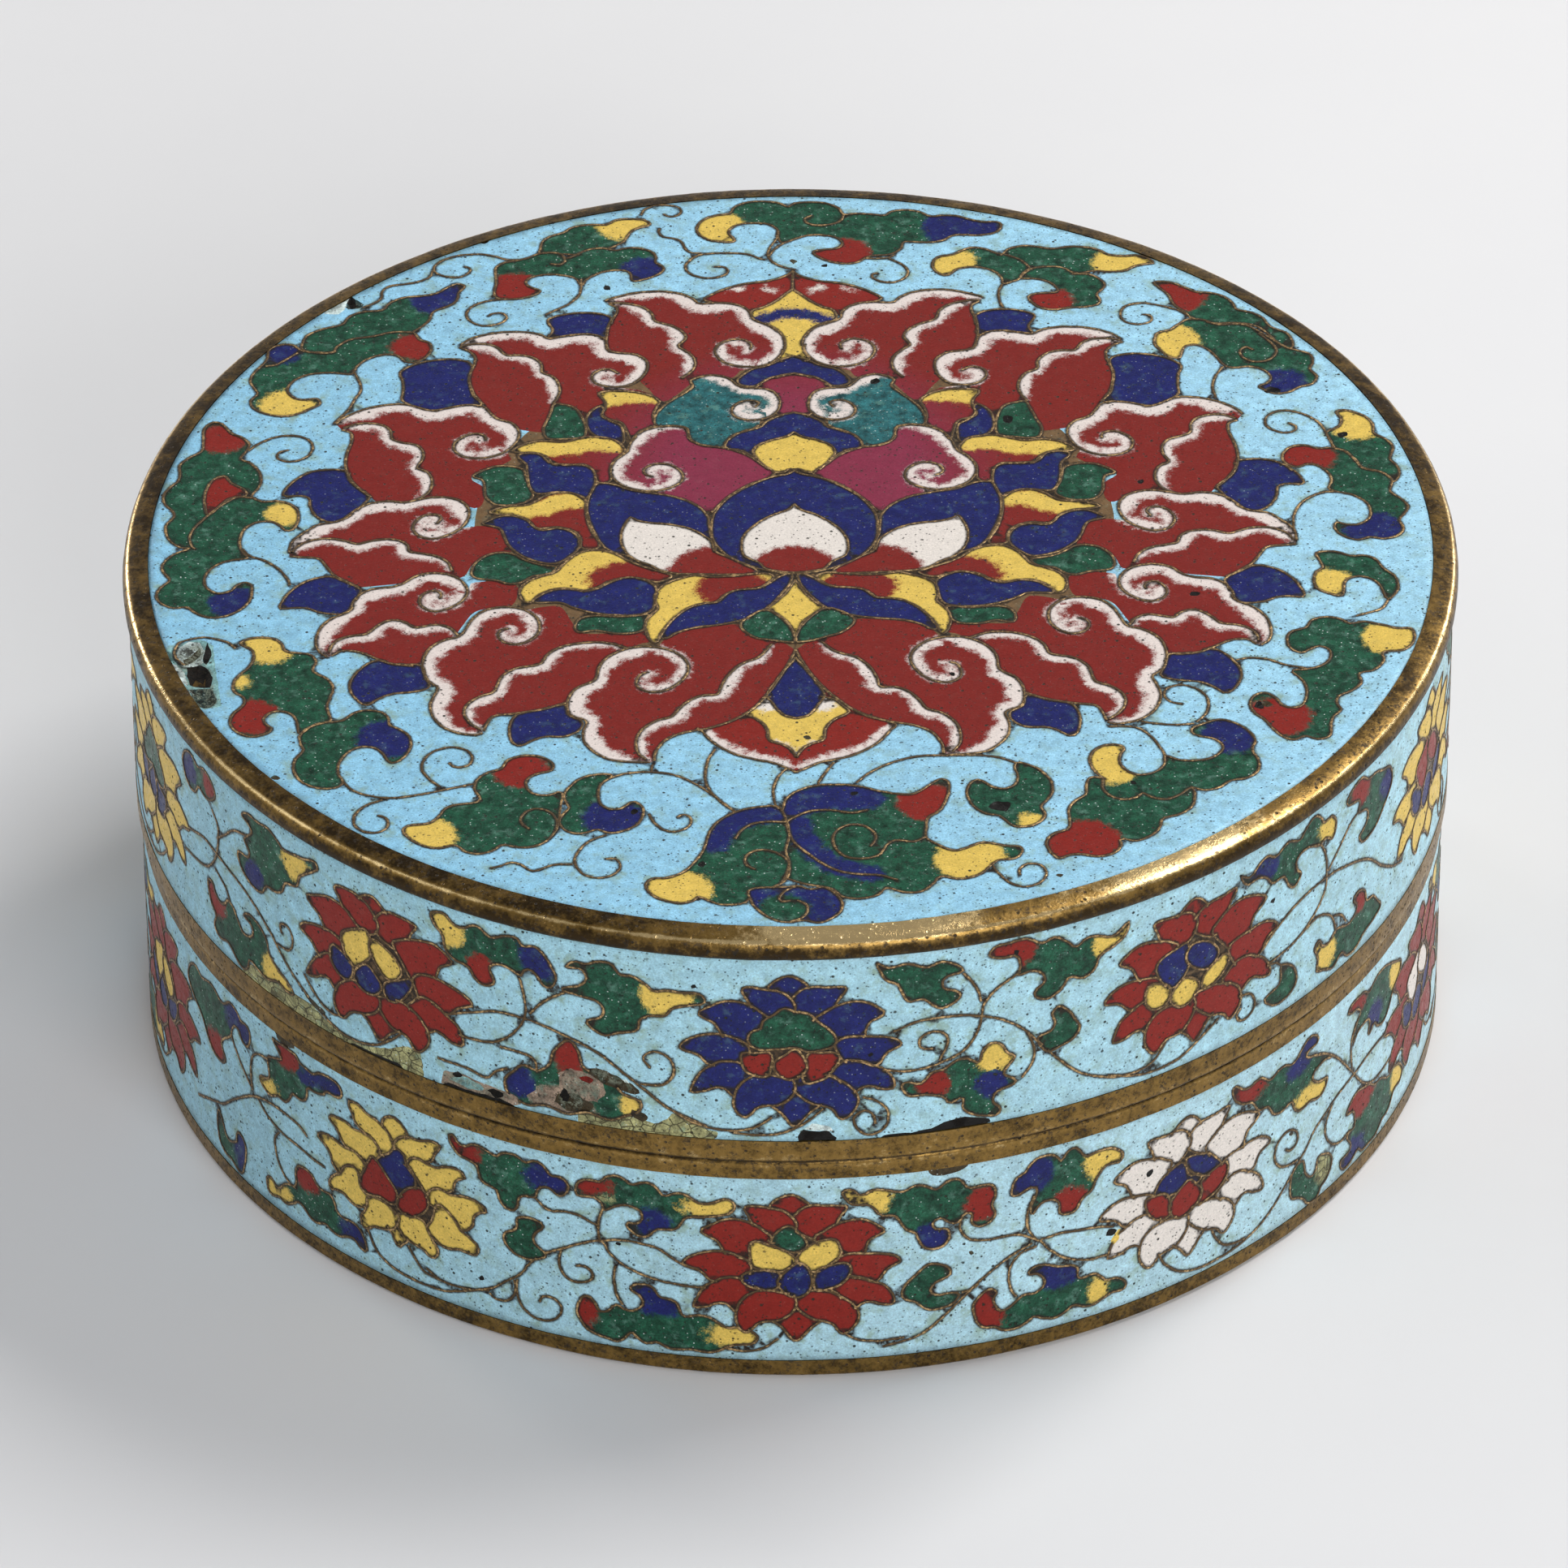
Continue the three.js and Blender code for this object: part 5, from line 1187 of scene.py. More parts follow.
BOX_RIGHT = """
@one g 4.3,21.2 5.2,21.6 6,20.8 7.2,21.4 8.4,21.2 9.8,20.8 11,21.4 12,21.2 13,20.6 14,21.4
 15.2,21.4 16,20.2
 17.2,20.3 18.4,20 18.6,18.8 18.2,17.8 18.6,16.6 17.8,15.7 16.8,15.7 16.2,16.4 16.4,17.2 15.6,17.4
 15,16.4 14.2,16.6 13.4,17.3 12.6,16.8 13,16 14,16 14.2,14.8 13.4,13.9 12.2,13.9 11.4,14.8 11,16
 10.2,16.4 9.6,17.4 9,18.2 7.8,18.4 6.8,19.6 5.2,19.9 ; t y 6.5,20.4,2.3 ; t r 17.6,18.2,2 ; t b
 12.6,15,1.9
@one g 12.2,12.1 13.2,12 14.2,11.4 14.3,10.6 13.6,10.2 12.8,9.8 12.4,9 13.2,8.4 14.4,8.5 15.2,8.2 14.6,7.2
 13.4,6.8 12,7 11,8 10,8.4 9.8,9.4 10.4,10.4 11.2,11.2
@one g 20.2,18.4 20.2,19.4 20.6,20.3 21.4,20.7 21.9,21.4 22.6,22 23.8,22.1 24.6,21.6 25,21 25.6,21.9
 26.4,22.1 27,21.4 27.6,20.7 28.6,20.9 30,20.8 31,20.2 31.4,19.5 31,18.8 30.2,19 29.4,18.8 28.8,18.1
 28.4,17.4 28.2,16.6 27.4,16.2 26.9,15.6 26.5,14.8 25.6,14.7 24.8,15 24.9,15.9 24.6,16.6 23.8,16.9
 22.8,16.6 22.1,15.6 22,16.6 22.4,17.6 22.6,18.6 21.8,18.8 20.9,18.3 ; t b 21.8,20.3,2.5
 ; t y 30.2,19.7,2.8 ; t r 26,15.8,2
@one g 17.8,8.1 17,7.4 16.5,6.6 16.6,5.4 16.9,4.4 17.6,3.7 18.6,3.6 19.4,3 20.6,2.9 21.6,3.2 22.4,3.8
 23.4,3.3 24.6,3 25.6,3.4 26.4,3.9 27.4,3.4 28.4,3.2 29.4,3.6 30.6,4 31.4,3.8 31.9,4.2 31.6,5 30.8,5.5
 29.8,5.6 29.2,6.2 28.4,6.9 27.4,6.7 26.8,7 26.8,8 26.2,8.6 25.2,8.8 24.6,9 23.6,9.5 22.6,9.6 21.8,9.2
 21.9,8.7 22.6,8.8 23.2,8.2 23.5,7.6 23.2,6.9 22.4,6.5 21.4,6.6 20.6,6 19.8,5.4 19,5.4 18.6,6.2 18.4,6.9
 18.8,7.6 18.4,8 ; t r 17.6,5.6,2.1,3 ; t b 24.8,8.2,2.6,1.9 ; t y 28.9,4.6,1.1,1.8
@one g 43.9,21.5 44.4,21.6 45,21 46,20.6 47.4,21 48.4,20.2 49,20 50,20.5 51,20.5 51.6,20.1 52.4,20.2
 53.2,21 54.2,21.7 55.2,21.6 55.9,20.8 55.4,20.3 54.4,20.3 53.9,19.8 54.6,19.4 55.6,19 57,18.3 58.4,17.2
 57.6,17.5 57,17.7 56,17.5 55.2,17.2 55.1,16.5 55.6,15.9 56.6,15.5 57.5,15.5 57.4,14.8 56.8,14 55.8,13.8
 54.8,14.2 53.8,14 52.8,14.1 52.2,15 52,15.8 51.2,15.6 50.2,15.4 49.3,15.8 48.9,16.6 48.4,17.1 47.4,17.2
 46.9,17.9 46.4,18.7 45.4,19 44.4,19.8 44,20.6 ; t r 45.8,20.3,2.7,1.7 ; s b 1.2 52.2,19.2
 53.8,19.4 54.6,21
 ; t y 54.8,14.8,2.9,1.4
@one g 52.6,7.6 52.1,6.6 52,5.2 52.3,4.2 53.2,3.8 54,3.2 54.6,2.3 55.6,1.9 56.4,2.2 56.8,3 57.6,3.2 58.3,4
 58.6,5 58.2,6 57.4,6.4 56.6,6.8 56,6.5 56.1,5.8 55.6,5.1 54.9,5.2 54.3,6 54.1,7 53.8,7.8 ; t o
 57.5,5,1.6,2
@one g 60.8,20.6 61.4,21.2 62.6,21.3 63.8,21.2 64.8,20.5 65.6,21 67,21.4 69,21 71,20 72.4,19.2 71.8,18
 70.4,17.2 69.6,16 68.4,15 67,15.2 66,16.2 65.2,15.4 64.8,15.8 65.2,16.9 64.6,17.5 63.4,17.5 62.4,17
 61.9,16.2 62,17.6 62.8,18.8 63.2,19.4 62.4,20.1 61.6,20.2 ; t r 62.2,20.8,2.4,1.5 ; t b 66.2,17,1.7
 ; t y 71.4,19,2
@one g 60.2,3.8 61,3.9 62,4.2 61.8,5 61.2,5.8 61.6,6.3 62.6,6.2 62.6,7.2 62.4,8.2 61.6,8.5 60.9,8.6
 61.2,9.2 62.2,9.9 63.2,10.2 64.2,9.8 65.4,9.5 66.6,8.6 68,8.4 69.6,7.4 71,7.6 72.6,7 73.6,5.6 72.8,4.6
 71.4,4.8 70,3.4 68.4,3.2 67,2.4 65.4,2.4 64.2,2.4 63.4,3.2 62.2,2.6 61,2.4 60.2,3 ; t r 63.6,8.8,3.2,1.9
 ; t b 62.2,3.2,2.8,1.9 ; t y 72.4,6,2
"""
BOX_LEFT = """
@one g -33.1,21.6 -32.6,21.8 -32.2,21.1 -31.4,20.9 -30.6,21.5 -29.8,21.5 -28.8,21.1 -28.2,20.9 -27.6,21.5
 -26.8,21.7 -25.9,21.6 -25.3,21.1 -24.6,21.5 -23.9,21.6 -23.2,21 -22.8,20.3 -22,20.5 -21.3,20.2 -21,19.4
 -21.4,18.5 -22,18.2 -22.6,18.7 -23.3,18.9 -24,18.5 -24.2,17.7 -24.3,17.3 -25.4,17.3 -26,16.7 -26.1,15.8
 -26.6,15.2 -27.4,15.3 -27.9,16 -28.2,17 -29,17.3 -29.8,17.6 -30.1,18.6 -30.2,19.2 -31.2,19.5 -32.2,19.8
 -32.9,20.6 ; t r -32,20.4,2.3,1.6 ; t b -22.9,19.9,2.5,2
@one g -20.2,18.8 -20.3,19.8 -19.9,20.5 -19,20.8 -18,20.8 -17.4,21.5 -16.4,21.8 -15.6,21.5 -15,21
 -14.2,21.4 -13.2,21.5 -12.5,20.9 -12,20.2 -11.2,20.6 -10.2,20.7 -9.4,20.3 -8.8,19.8 -7.6,19.9 -6.6,20.4
 -5.8,20.4 -5.4,19.6 -6,18.8 -7.2,18.4 -8.8,18.2 -10,18 -10.4,17.2 -11,16.5 -12,16.4 -12.8,16.2
 -13.2,15.6 -14,15.2 -14.8,15.5 -15.5,16.2 -15.4,16.7 -14.6,16.6 -14.1,17.2 -14.1,18 -14.6,18.4
 -15.6,18.6 -16.6,18.3 -17.6,17.6 -17.9,18.4 -18.6,18.9 -19.4,18.8 ; t r -18.8,20.2,2.3,1.2
 ; t o -18.2,19.2,1.5,.8 ; t b -13,16.9,1.9,1.8 ; t y -7.6,19.3,2.9,1.4
@one g -26.2,14.4 -25.4,14.8 -24.4,14.8 -23.6,14.5 -23.7,13.9 -24.2,13.5 -24.6,12.7 -24.4,12 -23.7,11.4
 -23.2,11 -24,10.4 -25.2,10 -26.4,10.2 -27.2,10.8 -27.6,11.6 -27.4,12.4 -26.6,12.9 -26.2,13.4
@one g -20.2,6.4 -19.8,7.2 -19.2,7.3 -18.6,6.6 -18.2,5.8 -17.4,6 -16.8,6.8 -16.4,6.9 -15.8,6.5 -15,6.5
 -14.3,7 -14,7.6 -14.4,8.4 -15,8.7 -15.3,9 -14.8,9.6 -13.6,9.8 -13,9.4 -12.5,8.5 -11.6,8.4 -10.8,8
 -10.6,7 -10.2,6.5 -9.2,6.8 -8,6.8 -7.2,6.2 -6.2,5.6 -5.2,5.8 -4.2,5.4 -3.4,4.6 -4,3.8 -5.2,3.7 -6.2,3.4
 -7.2,2.8 -8.4,2.6 -9.6,2.8 -10.4,2.7 -11.4,2.6 -12.2,2.9 -12.9,3.2 -13.8,2.9 -14.6,3.4 -15.2,4 -15.8,3.2
 -16.6,2.6 -17.4,2.8 -18.4,3 -19.4,3.4 -20,4.2 -20.4,5.2 ; t r -19.8,5.8,1.6,2.2 ; t b -12.8,8.2,2.7,2
 ; t y -5.4,4.8,2.8,1.5
@one g -55.2,21.9 -54.6,22 -53,22 -51.6,21.9 -51.4,21.4 -50.4,21.2 -49.4,21 -48.6,21.6 -47.4,21.8
 -46.2,21.7 -45.6,21 -45.8,20.2 -46.6,20 -47.6,20 -48,19.4 -49,19.1 -50.2,19 -50.3,18.2 -50.6,17.4
 -51.4,17 -52.4,17.2 -52.9,16.2 -53.6,15.5 -54.4,15.6 -55,15.4 -55.8,14.9 -56.8,15.2 -57.6,15.9
 -57.2,16.4 -56.4,16.6 -55.9,17 -56,18.4 -56.2,19.2 -55.4,19.6 -54.4,20 -53.9,20.4 ; t r -53.2,21,1.9,1.6
 ; s b 0.95 -50.8,20 -48.6,20.6 -46.2,20.9 ; t y -56.6,15.8,2.1,1.2
@one g -71,20.4 -69.6,21.4 -68,21 -66.6,21.4 -65.4,21.4 -64.4,20.8 -63.4,20.9 -62.4,21.7 -61.2,21.5
 -60.4,20.8 -59.4,20.9 -58.9,20.2 -59,19 -59.6,18.3 -60.4,18.6 -60.8,19.4 -61.6,19.5 -62.1,18.8
 -62.4,17.8 -63.6,16.8 -64.3,16 -64.2,15.2 -63.6,14.4 -64.2,13.6 -65.4,13.5 -66.4,13.9 -67.4,15
 -68.4,16.4 -70,17.4 -71.4,18.8 ; t b -60.8,20.2,2.8,2 ; t r -65,14.9,2.4,1.7
@one g -65.4,7.4 -65.8,6.4 -65.8,5 -65.4,3.6 -64.4,2.9 -63.2,2.9 -62,2.4 -61.2,2.5 -60.8,3.6 -60.5,4.8
 -60.4,6 -60.8,6.8 -61.6,7.1 -62.1,6.4 -62,5.8 -62.8,5.2 -63.6,4.9 -64.3,5.4 -64.7,6.4
 ; t b -61.2,5.2,1.6,2.6
@one g -56.9,3.9 -56.9,4.8 -56.2,5.1 -55.4,4.6 -54.8,4.8 -54.2,5.6 -53.4,6 -52.6,6.2 -52.3,7 -52.4,8 -52,9
 -51,9.2 -50,9 -49.4,8.2 -48.6,8 -47.6,8.1 -47,7.4 -46.8,6.6 -46,6.2 -45,6.3 -44,6 -43.4,5.2 -43,4.2
 -43.2,3.6 -43.9,3.8 -44.6,4.4 -45.6,4.2 -46.4,3.8 -47.4,3.8 -48.4,4.2 -49.4,3.7 -50.4,3.8 -51.2,4.4
 -52,4.7 -53,4 -54,3.4 -55,3.6 -55.8,3.2 -56.6,3.2 ; t r -51,8.2,2,1.6 ; t b -44.6,5.2,2,1.7
 ; t y -55.4,4.2,2.4,1.4
"""
BOX_VINES_RIGHT = """8,3.2 10,3.6 12,4.4 14,6.2 16,8.2 18,10 20,11.4 22.2,12.4 ; 3.4,6.4 5,4.6 7,3.9 10,4
; 22.9,12.5 25,12.7 27,12.4 29,12.1 30.4,11.6 ; 15.4,17 15.2,15.8 16,14.4 17.8,13.9 20.6,13.8
 22,13.1 22.8,12.5
; 22.8,12.4 21.8,14 21.7,16 22.3,17.8 ; 22.9,12.6 24,11 25.6,9.6 27.8,8.7 30,8.5 31.6,8
; 22.6,11.9 21,11.5 20,10 20,8 20.6,6.6 ; 15.4,8.3 16.4,8.5 17,9
; 53,8.4 51.6,8.5 50.4,9.1 49.7,10.2 49.8,11.6 50.4,12.3 51.4,12.6 52.4,12.2 53,11.2 52.7,10.3
 51.9,10.1 51.2,10.6
; 35.4,6.4 36.2,4.8 38,3.2 40.4,2.6 43,2.6 45.4,2.9 47.6,3.6 49.6,4.8 51.6,6.6 53.4,8.2 54.4,9 55.4,10.2
 57,11.1 59,12 61,12.5 62.4,12.7 64.5,13.1 67,13.3 70,13 ; 41.6,6.4 42.2,5 43,4 44.2,3.4 45.8,3.2
; 62.2,12.8 61.2,14 59.8,15.8 58,17.6 56,18.9 ; 62.3,12.7 63.4,11.2 65,9.8 67,9.2 70,9.4
; 58.4,11.5 57.4,10 57.4,8.6 58.4,7 60,6.2 61.6,6.4 ; 61.8,13.6 61.6,15 61.6,17 62.4,18.6"""
BOX_VINES_LEFT = """-8.2,10.1 -11,10.2 -13.6,10.7 -15.8,11.6 -17.2,12.8 -18,14 -20,13.2 -21.4,12.4
 -23.4,11.2 -24.8,9.8
 -26,8 -27.6,6.6 -29,5.4 -31,4.5 -34,4.2 -36,5 ; -17.7,17.9 -18.1,16.4 -18.2,14.6 -18,14
; -18,14 -16,14.5 -14,14.4 -12.4,14 -11,13 -9.8,12.4 -8.8,12.2
; -24.3,17.3 -23.4,16.5 -22.6,16.3 -21.4,16.6 -20.2,16.5 -19.2,16.1 -18.3,15.7
; -21.9,12 -22.1,10.6 -21.6,9.2 -20.8,8.7 -19.6,8.8 -18.8,9.5 -18.9,10.2 -19.6,10.7 -20.4,10.6
; -26.3,7.4 -26.3,5.4 -25.6,4 -24.2,3.3 -22.8,3.6 -22,4.6 -22,5.6 -22.8,6.2 -23.8,6.1 -24.1,5.4
; -26.6,7.2 -26.6,5.6 -27.4,4.5 -28.6,4.3 -29.2,4.8 ; -42.9,6.6 -41.8,4.4 -40,3.4 -38.4,3.1 -36,3 -34,3.2
 -32.4,3.8 -30.6,4.6 -29.2,5 ; -16.6,11.4 -16.8,9.8 -16.6,8.2 -16,7
; -38,6.8 -37.4,5.8 -36.2,4.5 -34,4.2 ; -70,6 -66,7.9 -64.4,8.6 -62.4,10.4 -60.4,12 -58.4,13.3 -56,14
 -53.6,14.1 -51.6,13.9 -50.5,13.2 ; -58,13.4 -56.4,12.2 -54.4,11.6 -51.6,11.3 -49.6,11 -48.2,10.9
; -58.8,13.8 -59,16 -58.6,17.8 -57.6,18.7 -56,19 ; -59,14 -60.2,15.2 -61.4,16.6 -62.2,17.8
; -54.6,11.4 -55.4,10.2 -55.2,8.4 -54.6,7.2 -53.6,6.3 -52.4,6.1 ; -7,3.4 -5,3 -3,3.4 -1.6,4.6"""


def entries(text):
    """The entries of a drawing, as (kind, colour or number, points, parts)."""
    for block in text.split("@")[1:]:
        parts = [p.strip() for p in " ".join(block.split()).split(";")]
        kind, colour, first = parts[0].split(" ", 2)
        yield kind, colour, pts(first), parts[1:]


def read_parts(parts):
    """Soft patches and extra wires of an entry."""
    tints, wires = [], []
    for part in parts:
        if part[:2] == "t ":
            _, colour, text = part.split(" ", 2)
            n = [float(v) for v in text.split(",")]
            tints.append((colour, "disc", (np.array(n[:2]), n[2] if len(n) == 3 else np.array(n[2:]))))
        elif part[:2] == "s ":
            _, colour, width, text = part.split(" ", 3)
            tints.append((colour, "line", (curve(pts(text), step=1.0), float(width))))
        elif part[:2] == "w ":
            wires.append(curve(pts(part[2:])))
    return tints, wires


MIRROR_X = 0.4            # of the lotus's middle line
STRAY_REACH = 6.0         # how far round a point of STRAY its small shift is felt


def mirror(p):
    """The same points on the other side of the lotus's middle line."""
    return np.c_[2 * MIRROR_X - p[:, 0], p[:, 1]]


def strayed(p):
    """The left half of the lotus: a mirror image, a little out of true."""
    q = mirror(p)
    gap = ((q[:, None] - STRAY[None]) ** 2).sum(2)
    w = np.exp(-gap / (2 * STRAY_REACH ** 2))
    move = (w[..., None] * STRAY_BY).sum(1) / (w.sum(1) + 0.25)[:, None]
    fade = np.clip((MIRROR_X - q[:, 0]) / 4.0, 0, 1)[:, None]
    return q + move * fade


def magenta(p, colour):
    """Petal red, which turns magenta towards the middle of the flower's upper half."""
    far = np.hypot(p[:, 0] - MIRROR_X, (p[:, 1] - 11) * 0.9)
    share = np.clip((21 - far) / 9, 0, 1) * np.clip((p[:, 1] + 8) / 8, 0, 1)
    return colour + share[:, None] * (srgb(132, 46, 70) - colour)


def nearest(line, point):
    """The number of the line's point that is nearest to the given one."""
    return int(np.linalg.norm(line - point, axis=1).argmin())


def white_band(line, width, salt):
    """A petal's white edge: a band along the line, uneven and thinner at its ends."""
    t = np.linspace(0, 1, len(line))
    w = width * np.minimum(1, np.minimum(0.35 + t * 6, 0.2 + (1 - t) * 6))
    return "v", line, w * (1 + 0.22 * np.sin(t * 19 + salt) + 0.12 * np.sin(t * 47 + salt * 3))


def curl_band(edge_line, start):
    """The white that fills the hook at a petal's inner end: a band on the inner side of its curl."""
    hook = edge_line[:start + 1]
    inward = hook.mean(0) - hook
    inward = inward / np.maximum(np.linalg.norm(inward, axis=1), 0.5)[:, None]
    return "v", hook + 0.50 * inward, np.linspace(0.45, 0.72, len(hook))


def petal(k, edge, parts, salt):
    """A petal with its curled edge, whose hook ends at the edge's point `k`, and its dark lobe."""
    left, back, dark = [curve(pts(text)) for text in parts]
    edge_line = curve(edge)
    start = nearest(edge_line, edge[k])
    outer = edge_line[start:]
    one = Panel()
    one.cell(np.vstack([outer, left, back]), "m",
             bands=[white_band(outer, 1.32, salt), curl_band(edge_line, start)],
             wire=[edge_line, left], shift=magenta)
    one.cell(np.vstack([dark, left[::-1]]), "m", bands=[white_band(dark, 0.95, salt + 2)],
             wire=[dark, left], shift=magenta)
    return one


def scroll(k, edge, parts, salt):
    """A curled scroll of the lotus's heart: blue green near the middle line, else crimson."""
    edge_line = curve(edge)
    start = nearest(edge_line, edge[k])
    outer = edge_line[start:]
    rest = curve(np.vstack([edge[-1:], pts(parts[0])]))
    green = edge[0, 0] < 10
    one = Panel()
    one.cell(np.vstack([outer, rest]), "e" if green else "m",
             bands=[white_band(outer, 1.05, salt), curl_band(edge_line, start)],
             wire=[edge_line, rest], shift=None if green else magenta)
    return one


def draw(panel, text, salt=0.0):
    """Draws a table of entries. `salt` varies the white edges."""
    for kind, colour, first, parts in entries(text):
        salt += 1.0
        if kind in ("petal", "scroll"):
            one = (petal if kind == "petal" else scroll)(int(colour), first, parts, salt)
        else:
            tints, wires = read_parts(parts)
            outline = curve(first, closed=kind != "half")
            if kind == "half":
                outline = np.vstack([outline, mirror(outline)[::-1]])
                tints += [(c, k, change_tint(k, d, mirror)) for c, k, d in tints]
            one = Panel()
            one.cell(outline, colour, tints, shift=magenta if colour == "m" else None)
            for w in wires:
                one.wire(w)
        panel.add(one)
        if kind in ("petal", "scroll", "side"):
            panel.add(one.moved(strayed))


BACKING_Y, BACKING_W = 3.0, 60.0   # of the brown disc that shows between the lotus's petals


def top_drawing():
    """The cover's top: leaves and vines round the edge, then the lotus from the back to the front."""
    panel = Panel()
    draw(panel, BORDER)
    panel.cell(oval(MIRROR_X, BACKING_Y, BACKING_W, BACKING_W, 0, 90, 0.0), "c", wire=None)
    draw(panel, LOTUS_BACK, 3.0)
    draw(panel, PETALS, 7.0)
    draw(panel, BOTTOM, 11.0)
    draw(panel, PETAL_LOW, 17.0)
    draw(panel, INNER, 23.0)
    draw(panel, GREEN_SCROLL, 29.0)
    draw(panel, HEART.split("@side b")[0], 31.0)
    draw(panel, CRIMSON_SCROLL, 37.0)
    draw(panel, "@side b" + HEART.split("@side b")[1], 41.0)
    return panel


def top_ground(p):
    """Turquoise with painted light: paler towards the right and the back, where the light comes from."""
    # Painted light: the ground lightens towards the right and the back.
    share = np.clip((p[:, 0] * 0.8 + p[:, 1] * 0.25 + 55) / 110, 0, 1)[:, None]
    colour = srgb(138, 194, 224) + share * (srgb(163, 212, 236) - srgb(138, 194, 224))
    colour = colour * (1 + 0.05 * wobble(p, 9.0, 2.0))[:, None]
    return colour, np.full(len(p), 0.20)


def on_top(v, down):
    """The place on the cover's top of a drawing's points, `down` below its surface."""
    return np.c_[v, HEIGHT - ENAMEL_DROP - down] * MM


def on_wall(radius):
    """The same for a wall, round which a drawing is wrapped."""
    def place(v, down):
        a = v[:, 0] / radius
        r = radius - ENAMEL_DROP * 0.6 - down
        return np.c_[r * np.sin(a), -r * np.cos(a), v[:, 1]] * MM
    return place


def oval(x, y, length, width, turn, sides, rough):
    """An oval outline, turned by some degrees, whose reach is uneven by `rough`."""
    t = np.linspace(0, 2 * np.pi, sides, endpoint=False)
    reach = 1 + rough * np.sin(2.6 * t * 1.4 + 1)
    p = np.c_[0.5 * length * np.cos(t) * reach, 0.5 * width * np.sin(t) * reach]
    a = math.radians(turn)
    return p @ np.array([[math.cos(a), math.sin(a)], [-math.sin(a), math.cos(a)]]) + (x, y)


def lay(panel, table):
    """Chips, dirt and repairs over a drawing: 'colour depth points' entries. Returns the hollow ones."""
    losses = []
    for entry in table.split(";"):
        colour, deep, text = entry.strip().split(" ", 2)
        corners = pts(text)
        outline = even(np.vstack([corners, corners[:1]]), 0.3)[:-1]
        ragged = np.c_[hashed(outline[:, 0], 0.3) - 0.5, hashed(outline[:, 1], 0.7) - 0.5]
        outline = outline + 0.07 * ragged * 2
        panel.cell(outline, colour, wire=None)
        if float(deep) > 0:
            losses.append((outline, float(deep)))
    return losses


PIT_DEPTH = 0.3


def pit_marks(panel, text):
    """Small round pits: 'x,y,radius' entries. Returns their outlines and depths."""
    losses = []
    for k, (x, y, size) in enumerate(pts(text)):
        outline = oval(x, y, 2.2 * size, 1.8 * size, 47 * k, 10, 0.2)
        panel.cell(outline, "n" if k % 4 == 3 else "k", wire=None)
        losses.append((outline, PIT_DEPTH))
    return losses


SLOPE = 0.4


def hollows(losses):
    """Depth below a face: its slight unevenness, and broken places with sides SLOPE wide."""
    def depth(v):
        down = 0.02 * wobble(v, 7.0, 1.0) + 0.02
        for outline, deep in losses:
            near = inside(v, outline)
            gap = distance(v, np.vstack([outline, outline[:1]]))
            down = down + np.where(near, deep * np.clip(gap / SLOPE, 0, 1), 0) * (
                0.8 + 0.2 * wobble(v, 0.8, 4.0))
        return down
    return depth


DISC_POINTS, STRIP_POINTS, STRIP_END_POINTS = 760, 780, 25


def disc_domain(radius):
    """The round outline of the top's drawing."""
    t = np.linspace(0, 2 * np.pi, DISC_POINTS, endpoint=False)
    return np.c_[radius * np.cos(t), radius * np.sin(t)]


def strip_domain(radius, field):
    """The outline of a wall's drawing, unrolled, with its two ends at SEAM."""
    s0, s1 = -SEAM, 2 * math.pi * radius - SEAM
    low, high = field[0] + FACE_GAP, field[1] - FACE_GAP
    s, z = np.linspace(s0, s1, STRIP_POINTS), np.linspace(low, high, STRIP_END_POINTS)
    return np.vstack([np.c_[s[:-1], np.full(len(s) - 1, low)], np.c_[np.full(len(z) - 1, s1), z[:-1]],
                      np.c_[s[:0:-1], np.full(len(s) - 1, high)],
                      np.c_[np.full(len(z) - 1, s0), z[:0:-1]]])


def ring_noise(a, q, salt):
    """Unevenness from about -1 to 1 that closes on itself round the axis; q is a place across it."""
    total = 0.0
    for k, (freq, pull) in enumerate(((5, 0.1), (17, 0.5), (43, 1.1), (97, 2.3), (211, 3.7))):
        total = total + np.sin(freq * a + pull * q + salt * (k + 1.3)) / (1.0 + 0.45 * k)
    return total / 2.6


def worn(a, r, z):
    """How far the metal is worn in, in millimetres."""
    broad = 0.030 * (1 + ring_noise(a, 0.4 * (r + z), 1.0))
    dents = 0.07 * np.clip(ring_noise(a, 1.7 * (r - z), 4.0) - 0.55, 0, 1)
    return np.where(r > 55.0, broad + dents, 0.0)


def near_ring(r, z, r0, z0, reach):
    """1 on the ring at (r0, z0), fading to 0 beyond its reach."""
    return np.exp(-((r - r0) ** 2 + (z - z0) ** 2) / reach ** 2)


def highlit_stretch(a, centre, spread):
    """1 in the stretch round the axis where the rim's flat gets a painted reflection, fading to 0 beyond it.
    """
    return np.exp(-((a - centre) / spread) ** 2)


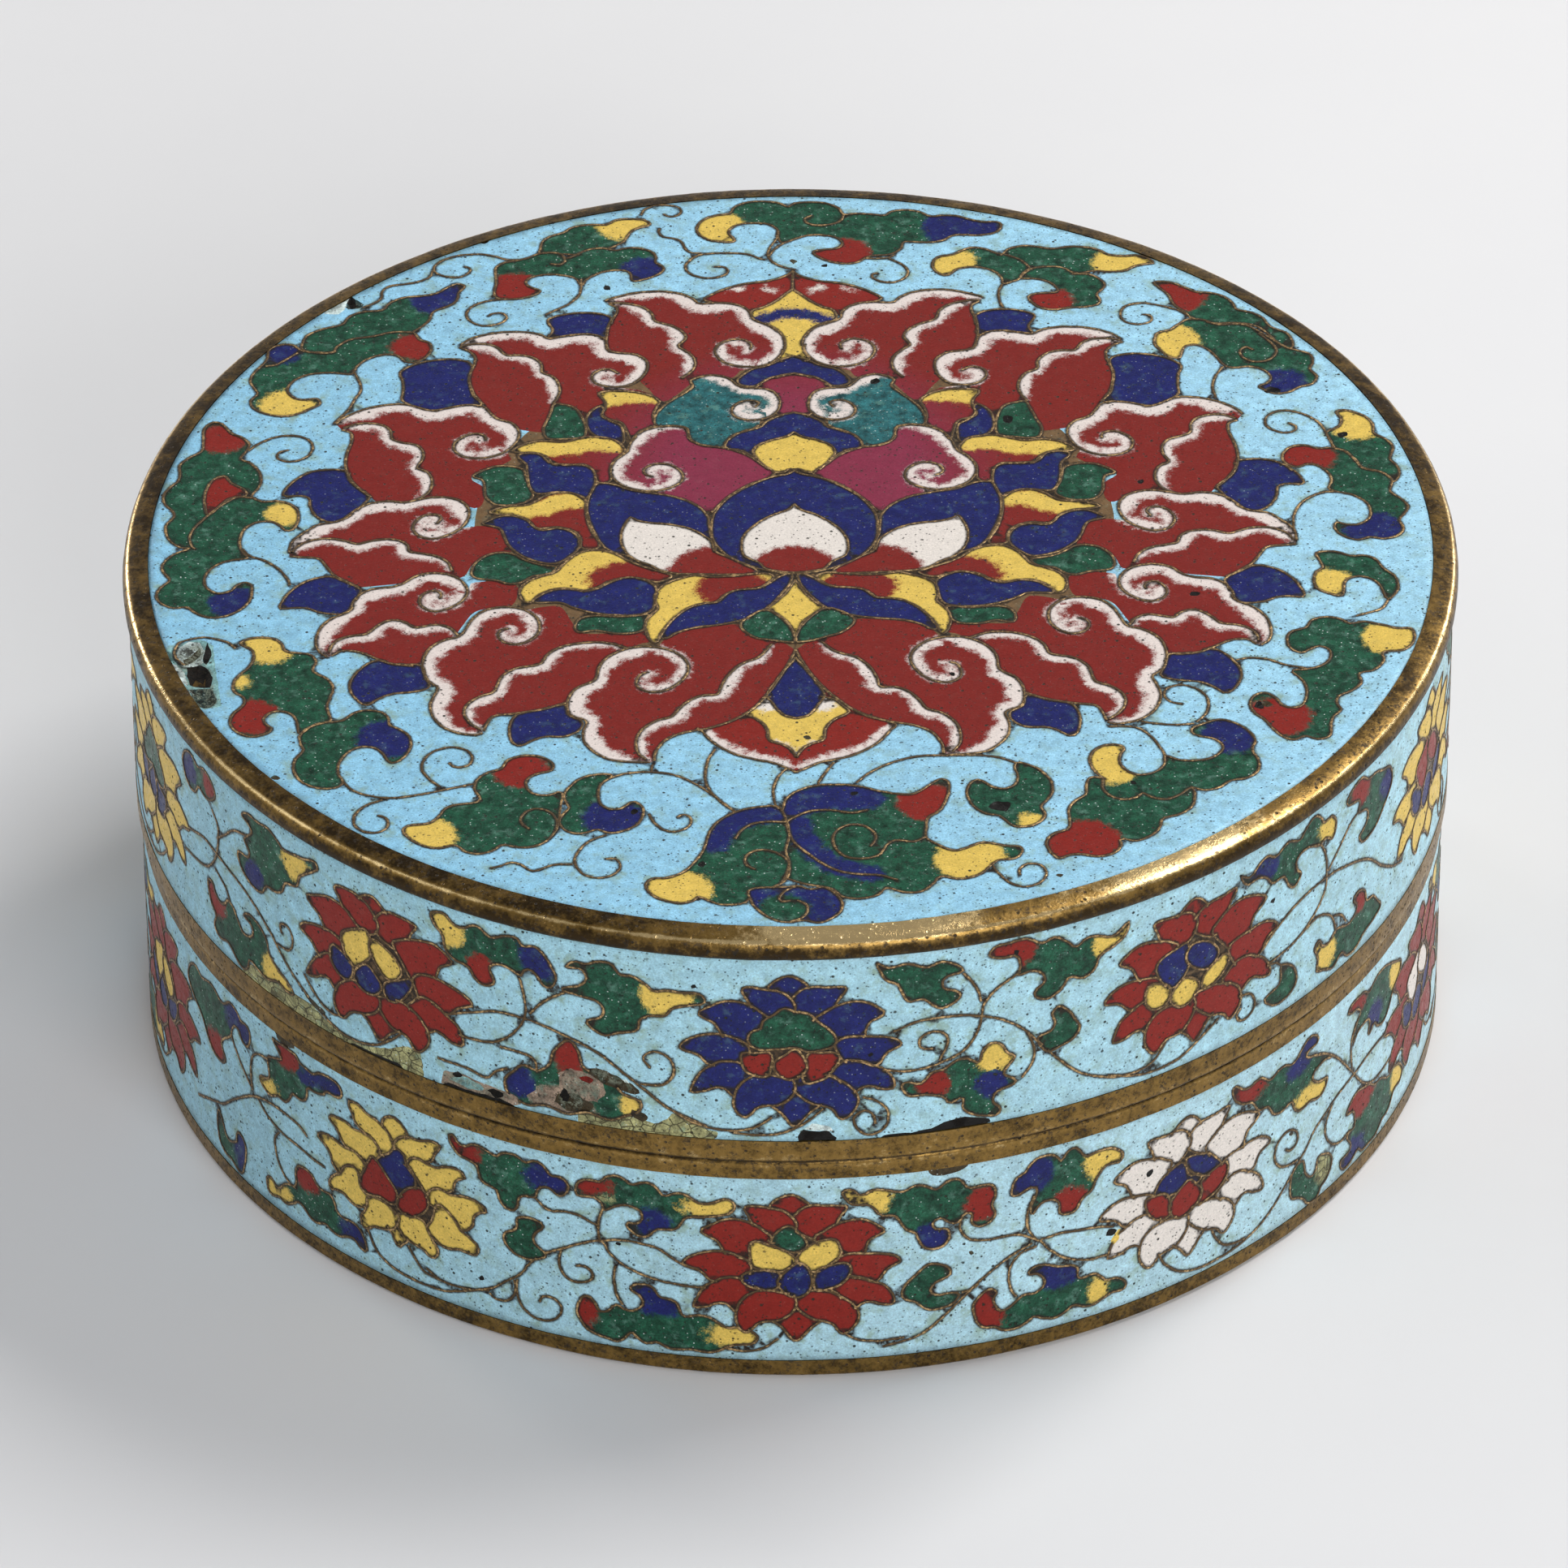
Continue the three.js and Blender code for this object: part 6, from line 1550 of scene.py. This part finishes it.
def cover_polish_and_highlight(a, r, z):
    """How bright the cover's gilding is, from 0 to 1: worn brightness with painted highlights on its
    shoulder, the rim's flat and the edges, and painted shade where cover and box meet.
    """
    patchy = ring_noise(a, 0.8 * r, 2.0)
    # Painted reflection: the rim's flat is bright gold at the front and, less, towards the right.
    front = np.maximum(highlit_stretch(a, 0.10, 0.16), 0.75 * highlit_stretch(a, 0.62, 0.22))
    # Painted highlight: a bright line along the rim's shoulder.
    shoulder = near_ring(r, z, 62.0, 49.8, 0.26) * (0.75 + 0.2 * patchy)
    flat = np.where(z > HEIGHT - 0.45, 0.12 + 0.14 * patchy + 0.95 * front, 0.0)
    band = np.where(z < COVER_FIELD[0] + 0.2, 0.24 + 0.08 * patchy, 0.0)
    # Painted highlight: a bright line along the band's rounded lower edge.
    edge = 0.42 * near_ring(r, z, COVER_R, SEAM_Z + 0.5, 0.35)
    side = np.where((z > COVER_FIELD[1]) & (z < HEIGHT - 0.5),
                    0.02 + 0.06 * patchy + 0.10 * (z > 49.2), 0.0)
    # Painted shade: darker in the groove where cover and box meet.
    seam = 0.5 * near_ring(r, z, COVER_R - 0.2, SEAM_Z, 0.30)
    return np.maximum.reduce([shoulder, flat, band, edge, side]) - seam


def box_polish_and_highlight(a, r, z):
    """The same for the box: its band, edges, foot and lip, with a painted highlight on the upper edge and
    painted shade where cover and box meet.
    """
    patchy = ring_noise(a, 0.8 * z, 6.0)
    band = np.where((z > BOX_FIELD[1] - 0.2) & (z <= SEAM_Z), 0.24 + 0.08 * patchy, 0.0)
    # Painted highlight: a bright line along the box band's rounded upper edge.
    edge = 0.40 * near_ring(r, z, BOX_R, SEAM_Z - 0.5, 0.35)
    foot = np.where(z < BOX_FIELD[0] + 0.2, 0.20 + 0.08 * patchy, 0.0)
    lip = np.where(z > SEAM_Z, 0.35, 0.0)
    # Painted shade: darker in the groove where cover and box meet.
    seam = 0.5 * near_ring(r, z, BOX_R - 0.2, SEAM_Z, 0.30)
    return np.maximum.reduce([band, edge, foot, lip]) - seam


def arc(r0, z0, r1, z1, level, steps=7):
    """Quarter of an ellipse from one point to the other, without its ends."""
    a = np.linspace(0, math.pi / 2, steps + 1)[1:-1]
    u, v = (np.sin(a), 1 - np.cos(a)) if level else (1 - np.cos(a), np.sin(a))
    return [(r0 + (r1 - r0) * x, z0 + (z1 - z0) * y) for x, y in zip(u, v)]


# Profiles of the two bodies, as in the CAD source, with a slightly tighter shoulder
WALL_T, TOP_T, FLOOR_T = 2.6, 2.8, 2.6
SEAM_Z, EDGE_R, RIM_R = 25.0, 0.5, 62.4
SHOULDER = ((62.4, 48.9), (62.34, 49.3), (62.18, 49.62), (61.98, 49.84), (61.72, 49.98), (61.4, 50.08),
            (60.9, 50.2))
FOOT_EDGE, FOOT_RING_W, FOOT_RECESS = 0.4, 3.0, 0.9
LIP_GAP, LIP_T, LIP_TOP_Z, LIP_LOW_Z, LIP_CHAMFER = 0.3, 1.4, 29.8, 20.5, 0.5


def cover_profile():
    """The cover's outline, from the axis under its plate round to the axis on its top."""
    inner, back = COVER_R - WALL_T, COVER_R - ENAMEL_T
    return [(0, HEIGHT - TOP_T), (inner, HEIGHT - TOP_T), (inner, SEAM_Z), (COVER_R - EDGE_R, SEAM_Z),
            *arc(COVER_R - EDGE_R, SEAM_Z, COVER_R, SEAM_Z + EDGE_R, True, 4), (COVER_R, SEAM_Z + EDGE_R),
            (COVER_R, COVER_FIELD[0]), (back, COVER_FIELD[0]), (back, COVER_FIELD[1]),
            (RIM_R - 0.3, COVER_FIELD[1]), (RIM_R, COVER_FIELD[1] + 0.4), *SHOULDER,
            (TOP_FIELD_R, HEIGHT), (TOP_FIELD_R, HEIGHT - ENAMEL_T), (0, HEIGHT - ENAMEL_T)]


def box_profile():
    """The box's outline, from the axis under its floor round to the axis inside."""
    inner, back, foot_inner = BOX_R - WALL_T, BOX_R - ENAMEL_T, BOX_R - FOOT_RING_W
    lip_outer = COVER_R - WALL_T - LIP_GAP
    lip_inner, floor_z = lip_outer - LIP_T, FOOT_RECESS + FLOOR_T
    return [(0, FOOT_RECESS + ENAMEL_T), (foot_inner, FOOT_RECESS + ENAMEL_T), (foot_inner, 0),
            (BOX_R - FOOT_EDGE, 0), (BOX_R, FOOT_EDGE), (BOX_R, BOX_FIELD[0]), (back, BOX_FIELD[0]),
            (back, BOX_FIELD[1]), (BOX_R, BOX_FIELD[1]), (BOX_R, SEAM_Z - EDGE_R),
            *arc(BOX_R, SEAM_Z - EDGE_R, BOX_R - EDGE_R, SEAM_Z, False, 4), (BOX_R - EDGE_R, SEAM_Z),
            (lip_outer, SEAM_Z), (lip_outer, LIP_TOP_Z - LIP_CHAMFER), (lip_outer - LIP_CHAMFER, LIP_TOP_Z),
            (lip_inner, LIP_TOP_Z), (lip_inner, LIP_LOW_Z), (inner, LIP_LOW_Z - (inner - lip_inner)),
            (inner, floor_z), (0, floor_z)]




FLOWER_SCALE = 0.945
PETAL_STRETCH = (1.18, 1.14)        # so that petals overlap
FLOWER_BACKING = (0.72, 0.66)       # shares of the flower's height that the brown oval takes
FLOWER_UNEVEN = 0.14
COVER_FLOWER_Z, BOX_FLOWER_Z = 38.1, 13.1


def flower(panel, along, z, petals, colour, heart, upper, lower, lean):
    """A flower of a wall: petals round a heart of a few lobes. `lean` sets it apart from the others."""
    def at(p, k):
        uneven = np.c_[np.sin(k * 2.1 + lean + p[:, 1]), np.cos(k * 1.3 + lean * 2 + p[:, 0])]
        q = FLOWER_SCALE * p * (1 + 0.03 * np.sin(lean * 5 + k)) + FLOWER_UNEVEN * uneven
        return q + (along, z)

    spread = np.vstack([first for _, _, first, _ in entries(petals)])
    middle = (spread[:, 1].max() + spread[:, 1].min()) / 2
    reach = spread[:, 1].max() - spread[:, 1].min()
    wide, high = FLOWER_BACKING
    panel.cell(oval(along, z + middle, wide * reach, high * reach, 0, 50, 0.0), "c", wire=None)
    for k, (kind, _, first, _) in enumerate(entries(petals)):
        first = first.mean(0) + (first - first.mean(0)) * PETAL_STRETCH
        panel.cell(at(curve(first, closed=True), k), colour)
        if kind == "out":
            panel.cell(at(curve(first * (-1, 1), closed=True), k + 9), colour)
    for k, (_, key, first, _) in enumerate(entries(heart)):
        colour = {"u": upper, "l": lower}.get(key, key)
        panel.cell(at(curve(first, closed=True), 0), colour)


LEAF_CLEAR, VINE_CLEAR = 0.4, 9.0   # between a leaf or a loose vine and the ends of a wall's drawing


def wall_drawing(flowers, z, right, left, turn):
    """A wall's drawing, from -SEAM round to the same line, from (leaves, vines) of its right and left.

    The hidden back repeats the front's leaves and vines at steps of a fifth of the turn."""
    panel = Panel()

    def fits(p, spare):
        return p[:, 0].min() > -SEAM + spare and p[:, 0].max() < turn - SEAM - spare

    for (leaves, vines), step in ((right, turn / 5), (left, -turn / 5)):
        side = Panel()
        for text in vines.split(";"):
            side.wire(curve(pts(text)))
        draw(side, leaves)
        for shift in (0, step, 2 * step):
            copy = side.moved(lambda p, d=shift: p + (d, 0))
            chosen = Panel()
            numbers = {-1: -1}
            for i, c in enumerate(copy.cells):
                if fits(c["line"], LEAF_CLEAR):
                    numbers[i] = len(chosen.cells)
                    chosen.cells.append(c)
            chosen.wires = [(w, numbers[o]) for w, o in copy.wires
                            if o in numbers and fits(w, LEAF_CLEAR if o >= 0 else VINE_CLEAR)]
            panel.add(chosen)
    for i, (along, petals, colour, heart, upper, lower) in enumerate(flowers):
        flower(panel, along, z, petals, colour, heart, upper, lower, i * 0.7)
    return panel


def wall_ground(light, radius):
    """Turquoise with painted light, paler towards the front right where the light falls, and even where the
    drawing's two ends meet.
    """
    last = 2 * math.pi * radius - SEAM
    dull = srgb(146, 196, 214)

    def ground(p):
        # Painted light: from the darker turquoise away from the light to the lit colour towards the front
        # right.
        share = (0.5 + 0.5 * np.cos((p[:, 0] - 70) / radius))[:, None]
        colour = dull + share * (srgb(*light) - dull)
        fade = np.clip((p[:, 0] + SEAM) / 15, 0, 1) * np.clip((last - p[:, 0]) / 15, 0, 1)
        return colour * (1 + 0.05 * fade * wobble(p, 8.0, 5.0))[:, None], np.full(len(p), 0.20)
    return ground


enamel = enamel_material("enamel")
plain_enamel = enamel_material("plain_enamel", srgb(140, 190, 204))
wire_metal = wire_material()
worn_gilt = bronze_material("worn_gilt")

# The cover's top. Losses and fills are entries of a colour, a depth and the points of an outline.
TOP_DAMAGE = """
s 0.30 -57.8,-16.5 -56.9,-18.9 -56.1,-21.2 -55.3,-23.3 -54.7,-25.2 -53.9,-25.9 -52.3,-25.3 -52.6,-22.7
 -52.9,-20.4 -53.2,-17.8 -53.4,-15.6 -54.6,-14.6 -56.2,-15.1 -57.0,-15.9;
f 0.25 -57.4,-18.4 -56.7,-18.5 -55.9,-19.4 -55.6,-21.0 -55.5,-21.9 -56.1,-21.4 -56.7,-20.1;
f 0.35 -56.7,-15.9 -55.6,-14.9 -54.6,-14.9 -54.2,-16.2 -54.3,-18.2 -55.2,-18.9 -56.3,-18.5 -56.8,-17.2;
n 0.45 -56.1,-17.3 -55.2,-16.4 -54.6,-15.3 -54.5,-16.7 -55.3,-17.6 -55.9,-18.2;
k 0.55 -53.9,-15.1 -53.5,-16.6 -53.7,-18.2 -54.1,-18.5 -54.3,-17.3 -54.2,-16.0;
k 0.70 -55.7,-18.7 -54.6,-18.3 -53.8,-18.9 -53.2,-20.6 -53.3,-21.9 -54.4,-22.1 -55.3,-21.7 -55.6,-20.4;
d 0.60 -55.3,-22.4 -54.3,-22.2 -53.3,-22.1 -52.7,-24.3 -53.3,-25.2 -54.4,-25.3 -55.0,-24.0;
f 0.60 -55.5,-22.7 -54.9,-22.5 -54.9,-22.9 -55.3,-23.2;
f 0.20 -44.7,39.8 -43.8,41.2 -42.8,42.2 -42.3,42.8 -42.5,41.7 -42.7,40.6 -43.3,39.7;
d 0.50 -42.2,42.9 -41.4,42.0 -40.8,41.2 -41.3,40.7 -42.2,40.5 -42.7,40.7 -42.5,41.8;
k 0.60 -42.3,42.9 -41.7,42.2 -41.6,41.4 -42.2,41.0 -42.5,41.8;
k 0.30 -30.0,52.2 -29.4,52.9 -28.9,52.3 -29.6,51.9"""
TOP_PITS = """45.9,25.6,0.7 52.3,18,0.5 42.9,-26.2,0.55 43.6,-26,0.5 18.9,-41.7,0.9 8.2,27.6,0.5 20.7,21,0.6
 1.4,-30.8,0.35 37.5,-8.2,0.45 33,10.3,0.35 -17.5,44,0.4 0.5,48.5,0.35 3.5,47.7,0.3 -14.3,-42.2,0.4
 14.8,-20.9,0.3 -47,-36.6,0.4 5.6,-39.6,0.35 -8.2,-50.4,0.4 31.0,-38.2,0.3 24.0,-52.4,0.3"""
top = top_drawing()
top_losses = lay(top, TOP_DAMAGE) + pit_marks(top, TOP_PITS)
for line in ("-56.6,-15.2 -55.5,-14.6 -54.3,-14.3 -53.2,-14.6 -52.0,-15.2 -51.3,-16.2",
             "-56.6,-15.2 -56.9,-16.4 -56.7,-17.7 -55.9,-18.8"):
    top.wire(curve(pts(line)))
top_runs = clip_wires(top)
piece = sheet("cover_top_face", top, disc_domain(TOP_FIELD_R - 0.03), top_runs, top_ground,
              hollows(top_losses), on_top, enamel, weld=False)
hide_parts("cover_top_enamel")
ribbons("cover_top_wires", top_runs, on_top, wire_metal)

# The cover's wall: old olive fills lie under the drawing, chips and dirt over it
COVER_FILLS = """
o 0 -59.6,27.4 -58,29.2 -55,29.4 -52,29.6 -49,29.6 -47.4,28.8 -45,28.3 -42,28.3 -39.5,29.2 -37.5,30.4
 -36,30.2 -35.5,27.4;
o 0 -19.9,27.4 -19.9,28.7 -18.5,28.9 -17,29 -15,29.2 -12.6,28.7 -11.6,29.4 -11,30.1 -9.6,29.3 -8,28.7
 -6.8,28.2 -7.2,27.4"""
COVER_DAMAGE = """
n 0 -50.4,30.9 -49.4,30.4 -48.2,29.9 -47.2,29.7 -47.4,28.9 -48.6,29.4 -50.0,30.2;
p 0.25 -33.8,27.6 -33.5,29.2 -31.5,29.6 -30,29.3 -28,29.1 -26,28.9 -25.4,28.1 -26.4,27.5;
s 0.10 -33.0,28.3 -31.6,29.2 -29.6,28.8 -29.2,28.2 -31.0,27.9;
k 0.35 -32.6,29.0 -32.0,29.8 -31.4,29.4 -31.8,28.8 -32.4,28.7;
k 0.35 -29.0,28.4 -28.3,28.9 -27.4,28.7 -27.3,28.1 -28.2,27.8;
k 0.20 -33.9,27.5 -33.0,27.9 -30.6,27.8 -27.6,27.9 -26.0,27.6 -26.0,27.4 -33.0,27.4;
p 0.30 -21.8,32.6 -20.6,33.4 -19,33.2 -17.6,32.6 -17.2,31.2 -18.2,30.2 -19.8,30 -21.6,30.4;
r 0.15 -19.8,32.4 -19.1,32.7 -18.4,32.4 -18.7,31.9 -19.5,32.0;
n 0.35 -19.6,33.6 -18,34.1 -16.4,33.6 -14.8,32.9 -13.9,32 -14.6,31.6 -16,32 -17.4,32.3 -18.4,33;
f 0.25 -15.8,33.1 -15.3,33.3 -14.9,32.9 -15.4,32.6;
n 0.35 -21.9,30.3 -20.4,30.5 -19,30.1 -18.2,29.7 -19,28.7 -21,28.5 -22.2,29.3;
k 0.45 -21.3,30.9 -20.8,30.4 -20.9,29.4 -21.4,29.2 -21.8,29.9;
n 0.10 -14.8,29.9 -13.6,29.7 -13.2,29.1 -13.9,28.7 -15.0,29.2;
f 0.10 0.9,29.0 1.6,29.6 3.2,29.2 3.7,28.4 2.8,28.8 1.5,28.8;
k 0.45 0.8,28.9 2,28.6 3,28.8 3.6,28.1 4,27.7 3.4,27.4 0.6,27.4 0.2,27.8;
k 0.40 12.6,27.4 12.4,28.0 14,28.6 15.4,28.8 17,28.4 18,28.1 18.2,27.7 17.6,27.4;
k 0.15 7.8,27.4 8.2,27.8 10.4,27.8 12.6,28.0 12.6,27.4;
k 0.20 -44.5,27.4 -44.0,27.8 -41.0,27.8 -38.4,28.0 -37.8,27.4"""
COVER_PITS = """-3.6,37.4,0.35 6.9,37,0.25 -44.8,43.2,0.3 33.4,31.4,0.25 48.5,41.0,0.3 -9,44.6,0.25
 20.4,46.2,0.3"""
cover = Panel()
lay(cover, COVER_FILLS)
cover.add(wall_drawing(COVER_FLOWERS, COVER_FLOWER_Z, (COVER_RIGHT, COVER_VINES_RIGHT),
                       (COVER_LEFT, COVER_VINES_LEFT), 2 * math.pi * COVER_R))
cover_losses = lay(cover, COVER_DAMAGE) + pit_marks(cover, COVER_PITS)
cover_runs = clip_wires(cover)
piece = sheet("cover_wall_face", cover, strip_domain(COVER_R, COVER_FIELD), cover_runs,
              wall_ground((172, 214, 228), COVER_R), hollows(cover_losses), on_wall(COVER_R), enamel,
              weld=True)
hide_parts("cover_wall_enamel")
ribbons("cover_wall_wires", cover_runs, on_wall(COVER_R), wire_metal)

# The box's wall
BOX_DAMAGE = """
n 0.15 12.2,23.1 12.4,22.3 13.8,22.1 15.2,22.3 16.0,22.8 15.8,23.1;
n 0.15 -54.8,23.1 -54.4,22.2 -53.0,22.0 -52.0,22.6 -52.0,23.1;
y 0 30.7,10.6 31.2,11.2 31.1,9.9 30.5,9.4 30.1,9.9"""
BOX_PITS = """30.2,11,0.5 34.3,16.2,0.4 32,17.8,0.3 16.3,12.7,0.25 -16.3,14,0.25 -30,6.2,0.3
 4.4,18.8,0.25 52.0,12,0.3"""
box = wall_drawing(BOX_FLOWERS, BOX_FLOWER_Z, (BOX_RIGHT, BOX_VINES_RIGHT),
                   (BOX_LEFT, BOX_VINES_LEFT), 2 * math.pi * BOX_R)
box_losses = lay(box, BOX_DAMAGE) + pit_marks(box, BOX_PITS)
box_runs = clip_wires(box)
piece = sheet("box_wall_face", box, strip_domain(BOX_R, BOX_FIELD), box_runs,
              wall_ground((180, 216, 228), BOX_R), hollows(box_losses), on_wall(BOX_R), enamel,
              weld=True)
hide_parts("box_wall_enamel")
ribbons("box_wall_wires", box_runs, on_wall(BOX_R), wire_metal)

# The two bodies, and the underside's plain enamel
lathe("cover_metal", cover_profile(), "cover_body", worn_gilt, cover_polish_and_highlight)
lathe("box_metal", box_profile(), "box_body", worn_gilt, box_polish_and_highlight)

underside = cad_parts["box_underside_enamel"].data.materials
underside.clear()
underside.append(plain_enamel)


# Floor, light and camera
def floor_material():
    """A plain pale floor."""
    m = Nodes("floor")
    return m.finish(Base_Color=m.mix(m.noise(30.0), rgba(srgb(226, 226, 228)), rgba(srgb(230, 230, 231))),
                    Roughness=0.9)


floor_mesh = bpy.data.meshes.new("floor")
half, rise, far = 1.6, 1.2, 1.4
floor_mesh.from_pydata([(-half, -half, 0), (half, -half, 0), (half, far, 0), (-half, far, 0),
                        (-half, far, rise), (half, far, rise)], [], [[0, 1, 2, 3], [3, 2, 5, 4]])
floor_mesh.materials.append(floor_material())
floor = bpy.data.objects.new("floor", floor_mesh)
bpy.context.scene.collection.objects.link(floor)


def area_light(name, place, target, power, size, colour):
    """A soft rectangular light at `place` that shines on `target`."""
    light = bpy.data.lights.new(name, "AREA")
    light.energy, light.shape, light.size, light.size_y = power, "RECTANGLE", size[0], size[1]
    light.color = colour
    obj = bpy.data.objects.new(name, light)
    obj.location = place
    obj.rotation_euler = (Vector(target) - Vector(place)).to_track_quat("-Z", "Y").to_euler()
    bpy.context.scene.collection.objects.link(obj)


area_light("key", (0.55, 0.35, 0.85), (0, 0, 0.02), 6.8, (0.45, 0.45), (1.0, 0.985, 0.96))
area_light("front", (0.35, -0.95, 0.55), (0, 0, 0.02), 6.5, (0.6, 0.45), (1.0, 1.0, 1.0))
area_light("left", (-0.9, -0.1, 0.6), (0, 0, 0.02), 1.6, (0.7, 0.7), (0.95, 0.98, 1.0))
area_light("edge_left", (-0.80, 0.85, 0.26), (0, 0, 0.05), 3.0, (0.2, 0.2), (1.0, 0.97, 0.92))
area_light("edge_right", (0.80, 0.80, 0.30), (0, 0, 0.05), 2.0, (0.2, 0.2), (1.0, 0.97, 0.92))
world = bpy.data.worlds.new("studio")
world.use_nodes = True
background = world.node_tree.nodes["Background"]
background.inputs["Color"].default_value = (0.93, 0.95, 1.0, 1)
background.inputs["Strength"].default_value = 0.24
bpy.context.scene.world = world
bpy.context.scene.view_settings.view_transform = "Standard"

# The camera's place, aim, lens and roll were fitted to the rims and the foot in the photo
EYE, AIM = (-0.74, -919.5, 684.0), (-0.74, 0, 22.8)
LENS, SENSOR, ROLL = 274.4, 36.0, -0.355
camera_data = bpy.data.cameras.new("camera")
camera_data.lens, camera_data.sensor_width = LENS, SENSOR
camera_data.clip_start, camera_data.clip_end = 0.05, 20.0
camera = bpy.data.objects.new("camera", camera_data)
bpy.context.scene.collection.objects.link(camera)
eye, aim = Vector(EYE) * MM, Vector(AIM) * MM
forward = (aim - eye).normalized()
right = forward.cross(Vector((0, 0, 1))).normalized()
up = right.cross(forward)
roll = math.radians(ROLL)
right, up = right * math.cos(roll) + up * math.sin(roll), up * math.cos(roll) - right * math.sin(roll)
turn = Matrix((right, up, -forward)).transposed().to_4x4()
camera.matrix_world = Matrix.Translation(eye) @ turn
bpy.context.scene.camera = camera
